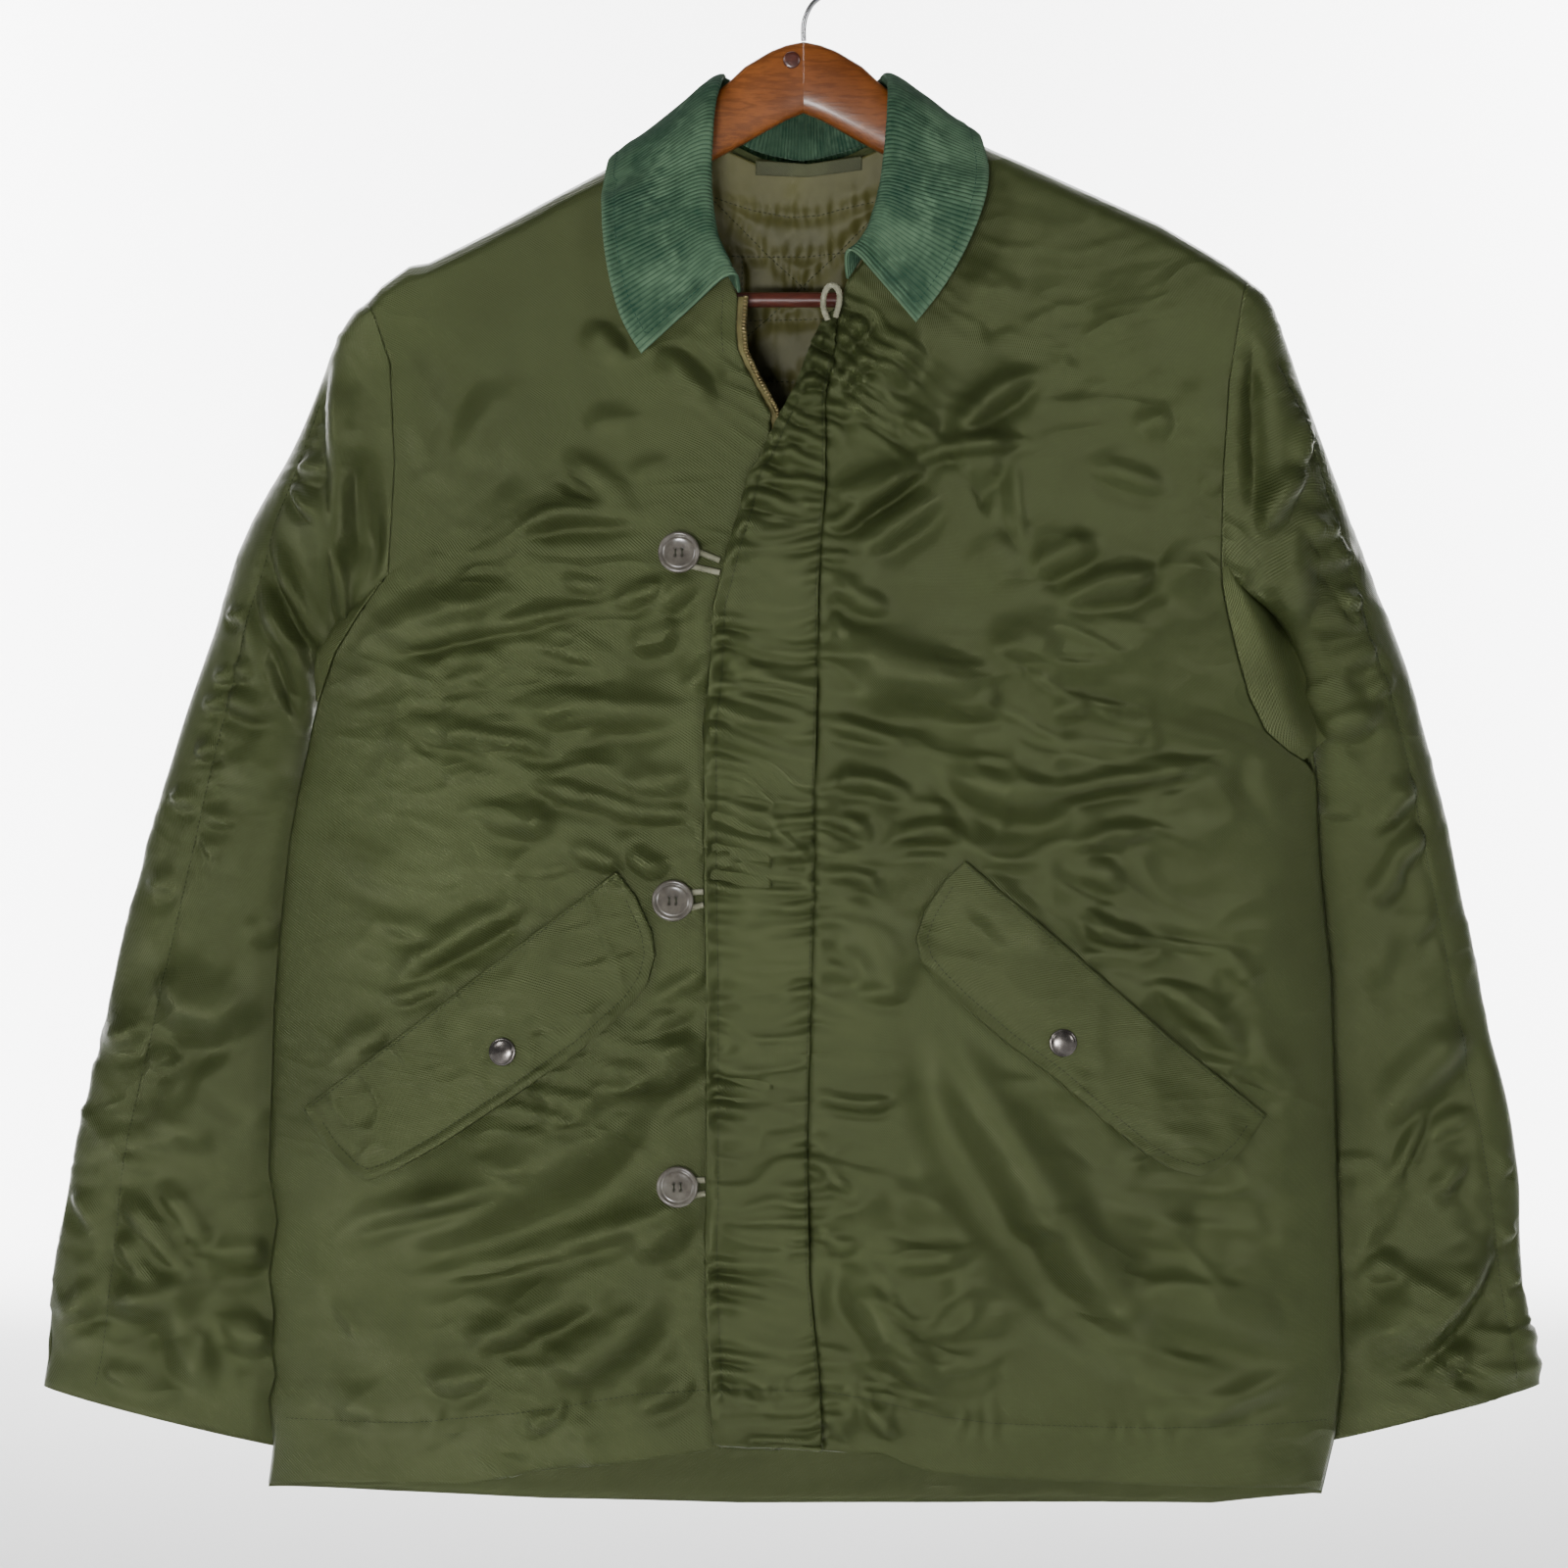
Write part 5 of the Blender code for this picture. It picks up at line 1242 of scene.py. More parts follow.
    def back_y(self, x: np.ndarray, z: np.ndarray) -> np.ndarray:
        """Return the depth of the back with its folds."""
        edge = np.clip(self.lens(x, z) * 2.4 - 0.7, 0.0, 1.0)
        total = crease_heights(x, z, CREASES_BACK) + 0.4 * self.small_creases(x + 900.0, z, 131)
        hem = z - np.interp(x, [r[0] for r in HEM_BACK], [r[1] + 36.0 for r in HEM_BACK])
        total = total + 0.8 * self.ripples(z, x, hem, 9.0, 12.0, 171) - np.exp(-(hem / 1.8) ** 2)
        return self.body_y(x, z, 2) + total * edge

    def tuck(self, x: np.ndarray, z: np.ndarray) -> np.ndarray:
        """Return how far the right front sinks under the storm flap."""
        return 3.4 * smooth((x - by_z(FLAP_FREE, z) + 6.0) / 22.0)

    def lift(self, x: np.ndarray, z: np.ndarray) -> np.ndarray:
        """Return how far the storm flap stands over the front's own depth."""
        return 3.4 * (1 - smooth((x - by_z(FLAP_FREE, z)) / 22.0))

    def right_front_y(self, x: np.ndarray, z: np.ndarray) -> np.ndarray:
        """Return the depth of the right front, which lies under the storm flap."""
        return self.front_y(x, z) + self.tuck(x, z) - 0.3


def rim_marks(flat: np.ndarray) -> np.ndarray:
    """Mark rims: 1 where a wall meets its partner along y, 2 where it meets along x."""
    mark = np.zeros(flat.shape[:2], dtype=int)
    x, z = np.abs(flat[..., 0]), flat[..., 1]
    mark[:, -1] = np.where(x[:, -1] > 59.0, 1, 0)
    mark[0, z[0] < -376.0] = 1
    mark[-1, (z[-1] < -376.0) & (x[-1] > 230.0)] = 1
    for i in (0, -1):
        mark[i, (z[i] >= -376.0) & (x[i] > 230.0) & (mark[i] == 0)] = 2
    return mark


def fine_heights(count: int) -> np.ndarray:
    """Return fractions up a panel that crowd together at the shoulder."""
    return np.concatenate([np.linspace(0.0, 0.95, count), np.linspace(0.954, 1.0, 14)])


@dataclass
class BodyPanels:
    """Both fronts, the back and the storm flap of the jacket.

    Attributes:
        form: Depth of the body.
        wall: Thickness of the shell.
        flap_wall: Thickness of the storm flap.
        across: Grid columns of a front.
        up: Grid rows of a front.
    """

    form: BodyForm
    wall: float = 1.6
    flap_wall: float = 2.0
    across: int = 112
    up: int = 274
    edges: list[np.ndarray] = field(default_factory=list)

    def right_front(self) -> bpy.types.Object:
        """Build the right front, which lies under the storm flap."""
        us = np.linspace(0.0, 1.0, self.across) ** 1.1
        left = SIDE_LEFT + UNDERARM_LEFT[1:] + ARM_LEFT[1:]
        flat = coons(left, FRONT_EDGE + NECK_RIGHT[::-1][1:], HEM_RIGHT, RIDGE_LEFT, us,
                     fine_heights(self.up))
        grid = with_depth(flat, self.form.right_front_y(flat[..., 0], flat[..., 1]))
        self.edges.append(grid[0])
        thing = shell("cloth_front_right", grid, self.wall, square=rim_marks(flat))
        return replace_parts(dress(thing, NYLON, LINING), "front_right")

    def left_front(self) -> bpy.types.Object:
        """Build the left front, whose inner edge is caught under the storm flap's seam."""
        us = np.linspace(0.0, 1.0, self.across) ** 1.1
        right = SIDE_RIGHT + UNDERARM_FRONT[1:] + ARM_RIGHT[1:]
        seam = [(x - 1.6, z) for x, z in FLAP_SEAM[:-1]] + [FLAP_SEAM[-1]]
        flat = coons(right, seam + NECK_LEFT[::-1][1:], HEM_LEFT, RIDGE_RIGHT[::-1], us,
                     fine_heights(self.up))
        x, z = flat[..., 0], flat[..., 1]
        under = 1.5 * smooth((by_z(FLAP_SEAM, z) + 0.3 - x) / 1.6) * (z < -214.0)
        grid = with_depth(flat, self.form.front_y(x, z) + under - 0.3)
        self.edges.append(grid[0])
        thing = shell("cloth_front_left", grid[::-1], self.wall, square=rim_marks(flat)[::-1])
        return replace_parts(dress(thing, NYLON, LINING), "front_left")

    def back(self) -> bpy.types.Object:
        """Build the back panel."""
        left = SIDE_LEFT + UNDERARM_LEFT[1:] + ARM_LEFT[1:]
        right = SIDE_RIGHT + UNDERARM_BACK[1:] + ARM_RIGHT[1:]
        top = RIDGE_LEFT + NECK_BACK[1:-1] + RIDGE_RIGHT
        flat = coons(left, right, HEM_BACK, top, np.linspace(0.0, 1.0, 138), fine_heights(158))
        grid = with_depth(flat, self.form.back_y(flat[..., 0], flat[..., 1]) + 0.3)
        self.edges += [grid[0], grid[-1]]
        thing = shell("cloth_back", grid[::-1], self.wall, square=rim_marks(flat)[::-1])
        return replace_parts(dress(thing, NYLON, LINING), "back")

    def flap_y(self, x: np.ndarray, z: np.ndarray) -> np.ndarray:
        """Return the depth of the storm flap."""
        free = x - by_z(FLAP_FREE, z)
        own = 1.5 * self.form.small_creases(x * 0.5 + 400.0, z * 1.35, 231)
        own = own + 1.9 * self.form.ripples(x * 0.4, z, free - 7.0, 30.0, 13.5, 241)
        own = own * smooth(free / 5.0) - 0.7 * np.exp(-((free - 7.0) / 1.6) ** 2)
        return self.form.front_y(x, z) - self.form.lift(x, z) - own - 0.3

    def storm_flap(self) -> bpy.types.Object:
        """Build the storm flap over the front closing."""
        seam = [(x - 0.7, z) for x, z in FLAP_SEAM[:-2]] + [(19.6, -222)]
        low = [FLAP_FREE[0], (-20, -875.5), seam[0]]
        flat = coons(FLAP_FREE, seam, low, [FLAP_FREE[-1], seam[-1]],
                     np.linspace(0.0, 1.0, 42), np.linspace(0.0, 1.0, 420))
        grid = with_depth(flat, self.flap_y(flat[..., 0], flat[..., 1]))
        thing = shell("cloth_storm_flap", grid, self.flap_wall)
        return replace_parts(dress(thing, NYLON), "storm_flap")


@dataclass
class Sleeve:
    """One sleeve: a tube from its armhole to a plain cuff.

    Attributes:
        side: 0 for the wearer's right, 1 for the left.
        table: Sections from the shoulder to the cuff.
        low: Height of the armhole's lowest point.
        round_count: Points round the tube.
        long_count: Rings along the tube.
        wall: Thickness of the shell.
    """

    side: int
    table: Points
    low: float
    round_count: int = 132
    long_count: int = 186
    wall: float = 1.6

    def armhole(self, front: np.ndarray, behind: np.ndarray) -> np.ndarray:
        """Return the ring of the armhole: down the front's edge and up the back's.

        Args:
            front: Edge points of the front panel, running up.
            behind: Edge points of the back panel, running up.

        Returns:
            Ring of points.
        """
        sign = 1.0 if self.side else -1.0
        half = self.round_count // 2
        down, up = front[front[:, 2] > self.low][::-1], behind[behind[:, 2] > self.low]
        ring = np.vstack([along(down, np.linspace(0.0, 1.0, half)),
                          along(up, np.linspace(0.0, 1.0, half + 2))[1:-1]])
        under = np.exp(-((np.arange(2 * half) - half) / 3.0) ** 2)
        ring[:, 2] -= under
        ring[:, 0] += sign * 0.3
        return ring

    def tube(self, front: np.ndarray, behind: np.ndarray) -> np.ndarray:
        """Return the tube's grid of middle points, round and then down."""
        start = self.armhole(front, behind)
        count = len(start)
        angle = 2 * np.pi * np.arange(count) / count
        rings = [start]
        for i, (ox, oz, ix, iz, cy, depth) in enumerate(self.table):
            mid = np.array([(ox + ix) / 2, (oz + iz) / 2])
            half = np.array([(ox - ix) / 2, (oz - iz) / 2])
            xz = mid + np.cos(angle)[:, None] * half
            y = cy - depth * np.sign(np.sin(angle)) * np.abs(np.sin(angle)) ** 1.1
            ring = np.stack([xz[:, 0], y, xz[:, 1]], axis=1)
            hold = math.exp(-((i + 1) / 1.6) ** 2)
            centre = (start.max(axis=0) + start.min(axis=0)) / 2
            shift = np.array([mid[0] - centre[0], 0.0, mid[1] - centre[2]])
            rings.append((1 - hold) * ring + hold * (start + shift))
        path = np.array(rings)
        fine = curve_points(path.reshape(len(rings), -1), self.long_count)
        return np.transpose(fine.reshape(self.long_count, count, 3), (1, 0, 2))

    def build(self, front: np.ndarray, behind: np.ndarray, form: BodyForm) -> bpy.types.Object:
        """Build the sleeve with its folds.

        Args:
            front: Edge points of the front panel.
            behind: Edge points of the back panel.
            form: Source of the small creases.

        Returns:
            The sleeve.
        """
        grid = self.tube(front, behind)
        if self.side == 0:
            grid = grid[::-1]
        normal = grid_normals(grid, True)
        x, z = grid[..., 0], grid[..., 2]
        facing = smooth(-normal[..., 1] * 1.6)
        away = smooth(normal[..., 1] * 1.6)
        rows = (SLEEVE_CREASES_RIGHT, SLEEVE_CREASES_LEFT)[self.side]
        height = form.fold_gain * (crease_heights(x, z, rows) * facing
                                   + crease_heights(x + 12, z + 20, rows) * away)
        height = height + self.seam_relief(x, z, form) * facing
        height = height + 1.1 * form.small_creases(x * 1.2 + z * 0.3, z + 300.0,
                                                   331 + 50 * self.side)
        fade = smooth(np.linspace(0.0, 1.0, self.long_count) / 0.05)[None]
        fade = fade * (0.35 + 0.65 * smooth(np.linspace(1.0, 0.0, self.long_count) / 0.03))[None]
        grid = grid + normal * (height * fade * (1 - 0.75 * away))[..., None]
        mark = np.zeros(grid.shape[:2], dtype=int)
        mark[:, 0] = 2
        thing = shell("cloth_sleeve_" + SIDE_NAMES[self.side], grid, self.wall, True, mark)
        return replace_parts(dress(thing, NYLON, LINING), "sleeve_" + SIDE_NAMES[self.side])

    def seam_relief(self, x: np.ndarray, z: np.ndarray, form: BodyForm) -> np.ndarray:
        """Return the groove and the ripples along the sleeve's seam."""
        line = (SLEEVE_SEAM_RIGHT, SLEEVE_SEAM_LEFT)[self.side]
        off = x - by_z(line, z)
        inside = (z < line[0][1] + 3.0)
        return inside * (0.5 * form.ripples(x, z, off, 8.0, 9.0, 441)
                         - 1.0 * np.exp(-(off / 1.8) ** 2))


@dataclass
class Collar:
    """Corduroy collar: stand, roll and fall in one folded sheet.

    Attributes:
        form: Depth of the body that the collar lies on.
        wall: Thickness of the cloth.
        wale: Distance between the corduroy's wales.
        wale_height: Height of a wale.
        stitch_in: Distance of the edge stitches from the free edge.
        long_count: Grid columns along the collar.
        cross_count: Grid points from the seam to the free edge.
        fall_from: Grid point at which the fall starts.
        run_at: Grid point at which the collar's length is measured.
    """

    form: BodyForm
    wall: float = 1.6
    wale: float = 2.4
    wale_height: float = 0.42
    stitch_in: float = 7.5
    long_count: int = 760
    cross_count: int = 42
    fall_from: int = 24
    run_at: int = 28

    def rough_grid(self) -> np.ndarray:
        """Return the collar's coarse grid, kept clear of the body and the hanger."""
        form, rows = self.form, []
        for i, (sx, sz, rx, ry, rz, ex, ey, ez) in enumerate(COLLAR):
            sy = float(form.body_y(sx, sz, 1)) - 2.2
            if 6 < i < 12:
                sy = float(form.body_y(sx, sz - 2.0, 2)) + 0.3
            if i in (6, 12):
                sy = float(form.ridge_y(sx))
            seam, roll, edge = np.array([(sx, sy, sz), (rx, ry, rz), (ex, ey, ez)], dtype=float)
            out = edge - roll
            out[2] = 0.0
            out /= np.linalg.norm(out)
            over = roll + 0.07 * (edge - roll) + out * 3.0 + np.array([0, 0, 1.2])
            rows.append([seam, 0.5 * (seam + roll) - out * 1.0, roll - out * 0.5, over,
                         roll + 0.36 * (edge - roll) + out * 3.0,
                         roll + 0.7 * (edge - roll) + out * 1.5, edge])
        around = curve_points(np.array(rows).reshape(len(rows), -1), 33).reshape(33, 7, 3)
        across = curve_points(np.transpose(around, (1, 0, 2)).reshape(7, -1), 12)
        grid = np.transpose(across.reshape(12, 33, 3), (1, 0, 2))
        necks = np.array(NECK_BACK, dtype=float)
        for i in range(33):
            for k in range(12):
                x, y, z = grid[i, k]
                aside = y - float(form.ridge_y(x))
                if k < 3 and 11 <= i <= 21 and aside > 3.0:
                    grid[i, k, 2] = max(z, np.interp(x, necks[:, 0], necks[:, 1]) + 3.0)
                if k < 4 and abs(aside) < 9.8 and 30.0 < abs(x) and z < form.arm_top(x) + 2.4:
                    if abs(aside) < 7.0:
                        grid[i, k, 2] = form.arm_top(x) + 2.6
                    else:
                        grid[i, k, 1] += math.copysign(11.5, aside) - aside
                if k >= 4 and abs(aside) < 9.8 and abs(x) < 70.0:
                    grid[i, k, 2] = z = max(z, float(form.arm_top(x)) + 6.0)
                if k < 5 or z - 4.2 > form.ridge_z(x):
                    continue
                if abs(y - form.ridge_y(x)) < 7.0:
                    grid[i, k, 2] = max(z, form.ridge_z(x) + 4.2)
                elif y < form.ridge_y(x):
                    grid[i, k, 1] = min(y, float(form.body_y(x, z - 3.0, 1)) - 4.6)
                else:
                    grid[i, k, 1] = max(y, float(form.body_y(x, z - 3.0, 2)) + 4.6)
        return grid

    def build(self) -> bpy.types.Object:
        """Build the collar with its wales."""
        rough = self.rough_grid()
        long_count, cross_count = self.long_count, self.cross_count
        around = curve_points(rough.reshape(33, -1), long_count).reshape(long_count, 12, 3)
        across = curve_points(np.transpose(around, (1, 0, 2)).reshape(12, -1), cross_count)
        grid = np.transpose(across.reshape(cross_count, long_count, 3), (1, 0, 2))
        step = np.linalg.norm(np.diff(grid, axis=0), axis=2)
        lengths = np.vstack([np.zeros(cross_count), np.cumsum(step, axis=0)])
        run = lengths[:, self.run_at][:, None] * np.ones(cross_count)
        heights = np.linalg.norm(np.diff(grid, axis=1), axis=2)
        up = np.hstack([np.zeros((long_count, 1)), np.cumsum(heights, axis=1)])
        off_edge = up[:, -1:] - up
        off_end = np.minimum(lengths, lengths[-1:] - lengths)
        rim = np.minimum(off_edge, off_end)
        worn = lattice_noise(run, up, 7.0, 511) * 0.5 + lattice_noise(run, up, 2.2, 512) * 0.5
        wales = np.abs(np.cos(np.pi * (run + 0.5 * worn) / self.wale))
        keep = 0.75 + 0.25 * worn
        groove = np.exp(-((rim - self.stitch_in) / 1.3) ** 2)
        soft = 1.4 * lattice_noise(run, up, 34.0, 513) + 0.9 * lattice_noise(run * 1.3, up * 0.6,
                                                                             15.0, 514)
        soft = soft * smooth(off_edge / 12.0) * smooth(up / 18.0)
        rise = self.wale_height * (1 - wales) * keep * smooth(rim / 1.5) - 0.55 * groove
        grid = grid + grid_normals(grid) * soft[..., None]
        thing = shell("cloth_collar", grid, self.wall, rise=rise + 0.4 * smooth(1 - rim / 5.0))
        fade = np.exp(-(rim / 2.2) ** 2) * 0.9 + 0.35 * smooth(worn * 1.6) + 0.3 * wales ** 6
        fade = fade + 0.45 * np.exp(-((up - 44.0) / 10.0) ** 2) * smooth(0.4 + worn)
        layer = thing.data.attributes.new("worn", "FLOAT", "POINT")
        layer.data.foreach_set("value", np.tile(np.clip(fade, 0.0, 1.0).ravel(), 2))
        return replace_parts(dress(thing, CORD_CLOTH, CORD_CLOTH), "collar")

    def stitch_line(self, thing: bpy.types.Object) -> np.ndarray:
        """Return the path of the edge stitches on the collar's fall."""
        size = (self.long_count, self.cross_count)
        flat = np.zeros(len(thing.data.vertices) * 3)
        thing.data.vertices.foreach_get("co", flat)
        outer = flat.reshape(-1, 3)[:size[0] * size[1]].reshape(*size, 3) / MM
        inset = 13
        steps = np.linalg.norm(np.diff(outer, axis=1), axis=2)
        up = np.hstack([np.zeros((size[0], 1)), np.cumsum(steps, axis=1)])
        edge = [np.argmin(np.abs(row[-1] - row - self.stitch_in)) for row in up]
        first = [outer[inset, k] for k in range(self.fall_from, edge[inset])]
        last = [outer[-1 - inset, k]
                for k in range(edge[-1 - inset] - 1, self.fall_from - 1, -1)]
        body = [outer[i, edge[i]] for i in range(inset, size[0] - inset, 4)]
        return np.array(first + body + last)


@dataclass
class PocketFlap:
    """One slanted pocket flap with the paths of its edge and seam stitching.

    Attributes:
        form: Depth of the body that the flap lies on.
        side: 0 for the wearer's right, 1 for the left.
        runs: Seam, outer end, free edge and inner end.
        wall: Thickness of the doubled cloth.
        gap: Gap to the front.
        stitch_in: Distance of the stitches from the edge.
    """

    form: BodyForm
    side: int
    runs: Points
    wall: float = 2.4
    gap: float = 0.45
    stitch_in: float = 6.0

    def outline(self) -> np.ndarray:
        """Return the free outline from one seam corner round to the other."""
        _, left, low, right = self.runs
        return np.vstack([along(left, np.linspace(0, 1, 14)), along(low, np.linspace(0, 1, 70))[1:],
                          along(right[::-1], np.linspace(0, 1, 20))[1:]])

    def build(self) -> bpy.types.Object:
        """Build the flap, laid on its front."""
        seam, left, low, right = self.runs
        us, vs = np.linspace(0.0, 1.0, 120), np.linspace(0.0, 1.0, 50)
        flat = coons(left[::-1], right[::-1], low, seam, us, vs)
        base = (self.form.right_front_y, self.form.front_y)[self.side]
        y = np.full(flat.shape[:2], 1e9)
        for dx in (-8.0, 0.0, 8.0):
            for dz in (-8.0, 0.0, 8.0):
                y = np.minimum(y, base(flat[..., 0] + dx, flat[..., 1] + dz))
        for _ in range(12):
            wide = np.pad(y, 1, mode="edge")
            y = (wide[:-2, 1:-1] + wide[2:, 1:-1] + wide[1:-1, :-2] + wide[1:-1, 2:] + 4 * y) / 8
        y = y - 0.8 - self.gap - self.wall / 2 - (0.0, 0.3)[self.side]
        rim = self.outline()
        off = np.full(flat.shape[:2], 1e9)
        for point in rim:
            off = np.minimum(off, np.hypot(flat[..., 0] - point[0], flat[..., 1] - point[1]))
        x, z = flat[..., 0], flat[..., 1]
        rise = 0.6 * np.exp(-((off - 3.0) / 2.0) ** 2) - 0.6 * np.exp(
            -((off - self.stitch_in) / 1.4) ** 2)
        inner = smooth((off - 7.0) / 8.0)
        blot = np.clip(1 - 2.2 * np.abs(lattice_noise(x + z * 0.4, z - x * 0.3, 24.0,
                                                      611 + 20 * self.side)), 0.0, 1.0) ** 2
        rise = rise + inner * (2.0 * blot + 1.3 * lattice_noise(x, z, 15.0, 613 + self.side))
        grid = with_depth(flat, y)
        thing = shell("cloth_pocket_flap_" + SIDE_NAMES[self.side], grid, self.wall, rise=rise)
        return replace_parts(dress(thing, NYLON), "pocket_flap_" + SIDE_NAMES[self.side])

    def stitch_lines(self) -> list[np.ndarray]:
        """Return the flat paths of the edge stitches and the seam stitches."""
        seam, _, low, _ = self.runs
        rim = self.outline()
        middle = np.array([np.mean([p[0] for p in seam + low]),
                           np.mean([p[1] for p in seam + low])])
        step = np.gradient(rim, axis=0)
        step /= np.linalg.norm(step, axis=1, keepdims=True)
        turn = np.stack([-step[:, 1], step[:, 0]], axis=1)
        turn *= np.sign(np.sum(turn * (middle - rim), axis=1))[:, None]
        top = along(seam, np.linspace(0.01, 0.99, 60)) + np.array([0.0, -2.4])
        return [rim[4:-4] + turn[4:-4] * self.stitch_in, top]


# Small parts


class Repeat(Enum):
    """What is set along a path."""

    STITCH = "GeometryNodeMeshIcoSphere"
    TOOTH = "GeometryNodeMeshCube"


@dataclass
class PathRow:
    """Pieces repeated along paths by a Geometry Nodes tree.

    Attributes:
        name: Object name.
        kind: What is repeated.
        pitch: Distance between pieces in millimetres.
        size: Length, width and height of a piece in millimetres.
        finish: Finish of the pieces.
        label: Material name.
        paths: Paths that the pieces follow.
    """

    name: str
    kind: Repeat
    pitch: float
    size: tuple[float, float, float]
    finish: Finish
    label: str
    paths: list[np.ndarray] = field(default_factory=list)

    def tree(self) -> tuple[bpy.types.NodeTree, dict[str, str]]:
        """Build the tree and return it with its socket identifiers by name."""
        tree = bpy.data.node_groups.new(self.name + " rows", "GeometryNodeTree")
        tree.interface.new_socket("Geometry", in_out="INPUT", socket_type="NodeSocketGeometry")
        names = {}
        for label, kind in (("Pitch", "NodeSocketFloat"), ("Size", "NodeSocketVector"),
                            ("Material", "NodeSocketMaterial")):
            made = tree.interface.new_socket(label, in_out="INPUT", socket_type=kind)
            names[label] = made.identifier
        tree.interface.new_socket("Geometry", in_out="OUTPUT", socket_type="NodeSocketGeometry")
        g = Graph(tree)
        into, out = g.node("NodeGroupInput"), g.node("NodeGroupOutput")
        curve = g.node("GeometryNodeMeshToCurve")
        g.join(into.outputs["Geometry"], curve.inputs["Mesh"])
        spaced = g.node("GeometryNodeResampleCurve", mode="LENGTH")
        g.join(curve.outputs[0], spaced.inputs["Curve"])
        g.join(into.outputs["Pitch"], spaced.inputs["Length"])
        shape = g.node(self.kind.value)
        if self.kind is Repeat.STITCH:
            shape.inputs["Radius"].default_value = 0.5
            shape.inputs["Subdivisions"].default_value = 1
        turn = g.node("FunctionNodeAlignRotationToVector", axis="X")
        g.join(g.node("GeometryNodeInputTangent").outputs[0], turn.inputs["Vector"])
        placed = g.node("GeometryNodeInstanceOnPoints")
        g.join(spaced.outputs[0], placed.inputs["Points"])
        g.join(shape.outputs["Mesh"], placed.inputs["Instance"])
        g.join(turn.outputs[0], placed.inputs["Rotation"])
        g.join(into.outputs["Size"], placed.inputs["Scale"])
        real = g.node("GeometryNodeRealizeInstances")
        g.join(placed.outputs[0], real.inputs[0])
        paint = g.node("GeometryNodeSetMaterial")
        g.join(real.outputs[0], paint.inputs["Geometry"])
        g.join(into.outputs["Material"], paint.inputs["Material"])
        g.join(paint.outputs[0], out.inputs["Geometry"])
        return tree, names

    def build(self) -> bpy.types.Object:
        """Build one mesh of all pieces along all paths."""
        verts, lines, start = [], [], 0
        for path in self.paths:
            verts.append(path)
            lines += [(start + i, start + i + 1) for i in range(len(path) - 1)]
            start += len(path)
        mesh = bpy.data.meshes.new(self.name)
        mesh.from_pydata((np.vstack(verts) * MM).tolist(), lines, [])
        thing = bpy.data.objects.new(self.name, mesh)
        bpy.context.scene.collection.objects.link(thing)
        tree, names = self.tree()
        rows = thing.modifiers.new("rows", "NODES")
        rows.node_group = tree
        rows[names["Pitch"]] = self.pitch * MM
        rows[names["Size"]] = [v * MM for v in self.size]
        rows[names["Material"]] = self.finish.material(self.label)
        return made_plain(thing)


def made_plain(thing: bpy.types.Object) -> bpy.types.Object:
    """Turn an object's evaluated modifiers into its plain mesh.

    Args:
        thing: Object with modifiers.

    Returns:
        The same object with a plain mesh.
    """
    bpy.context.view_layer.update()
    graph = bpy.context.evaluated_depsgraph_get()
    mesh = bpy.data.meshes.new_from_object(thing.evaluated_get(graph))
    thing.modifiers.clear()
    thing.data = mesh
    mesh.polygons.foreach_set("use_smooth", [True] * len(mesh.polygons))
    return thing


def laid_path(surface: BVHTree, flat: Points, step: float = 1.4, off: float = 0.12) -> np.ndarray:
    """Lay a flat path on a surface seen from the front.

    Args:
        surface: Tree of the surface.
        flat: x and z of the path.
        step: Distance between points.
        off: Height over the surface.

    Returns:
        Points of the laid path.
    """
    count = max(3, int(length_of(flat) / step))
    points = []
    for x, z in along(flat, np.linspace(0.0, 1.0, count)):
        place, normal = hit(surface, x, z)
        points.append(place + normal * off)
    return np.array(points)


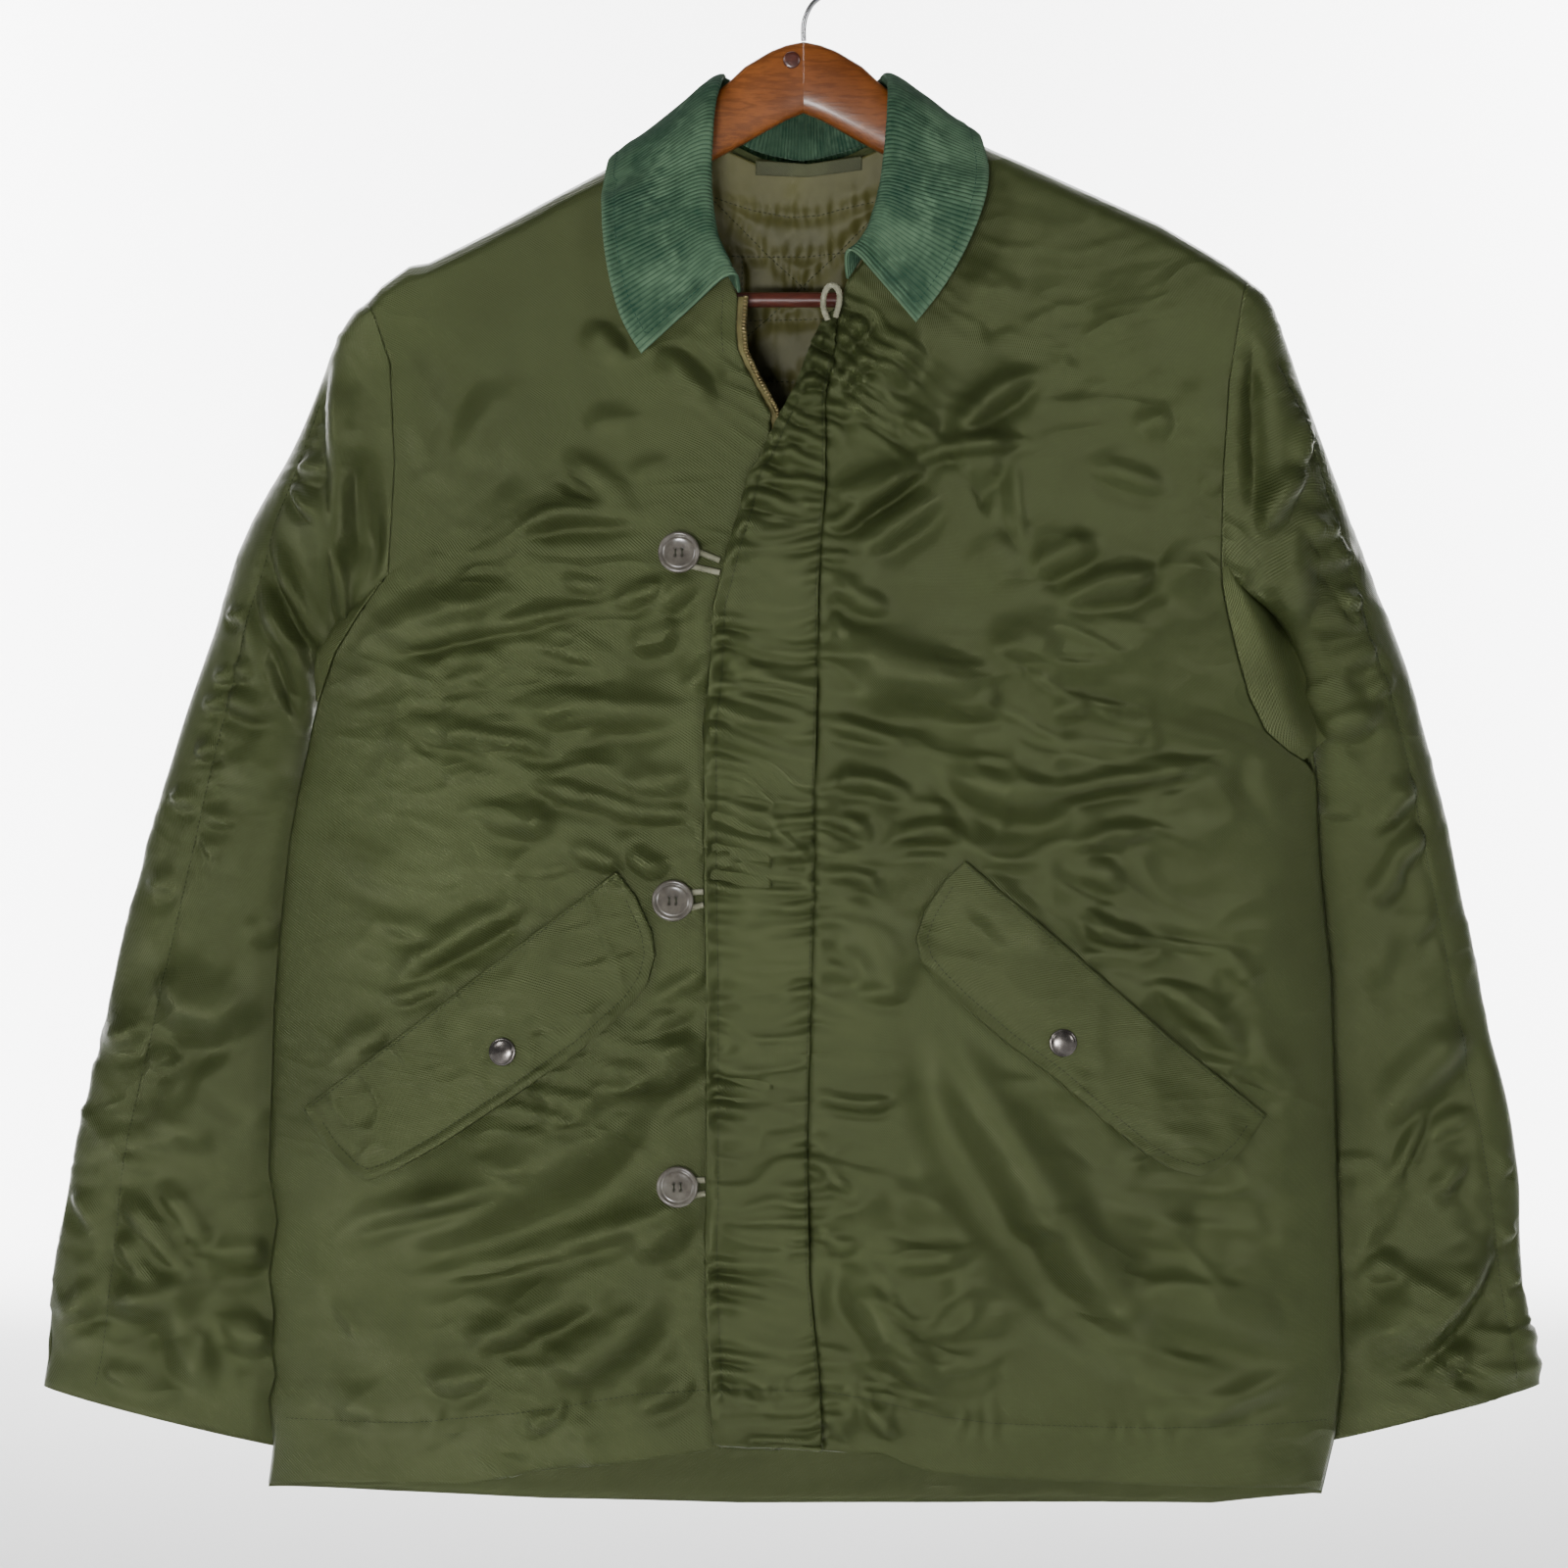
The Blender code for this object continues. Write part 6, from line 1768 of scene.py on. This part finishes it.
@dataclass
class Fastenings:
    """Buttons, cord loops and snaps."""

    button_r: float = 12.0
    button_t: float = 4.2
    shank_h: float = 5.2
    shank_r: float = 2.8
    snap_r: float = 8.0
    snap_t: float = 3.0
    cord_r: float = 1.85

    def button(self, label: str, x: float, z: float, surface: BVHTree) -> list[bpy.types.Object]:
        """Build a four-hole button with a turned rim, and its thread.

        Args:
            label: Which button.
            x: Place across.
            z: Place up.
            surface: Tree of the front.

        Returns:
            The button and its thread.
        """
        place, normal = hit(surface, x, z)
        low, top, r = self.shank_h, self.shank_h + self.button_t, self.button_r
        profile = [(self.shank_r, 0.3), (self.shank_r, low - 0.3), (self.shank_r + 0.5, low),
                   (r - 3.2, low), (r - 1.2, low + 0.6), (r - 0.3, low + 1.5), (r, low + 2.4),
                   (r - 0.15, top - 0.9), (r - 0.6, top - 0.25), (r - 1.2, top),
                   (r - 1.9, top - 0.2),
                   (r - 2.5, top - 0.9), (r - 2.9, top - 1.0), (r - 3.4, top - 0.75),
                   (r - 4.0, top - 0.7), (r - 4.6, top - 0.9), (4.6, top - 1.15), (2.0, top - 1.25),
                   (0.3, top - 1.25)]
        made = lathe("shell_button_" + label, profile, place, normal, 56)
        n = Vector(normal).normalized()
        side = n.cross(Vector((0.0, 0.0, 1.0))).normalized()
        up = side.cross(n)
        spots = [Vector(place) + (side * sx + up * sz) * 1.95
                 for sx, sz in ((1, 1), (1, -1), (-1, -1), (-1, 1))]
        for spot in spots:
            cutter = lathe("hole", [(1.15, low + 1.0), (1.15, top + 2.0)], spot, normal, 20)
            holes = made.modifiers.new("hole", "BOOLEAN")
            holes.operation = "DIFFERENCE"
            holes.solver = "EXACT"
            holes.object = cutter
            bpy.context.view_layer.update()
            made_plain(made)
            bpy.data.objects.remove(cutter, do_unlink=True)
        sharpen(made, 40.0)
        paths = [np.array([tuple(spots[a] + n * (low + 1.1)), tuple(spots[a] + n * (top - 0.95)),
                           tuple((spots[a] + spots[b]) / 2 + n * (top - 0.75)),
                           tuple(spots[b] + n * (top - 0.95)), tuple(spots[b] + n * (low + 1.1))])
                 for a, b in ((0, 1), (2, 3))]
        threads = [sweep(f"thread_button_{label}_{i}", curve_points(path, 14), 0.24, 8)
                   for i, path in enumerate(paths)]
        for thread in threads:
            dress(thread, THREAD, label="sewing thread")
        return [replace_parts(dress(made, BUTTON), "button_" + label), *threads]

    def loop(self, label: str, row: tuple[float, ...], surface: BVHTree) -> bpy.types.Object:
        """Build the braided loop that holds a button's shank.

        Args:
            label: Which button.
            row: x, z and the loop ends' heights.
            surface: Tree of the front.

        Returns:
            The loop.
        """
        x, z, high, low = row
        end_x = min(float(by_z(FLAP_FREE, high + 2.0)), float(by_z(FLAP_FREE, low - 2.0))) - 0.4
        reach = self.shank_r + self.cord_r + 0.5
        aim = math.atan2((high + low) / 2 - z, end_x - x)
        start, stop = np.array([end_x, high]), np.array([end_x, low])
        bend = [np.array([x + reach * math.cos(a), z + reach * math.sin(a)])
                for a in np.linspace(aim + 0.45 * math.pi, aim + 1.55 * math.pi, 9)]
        flat = [start + (bend[0] - start) * t for t in (0.0, 0.3, 0.65)] + bend
        flat += [stop + (bend[-1] - stop) * t for t in (0.65, 0.3, 0.0)]
        place, normal = hit(surface, x, z)
        far = min(hit(surface, end_x - 1.0 + d, (high + low) / 2 + e)[0][1]
                  for d in (-3.5, 0.0, 3.5) for e in (-3.5, 0.0, 3.5))
        path = []
        for px, pz in flat:
            share = min(max((px - x - 3.0) / (end_x - x - 3.0), 0.0), 1.0)
            near = place[1] - ((px - x) * normal[0] + (pz - z) * normal[2]) / normal[1]
            path.append((px, near + (far - near) * share - self.cord_r - 0.4, pz))
        made = sweep("braid_loop_" + label, curve_points(path, 130), self.cord_r, 24, 0.45, 3.6)
        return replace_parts(dress(made, BRAID), "button_loop_" + label)

    def neck_loop(self, surface: BVHTree) -> bpy.types.Object:
        """Build the small cord loop at the top of the storm flap."""
        flat = [(13.6, -231.0), (11.2, -224.0), (11.4, -217.0), (13.8, -212.0), (17.2, -211.2),
                (19.9, -214.5), (20.2, -220.5), (18.0, -229.5)]
        depth = min(hit(surface, 13.6, -230.0)[0][1], hit(surface, 18.0, -228.5)[0][1])
        path = [(x, depth - self.cord_r - 0.2, z) for x, z in flat]
        made = sweep("braid_neck_loop", curve_points(path, 150), self.cord_r, 24, 0.45, 3.6)
        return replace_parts(dress(made, BRAID, label="pale braid"), "neck_loop")

    def snap(self, side: int, x: float, z: float, surface: BVHTree) -> bpy.types.Object:
        """Build a domed snap cap with its rolled rim."""
        place, normal = hit(surface, x, z)
        r, t = self.snap_r, self.snap_t
        dome = [(r * 0.86 * math.cos(a), t * (0.62 + 0.5 * math.sin(a)))
                for a in np.linspace(0.1, 1.5, 12)]
        profile = [(r - 0.8, 0.2), (r - 0.1, 0.5), (r, 1.0), (r - 0.2, 1.5), (r - 0.8, 1.75),
                   (r - 1.2, 1.7), *dome, (0.1, t * 1.12)]
        made = lathe("cap_snap_" + SIDE_NAMES[side], profile, place, normal, 56)
        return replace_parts(dress(made, GUNMETAL), "snap_" + SIDE_NAMES[side])


def sharpen(thing: bpy.types.Object, degrees: float) -> None:
    """Keep a mesh's edges sharp where its faces turn by more than an angle."""
    work = bmesh.new()
    work.from_mesh(thing.data)
    limit = math.radians(degrees)
    for edge in work.edges:
        edge.smooth = not (len(edge.link_faces) == 2 and edge.calc_face_angle(0.0) > limit)
    work.to_mesh(thing.data)
    work.free()


@dataclass
class Inside:
    """What shows inside the neck: quilted lining, strap, zip tape and teeth.

    Attributes:
        form: Depth of the body.
        wall: Thickness of the quilted lining.
    """

    form: BodyForm
    wall: float = 2.0

    def lining(self) -> bpy.types.Object:
        """Build the quilted lining behind the neck, laid on the back."""
        us, vs = np.linspace(0.0, 1.0, 110), np.linspace(0.0, 1.0, 120)
        neck = [(-60, -121), (-42, -128), (-25, -135.5), (0, -140), (25, -134.5), (42, -127),
                (60, -119)]
        flat = coons([(-84, -300), (-72, -200), (-60, -121)], [(84, -300), (72, -200), (60, -119)],
                     [(-84, -300), (84, -300)], neck, us, vs)
        x, z = flat[..., 0], flat[..., 1]
        y = self.form.body_y(x, z, 2) - 0.8 - 0.9 - self.wall / 2 - 3.4
        off = np.full(flat.shape[:2], 1e9)
        for row in LINING_ROWS:
            path = along(row, np.linspace(0.0, 1.0, 60))
            for point in path:
                off = np.minimum(off, np.hypot(x - point[0], z - point[1]))
        puff = 2.8 * (1 - np.exp(-(off / 5.0) ** 2))
        puff = puff + 0.9 * lattice_noise(x * 1.4, z, 9.0, 711) + 0.8 * np.sin(
            x * 0.9 + 3 * lattice_noise(x, z, 20.0, 712)) * np.exp(-off / 5.0)
        thing = shell("cloth_lining", with_depth(flat, y), self.wall, rise=puff)
        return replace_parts(dress(thing, LINING), "back_lining")

    def strap(self) -> bpy.types.Object:
        """Build the hanger strap at the back neck."""
        flat = coons([(-28, -141), (-28, -132.5)], [(34, -138), (34, -130.0)],
                     [(-28, -141), (3, -142), (34, -138)],
                     [(-28, -132.5), (3, -134.5), (34, -130.0)],
                     np.linspace(0.0, 1.0, 60), np.linspace(0.0, 1.0, 10))
        x, z = flat[..., 0], flat[..., 1]
        y = self.form.body_y(x, z, 2) - 10.2 - 0.5 * np.sin(np.pi * (x + 28) / 62)
        thing = shell("tape_strap", with_depth(flat, y), 1.0)
        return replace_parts(dress(thing, STRAP, label="olive tape"), "neck_strap")

    def zip_tape(self) -> tuple[bpy.types.Object, np.ndarray]:
        """Build the zip tape and return it with the path of its teeth."""
        inner = [(x - 4.0, z) for x, z in FRONT_EDGE[1:]]
        outer = [(x + 6.0, z) for x, z in FRONT_EDGE[1:]]
        flat = coons(inner, outer, [inner[0], outer[0]], [inner[-1], outer[-1]],
                     np.linspace(0.0, 1.0, 8), np.linspace(0.0, 1.0, 160))
        y = self.form.right_front_y(flat[..., 0], flat[..., 1]) + 2.7
        grid = with_depth(flat, y)
        thing = shell("tape_zip", grid, 1.0)
        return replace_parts(dress(thing, TAPE), "zip_tape"), grid[-2] + np.array([0.0, -0.9, 0.0])


@dataclass
class Gusset:
    """Ribbed underarm gusset between a front's edge and the back's edge."""

    form: BodyForm
    side: int
    front_line: Points
    back_line: Points
    wall: float = 1.6

    def build(self) -> bpy.types.Object:
        """Build the gusset."""
        sign, follow = (1.0, 1.0) if self.side else (-1.0, 0.0)
        us, vs = np.linspace(0.0, 1.0, 34), np.linspace(0.02, 1.0, 76)
        a, b = along(self.front_line, vs), along(self.back_line, vs)
        a = a + follow * np.array([0.5, 0.4])
        b = b + follow * np.array([10.0, 0.0])
        flat = (1 - us)[:, None, None] * a[None] + us[:, None, None] * b[None]
        base = follow * flat + (1 - follow) * a[None]
        near = self.form.front_y(base[..., 0], base[..., 1]) + 1.4 - 0.9 * follow
        far = self.form.back_y(b[:, 0] - 10.0 * follow, b[:, 1]) - 1.4
        turn = (follow * smooth((us - 0.3) / 0.7) + (1 - follow) * us)[:, None]
        swell = np.sin(np.pi * us)[:, None] * ((12.0, 5.0)[self.side] * np.sin(np.pi * vs))[None]
        flat[..., 0] += sign * (swell + 0.9 - 0.9 * follow)
        grid = with_depth(flat, (1 - turn) * near + turn * far[None])
        ribs = 0.5 * np.abs(np.sin(np.pi * (flat[..., 1] + 0.35 * flat[..., 0]) / 3.6))
        pinch = np.exp(-((flat[..., 0] - 278.0) / 7.0) ** 2 - ((flat[..., 1] + 400.0) / 16.0) ** 2)
        grid[..., 1] += self.side * (5.0 * pinch - ribs) * smooth(us * 6)[:, None]
        if self.side == 0:
            grid = grid[::-1]
        thing = shell("cloth_gusset_" + SIDE_NAMES[self.side], grid[::-1], self.wall)
        dress(thing, RIBBED, RIBBED, label="ribbed nylon")
        thing.data.materials[1] = thing.data.materials[0]
        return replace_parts(thing, "gusset_" + SIDE_NAMES[self.side])


@dataclass
class Hanger:
    """Wooden hanger: two arms, a round plug, a bar and a wire hook."""

    form: BodyForm
    bar_r: float = 4.4
    bar_half: float = 196.5
    bar_z: float = -216.0
    bar_y: float = -16.0
    hook_r: float = 1.6
    loop_r: float = 21.0
    loop_z: float = -19.4
    top: float = -64.5

    def arm(self, side: int) -> bpy.types.Object:
        """Build one contoured arm with rounded edges."""
        sign = 1.0 if side else -1.0
        count = 48
        rows = np.array(HANGER_ARM, dtype=float)
        verts, xs = [], np.concatenate([np.linspace(0.03, 60.0, 24), np.linspace(62.0, 205.0, 50),
                                        [208, 211, 213, 215, 216, 217, 217.6, 218]])
        for x in xs:
            top, low, depth = (float(np.interp(x, rows[:, 0], rows[:, k])) for k in (1, 2, 3))
            if 60.0 <= x <= 205.0:
                top, low = (float(self.form.arm_top(np.array(sign * x))),
                            low + float(self.form.arm_top(np.array(sign * x))) - top)
            mid, half = (top + low) / 2, (top - low) / 2
            for k in range(count):
                a = 2 * math.pi * k / count
                c, s = math.cos(a), math.sin(a)
                y = depth * math.copysign(abs(c) ** 0.62, c) + float(self.form.ridge_y(x))
                verts.append((sign * x, y, mid + half * math.copysign(abs(s) ** 0.72, s)))
        made = tube_mesh("wood_arm_" + SIDE_NAMES[side], np.array(verts), len(xs), count)
        sharpen(made, 50.0)
        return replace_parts(dress(made, WOOD), "hanger_arm_" + SIDE_NAMES[side])

    def bar(self) -> bpy.types.Object:
        """Build the trouser bar with its eased ends."""
        h, r = self.bar_half, self.bar_r
        profile = [(r - 0.5, -h), (r, -h + 0.6), *[(r, s) for s in np.linspace(-h + 4, h - 4, 30)],
                   (r, h - 0.6), (r - 0.5, h)]
        made = lathe("wood_bar", profile, np.array((0.0, self.bar_y, self.bar_z)), (1, 0, 0), 32)
        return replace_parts(dress(made, RED_WOOD), "hanger_bar")

    def plug(self) -> bpy.types.Object:
        """Build the round wood plug."""
        profile = [(4.9, 0.3), (4.9, 0.8), (4.6, 1.05), (3.0, 1.15), (0.2, 1.15)]
        made = lathe("wood_plug", profile, np.array((-7.0, -6.5, -76.0)), (0, -1, 0), 32)
        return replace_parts(dress(made, RED_WOOD, label="dark plug"), "hanger_plug")

    def hook(self) -> bpy.types.Object:
        """Build the wire hook."""
        points = [(0, 0, self.top + 0.5), (0, 0, -56), (1.2, 0, -50), (5.0, 0, -42.6)]
        for a in range(-53, 206, 23):
            r = math.radians(a)
            points.append((self.loop_r * math.cos(r), 0, self.loop_z + self.loop_r * math.sin(r)))
        made = sweep("wire_hook", curve_points(points, 160), self.hook_r, 20)
        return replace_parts(dress(made, STEEL), "hook")


# Studio


@dataclass
class Studio:
    """Pale floor and backdrop, soft lights and the photograph's camera."""

    distance: float = 3.0
    centre: tuple[float, float] = (-0.0114, -0.4961)
    span: float = 0.912

    def backdrop(self) -> None:
        """Build the pale floor that curves up into a wall."""
        profile = [(-9.0, -1.06), (3.4, -1.06)]
        profile += [(3.4 + 1.0 * math.sin(a), -0.06 - 1.0 * math.cos(a))
                    for a in np.linspace(0.1, math.pi / 2, 16)]
        profile += [(4.4, 6.0)]
        verts = [(x, y, z) for y, z in profile for x in (-7.0, 7.0)]
        faces = [(2 * i, 2 * i + 1, 2 * i + 3, 2 * i + 2) for i in range(len(profile) - 1)]
        floor = add_mesh("studio_floor", np.array(verts), faces, 1.0)
        pale = bpy.data.materials.new("pale floor")
        pale.use_nodes = True
        shader = pale.node_tree.nodes["Principled BSDF"]
        shader.inputs["Base Color"].default_value = (0.90, 0.90, 0.90, 1.0)
        shader.inputs["Roughness"].default_value = 0.9
        floor.data.materials.append(pale)

    def light(self, name: str, place: Sequence[float], aim: Sequence[float], size: float,
              tall: float, watts: float) -> None:
        """Set one soft area light.

        Args:
            name: Light name.
            place: Where it stands.
            aim: Where it points.
            size: Width.
            tall: Height.
            watts: Power.
        """
        data = bpy.data.lights.new(name, "AREA")
        data.shape = "RECTANGLE"
        data.size, data.size_y, data.energy = size, tall, watts
        lamp = bpy.data.objects.new(name, data)
        bpy.context.scene.collection.objects.link(lamp)
        lamp.location = place
        turn = (Vector(aim) - Vector(place)).to_track_quat("-Z", "Y")
        lamp.rotation_euler = turn.to_euler()

    def lights(self) -> None:
        """Set the lights and the pale surround."""
        aim = (0.0, 0.0, -0.5)
        self.light("front_panel", (-0.55, -3.3, -0.95), (0.0, 0.0, -0.62), 0.7, 0.45, 86.0)
        self.light("right_panel", (1.9, -2.4, 0.1), aim, 0.4, 0.8, 14.0)
        self.light("left_panel", (-1.7, -1.9, 0.5), aim, 0.4, 0.8, 15.0)
        self.light("wall_left", (-2.2, 2.9, 0.4), (-2.0, 5.0, -0.4), 1.6, 2.4, 300.0)
        self.light("wall_right", (2.2, 2.9, 0.4), (2.0, 5.0, -0.4), 1.6, 2.4, 300.0)
        self.light("floor_panel", (0.0, 2.0, 2.6), (0.0, 4.4, 0.4), 3.2, 1.2, 430.0)
        world = bpy.data.worlds.new("pale surround")
        world.use_nodes = True
        ground = world.node_tree.nodes["Background"]
        ground.inputs["Color"].default_value = (1.0, 1.0, 1.0, 1.0)
        ground.inputs["Strength"].default_value = 0.14
        bpy.context.scene.world = world

    def camera(self) -> None:
        """Set the camera at the photograph's angle."""
        data = bpy.data.cameras.new("camera")
        data.sensor_width = 36.0
        data.lens = 36.0 * self.distance / self.span
        data.dof.use_dof = False
        cam = bpy.data.objects.new("camera", data)
        bpy.context.scene.collection.objects.link(cam)
        cam.location = (self.centre[0], -self.distance, self.centre[1])
        cam.rotation_euler = (math.pi / 2, 0.0, 0.0)
        bpy.context.scene.camera = cam

    def set_up(self) -> None:
        """Build the whole studio."""
        self.camera()
        self.backdrop()
        self.lights()


class Jacket:
    """The whole jacket on its hanger."""

    def __init__(self) -> None:
        """Start with the body's form and no pieces."""
        self.form = BodyForm()
        self.pieces: list[bpy.types.Object] = []

    def keep(self, *things: bpy.types.Object) -> bpy.types.Object:
        """Let pieces ride on the part's body and report them.

        Args:
            things: Pieces that are finished.

        Returns:
            The first piece.
        """
        for thing in things:
            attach(thing, "root")
            self.pieces.append(thing)
            LOG.info("%s: %d faces", thing.name, len(thing.data.polygons))
        return things[0]

    def build_cloth(self) -> None:
        """Build the panels, sleeves, collar and pocket flaps."""
        panels = BodyPanels(self.form)
        self.right = self.keep(panels.right_front())
        self.left = self.keep(panels.left_front())
        self.back = self.keep(panels.back())
        self.flap = self.keep(panels.storm_flap())
        edges = panels.edges
        self.sleeves = [
            self.keep(Sleeve(0, SLEEVE_RIGHT, -377.0).build(edges[0], edges[2], self.form)),
            self.keep(Sleeve(1, SLEEVE_LEFT, -372.0).build(edges[1], edges[3], self.form))]
        self.gussets = [
            self.keep(Gusset(self.form, 0, UNDERARM_LEFT[1:], UNDERARM_LEFT[1:]).build()),
            self.keep(Gusset(self.form, 1, UNDERARM_FRONT[1:], UNDERARM_BACK[1:]).build())]
        self.collar_parts = Collar(self.form)
        self.collar = self.keep(self.collar_parts.build())
        self.pockets = [PocketFlap(self.form, 0, POCKET_RIGHT),
                        PocketFlap(self.form, 1, POCKET_LEFT)]
        self.pocket_flaps = [self.keep(pocket.build()) for pocket in self.pockets]

    def build_small_parts(self) -> None:
        """Build the buttons, loops, snaps and what shows in the neck."""
        fasten = Fastenings()
        under, cover = surface_of(self.right), surface_of(self.flap)
        for label, row in zip(BUTTON_NAMES, BUTTONS):
            self.keep(*fasten.button(label, row[0], row[1], under))
            self.keep(fasten.loop(label, row, under))
        self.neck_loop = self.keep(fasten.neck_loop(cover))
        for side, (x, z) in enumerate(SNAPS):
            self.keep(fasten.snap(side, x, z, surface_of(self.pocket_flaps[side])))
        inside = Inside(self.form)
        self.lining = self.keep(inside.lining())
        self.strap = self.keep(inside.strap())
        self.zip, teeth = inside.zip_tape()
        self.keep(self.zip)
        row = PathRow("zip_teeth", Repeat.TOOTH, 2.1, (1.2, 1.5, 2.6), TEETH, "brass teeth",
                      [teeth])
        self.teeth = self.keep(row.build())

    def build_stitches(self) -> None:
        """Sew every visible row of stitches."""
        right, left, flap = surface_of(self.right), surface_of(self.left), surface_of(self.flap)
        sewn = PathRow("stitches", Repeat.STITCH, 3.1, (2.5, 0.75, 0.55), THREAD, "sewing thread")
        free = [(x + 7.0, z) for x, z in FLAP_FREE[1:-3]]
        seam = [(x - 2.4, z) for x, z in FLAP_SEAM[1:-2]]
        sewn.paths += [laid_path(flap, free), laid_path(flap, seam)]
        edge = [(x - 8.5, z) for x, z in FRONT_EDGE[8:]]
        hem = np.array(HEM_STITCH, dtype=float)
        sewn.paths.append(laid_path(right, edge))
        quilt = surface_of(self.lining)
        sewn.paths += [laid_path(quilt, row) for row in LINING_ROWS]
        for surface, low, high in ((right, -299.0, -58.0), (flap, -54.0, 3.0), (left, 9.0, 302.0)):
            xs = np.linspace(low, high, 90)
            sewn.paths.append(laid_path(surface, np.stack(
                [xs, np.interp(xs, hem[:, 0], hem[:, 1])], axis=1)))
        for sleeve, line in zip(self.sleeves, (SLEEVE_SEAM_RIGHT, SLEEVE_SEAM_LEFT)):
            sewn.paths.append(laid_path(surface_of(sleeve), line))
        for flap_thing, pocket in zip(self.pocket_flaps, self.pockets):
            tree = surface_of(flap_thing)
            sewn.paths += [laid_path(tree, line) for line in pocket.stitch_lines()]
        self.keep(sewn.build())
        row = PathRow("collar_stitches", Repeat.STITCH, 2.9, (2.3, 0.8, 0.6), COLLAR_THREAD,
                      "collar thread", [self.collar_parts.stitch_line(self.collar)])
        self.keep(row.build())

    def build_hanger(self) -> None:
        """Build the hanger."""
        hanger = Hanger(self.form)
        self.arms = [self.keep(hanger.arm(0)), self.keep(hanger.arm(1))]
        self.keep(hanger.bar())
        self.keep(hanger.plug())
        self.keep(hanger.hook())


def main() -> None:
    """Build the studio and the jacket, and log each piece's face count."""
    logging.basicConfig(level=logging.INFO, format="%(name)s: %(message)s")
    Studio().set_up()
    jacket = Jacket()
    jacket.build_cloth()
    jacket.build_small_parts()
    jacket.build_stitches()
    jacket.build_hanger()


if __name__ == "__main__":
    main()
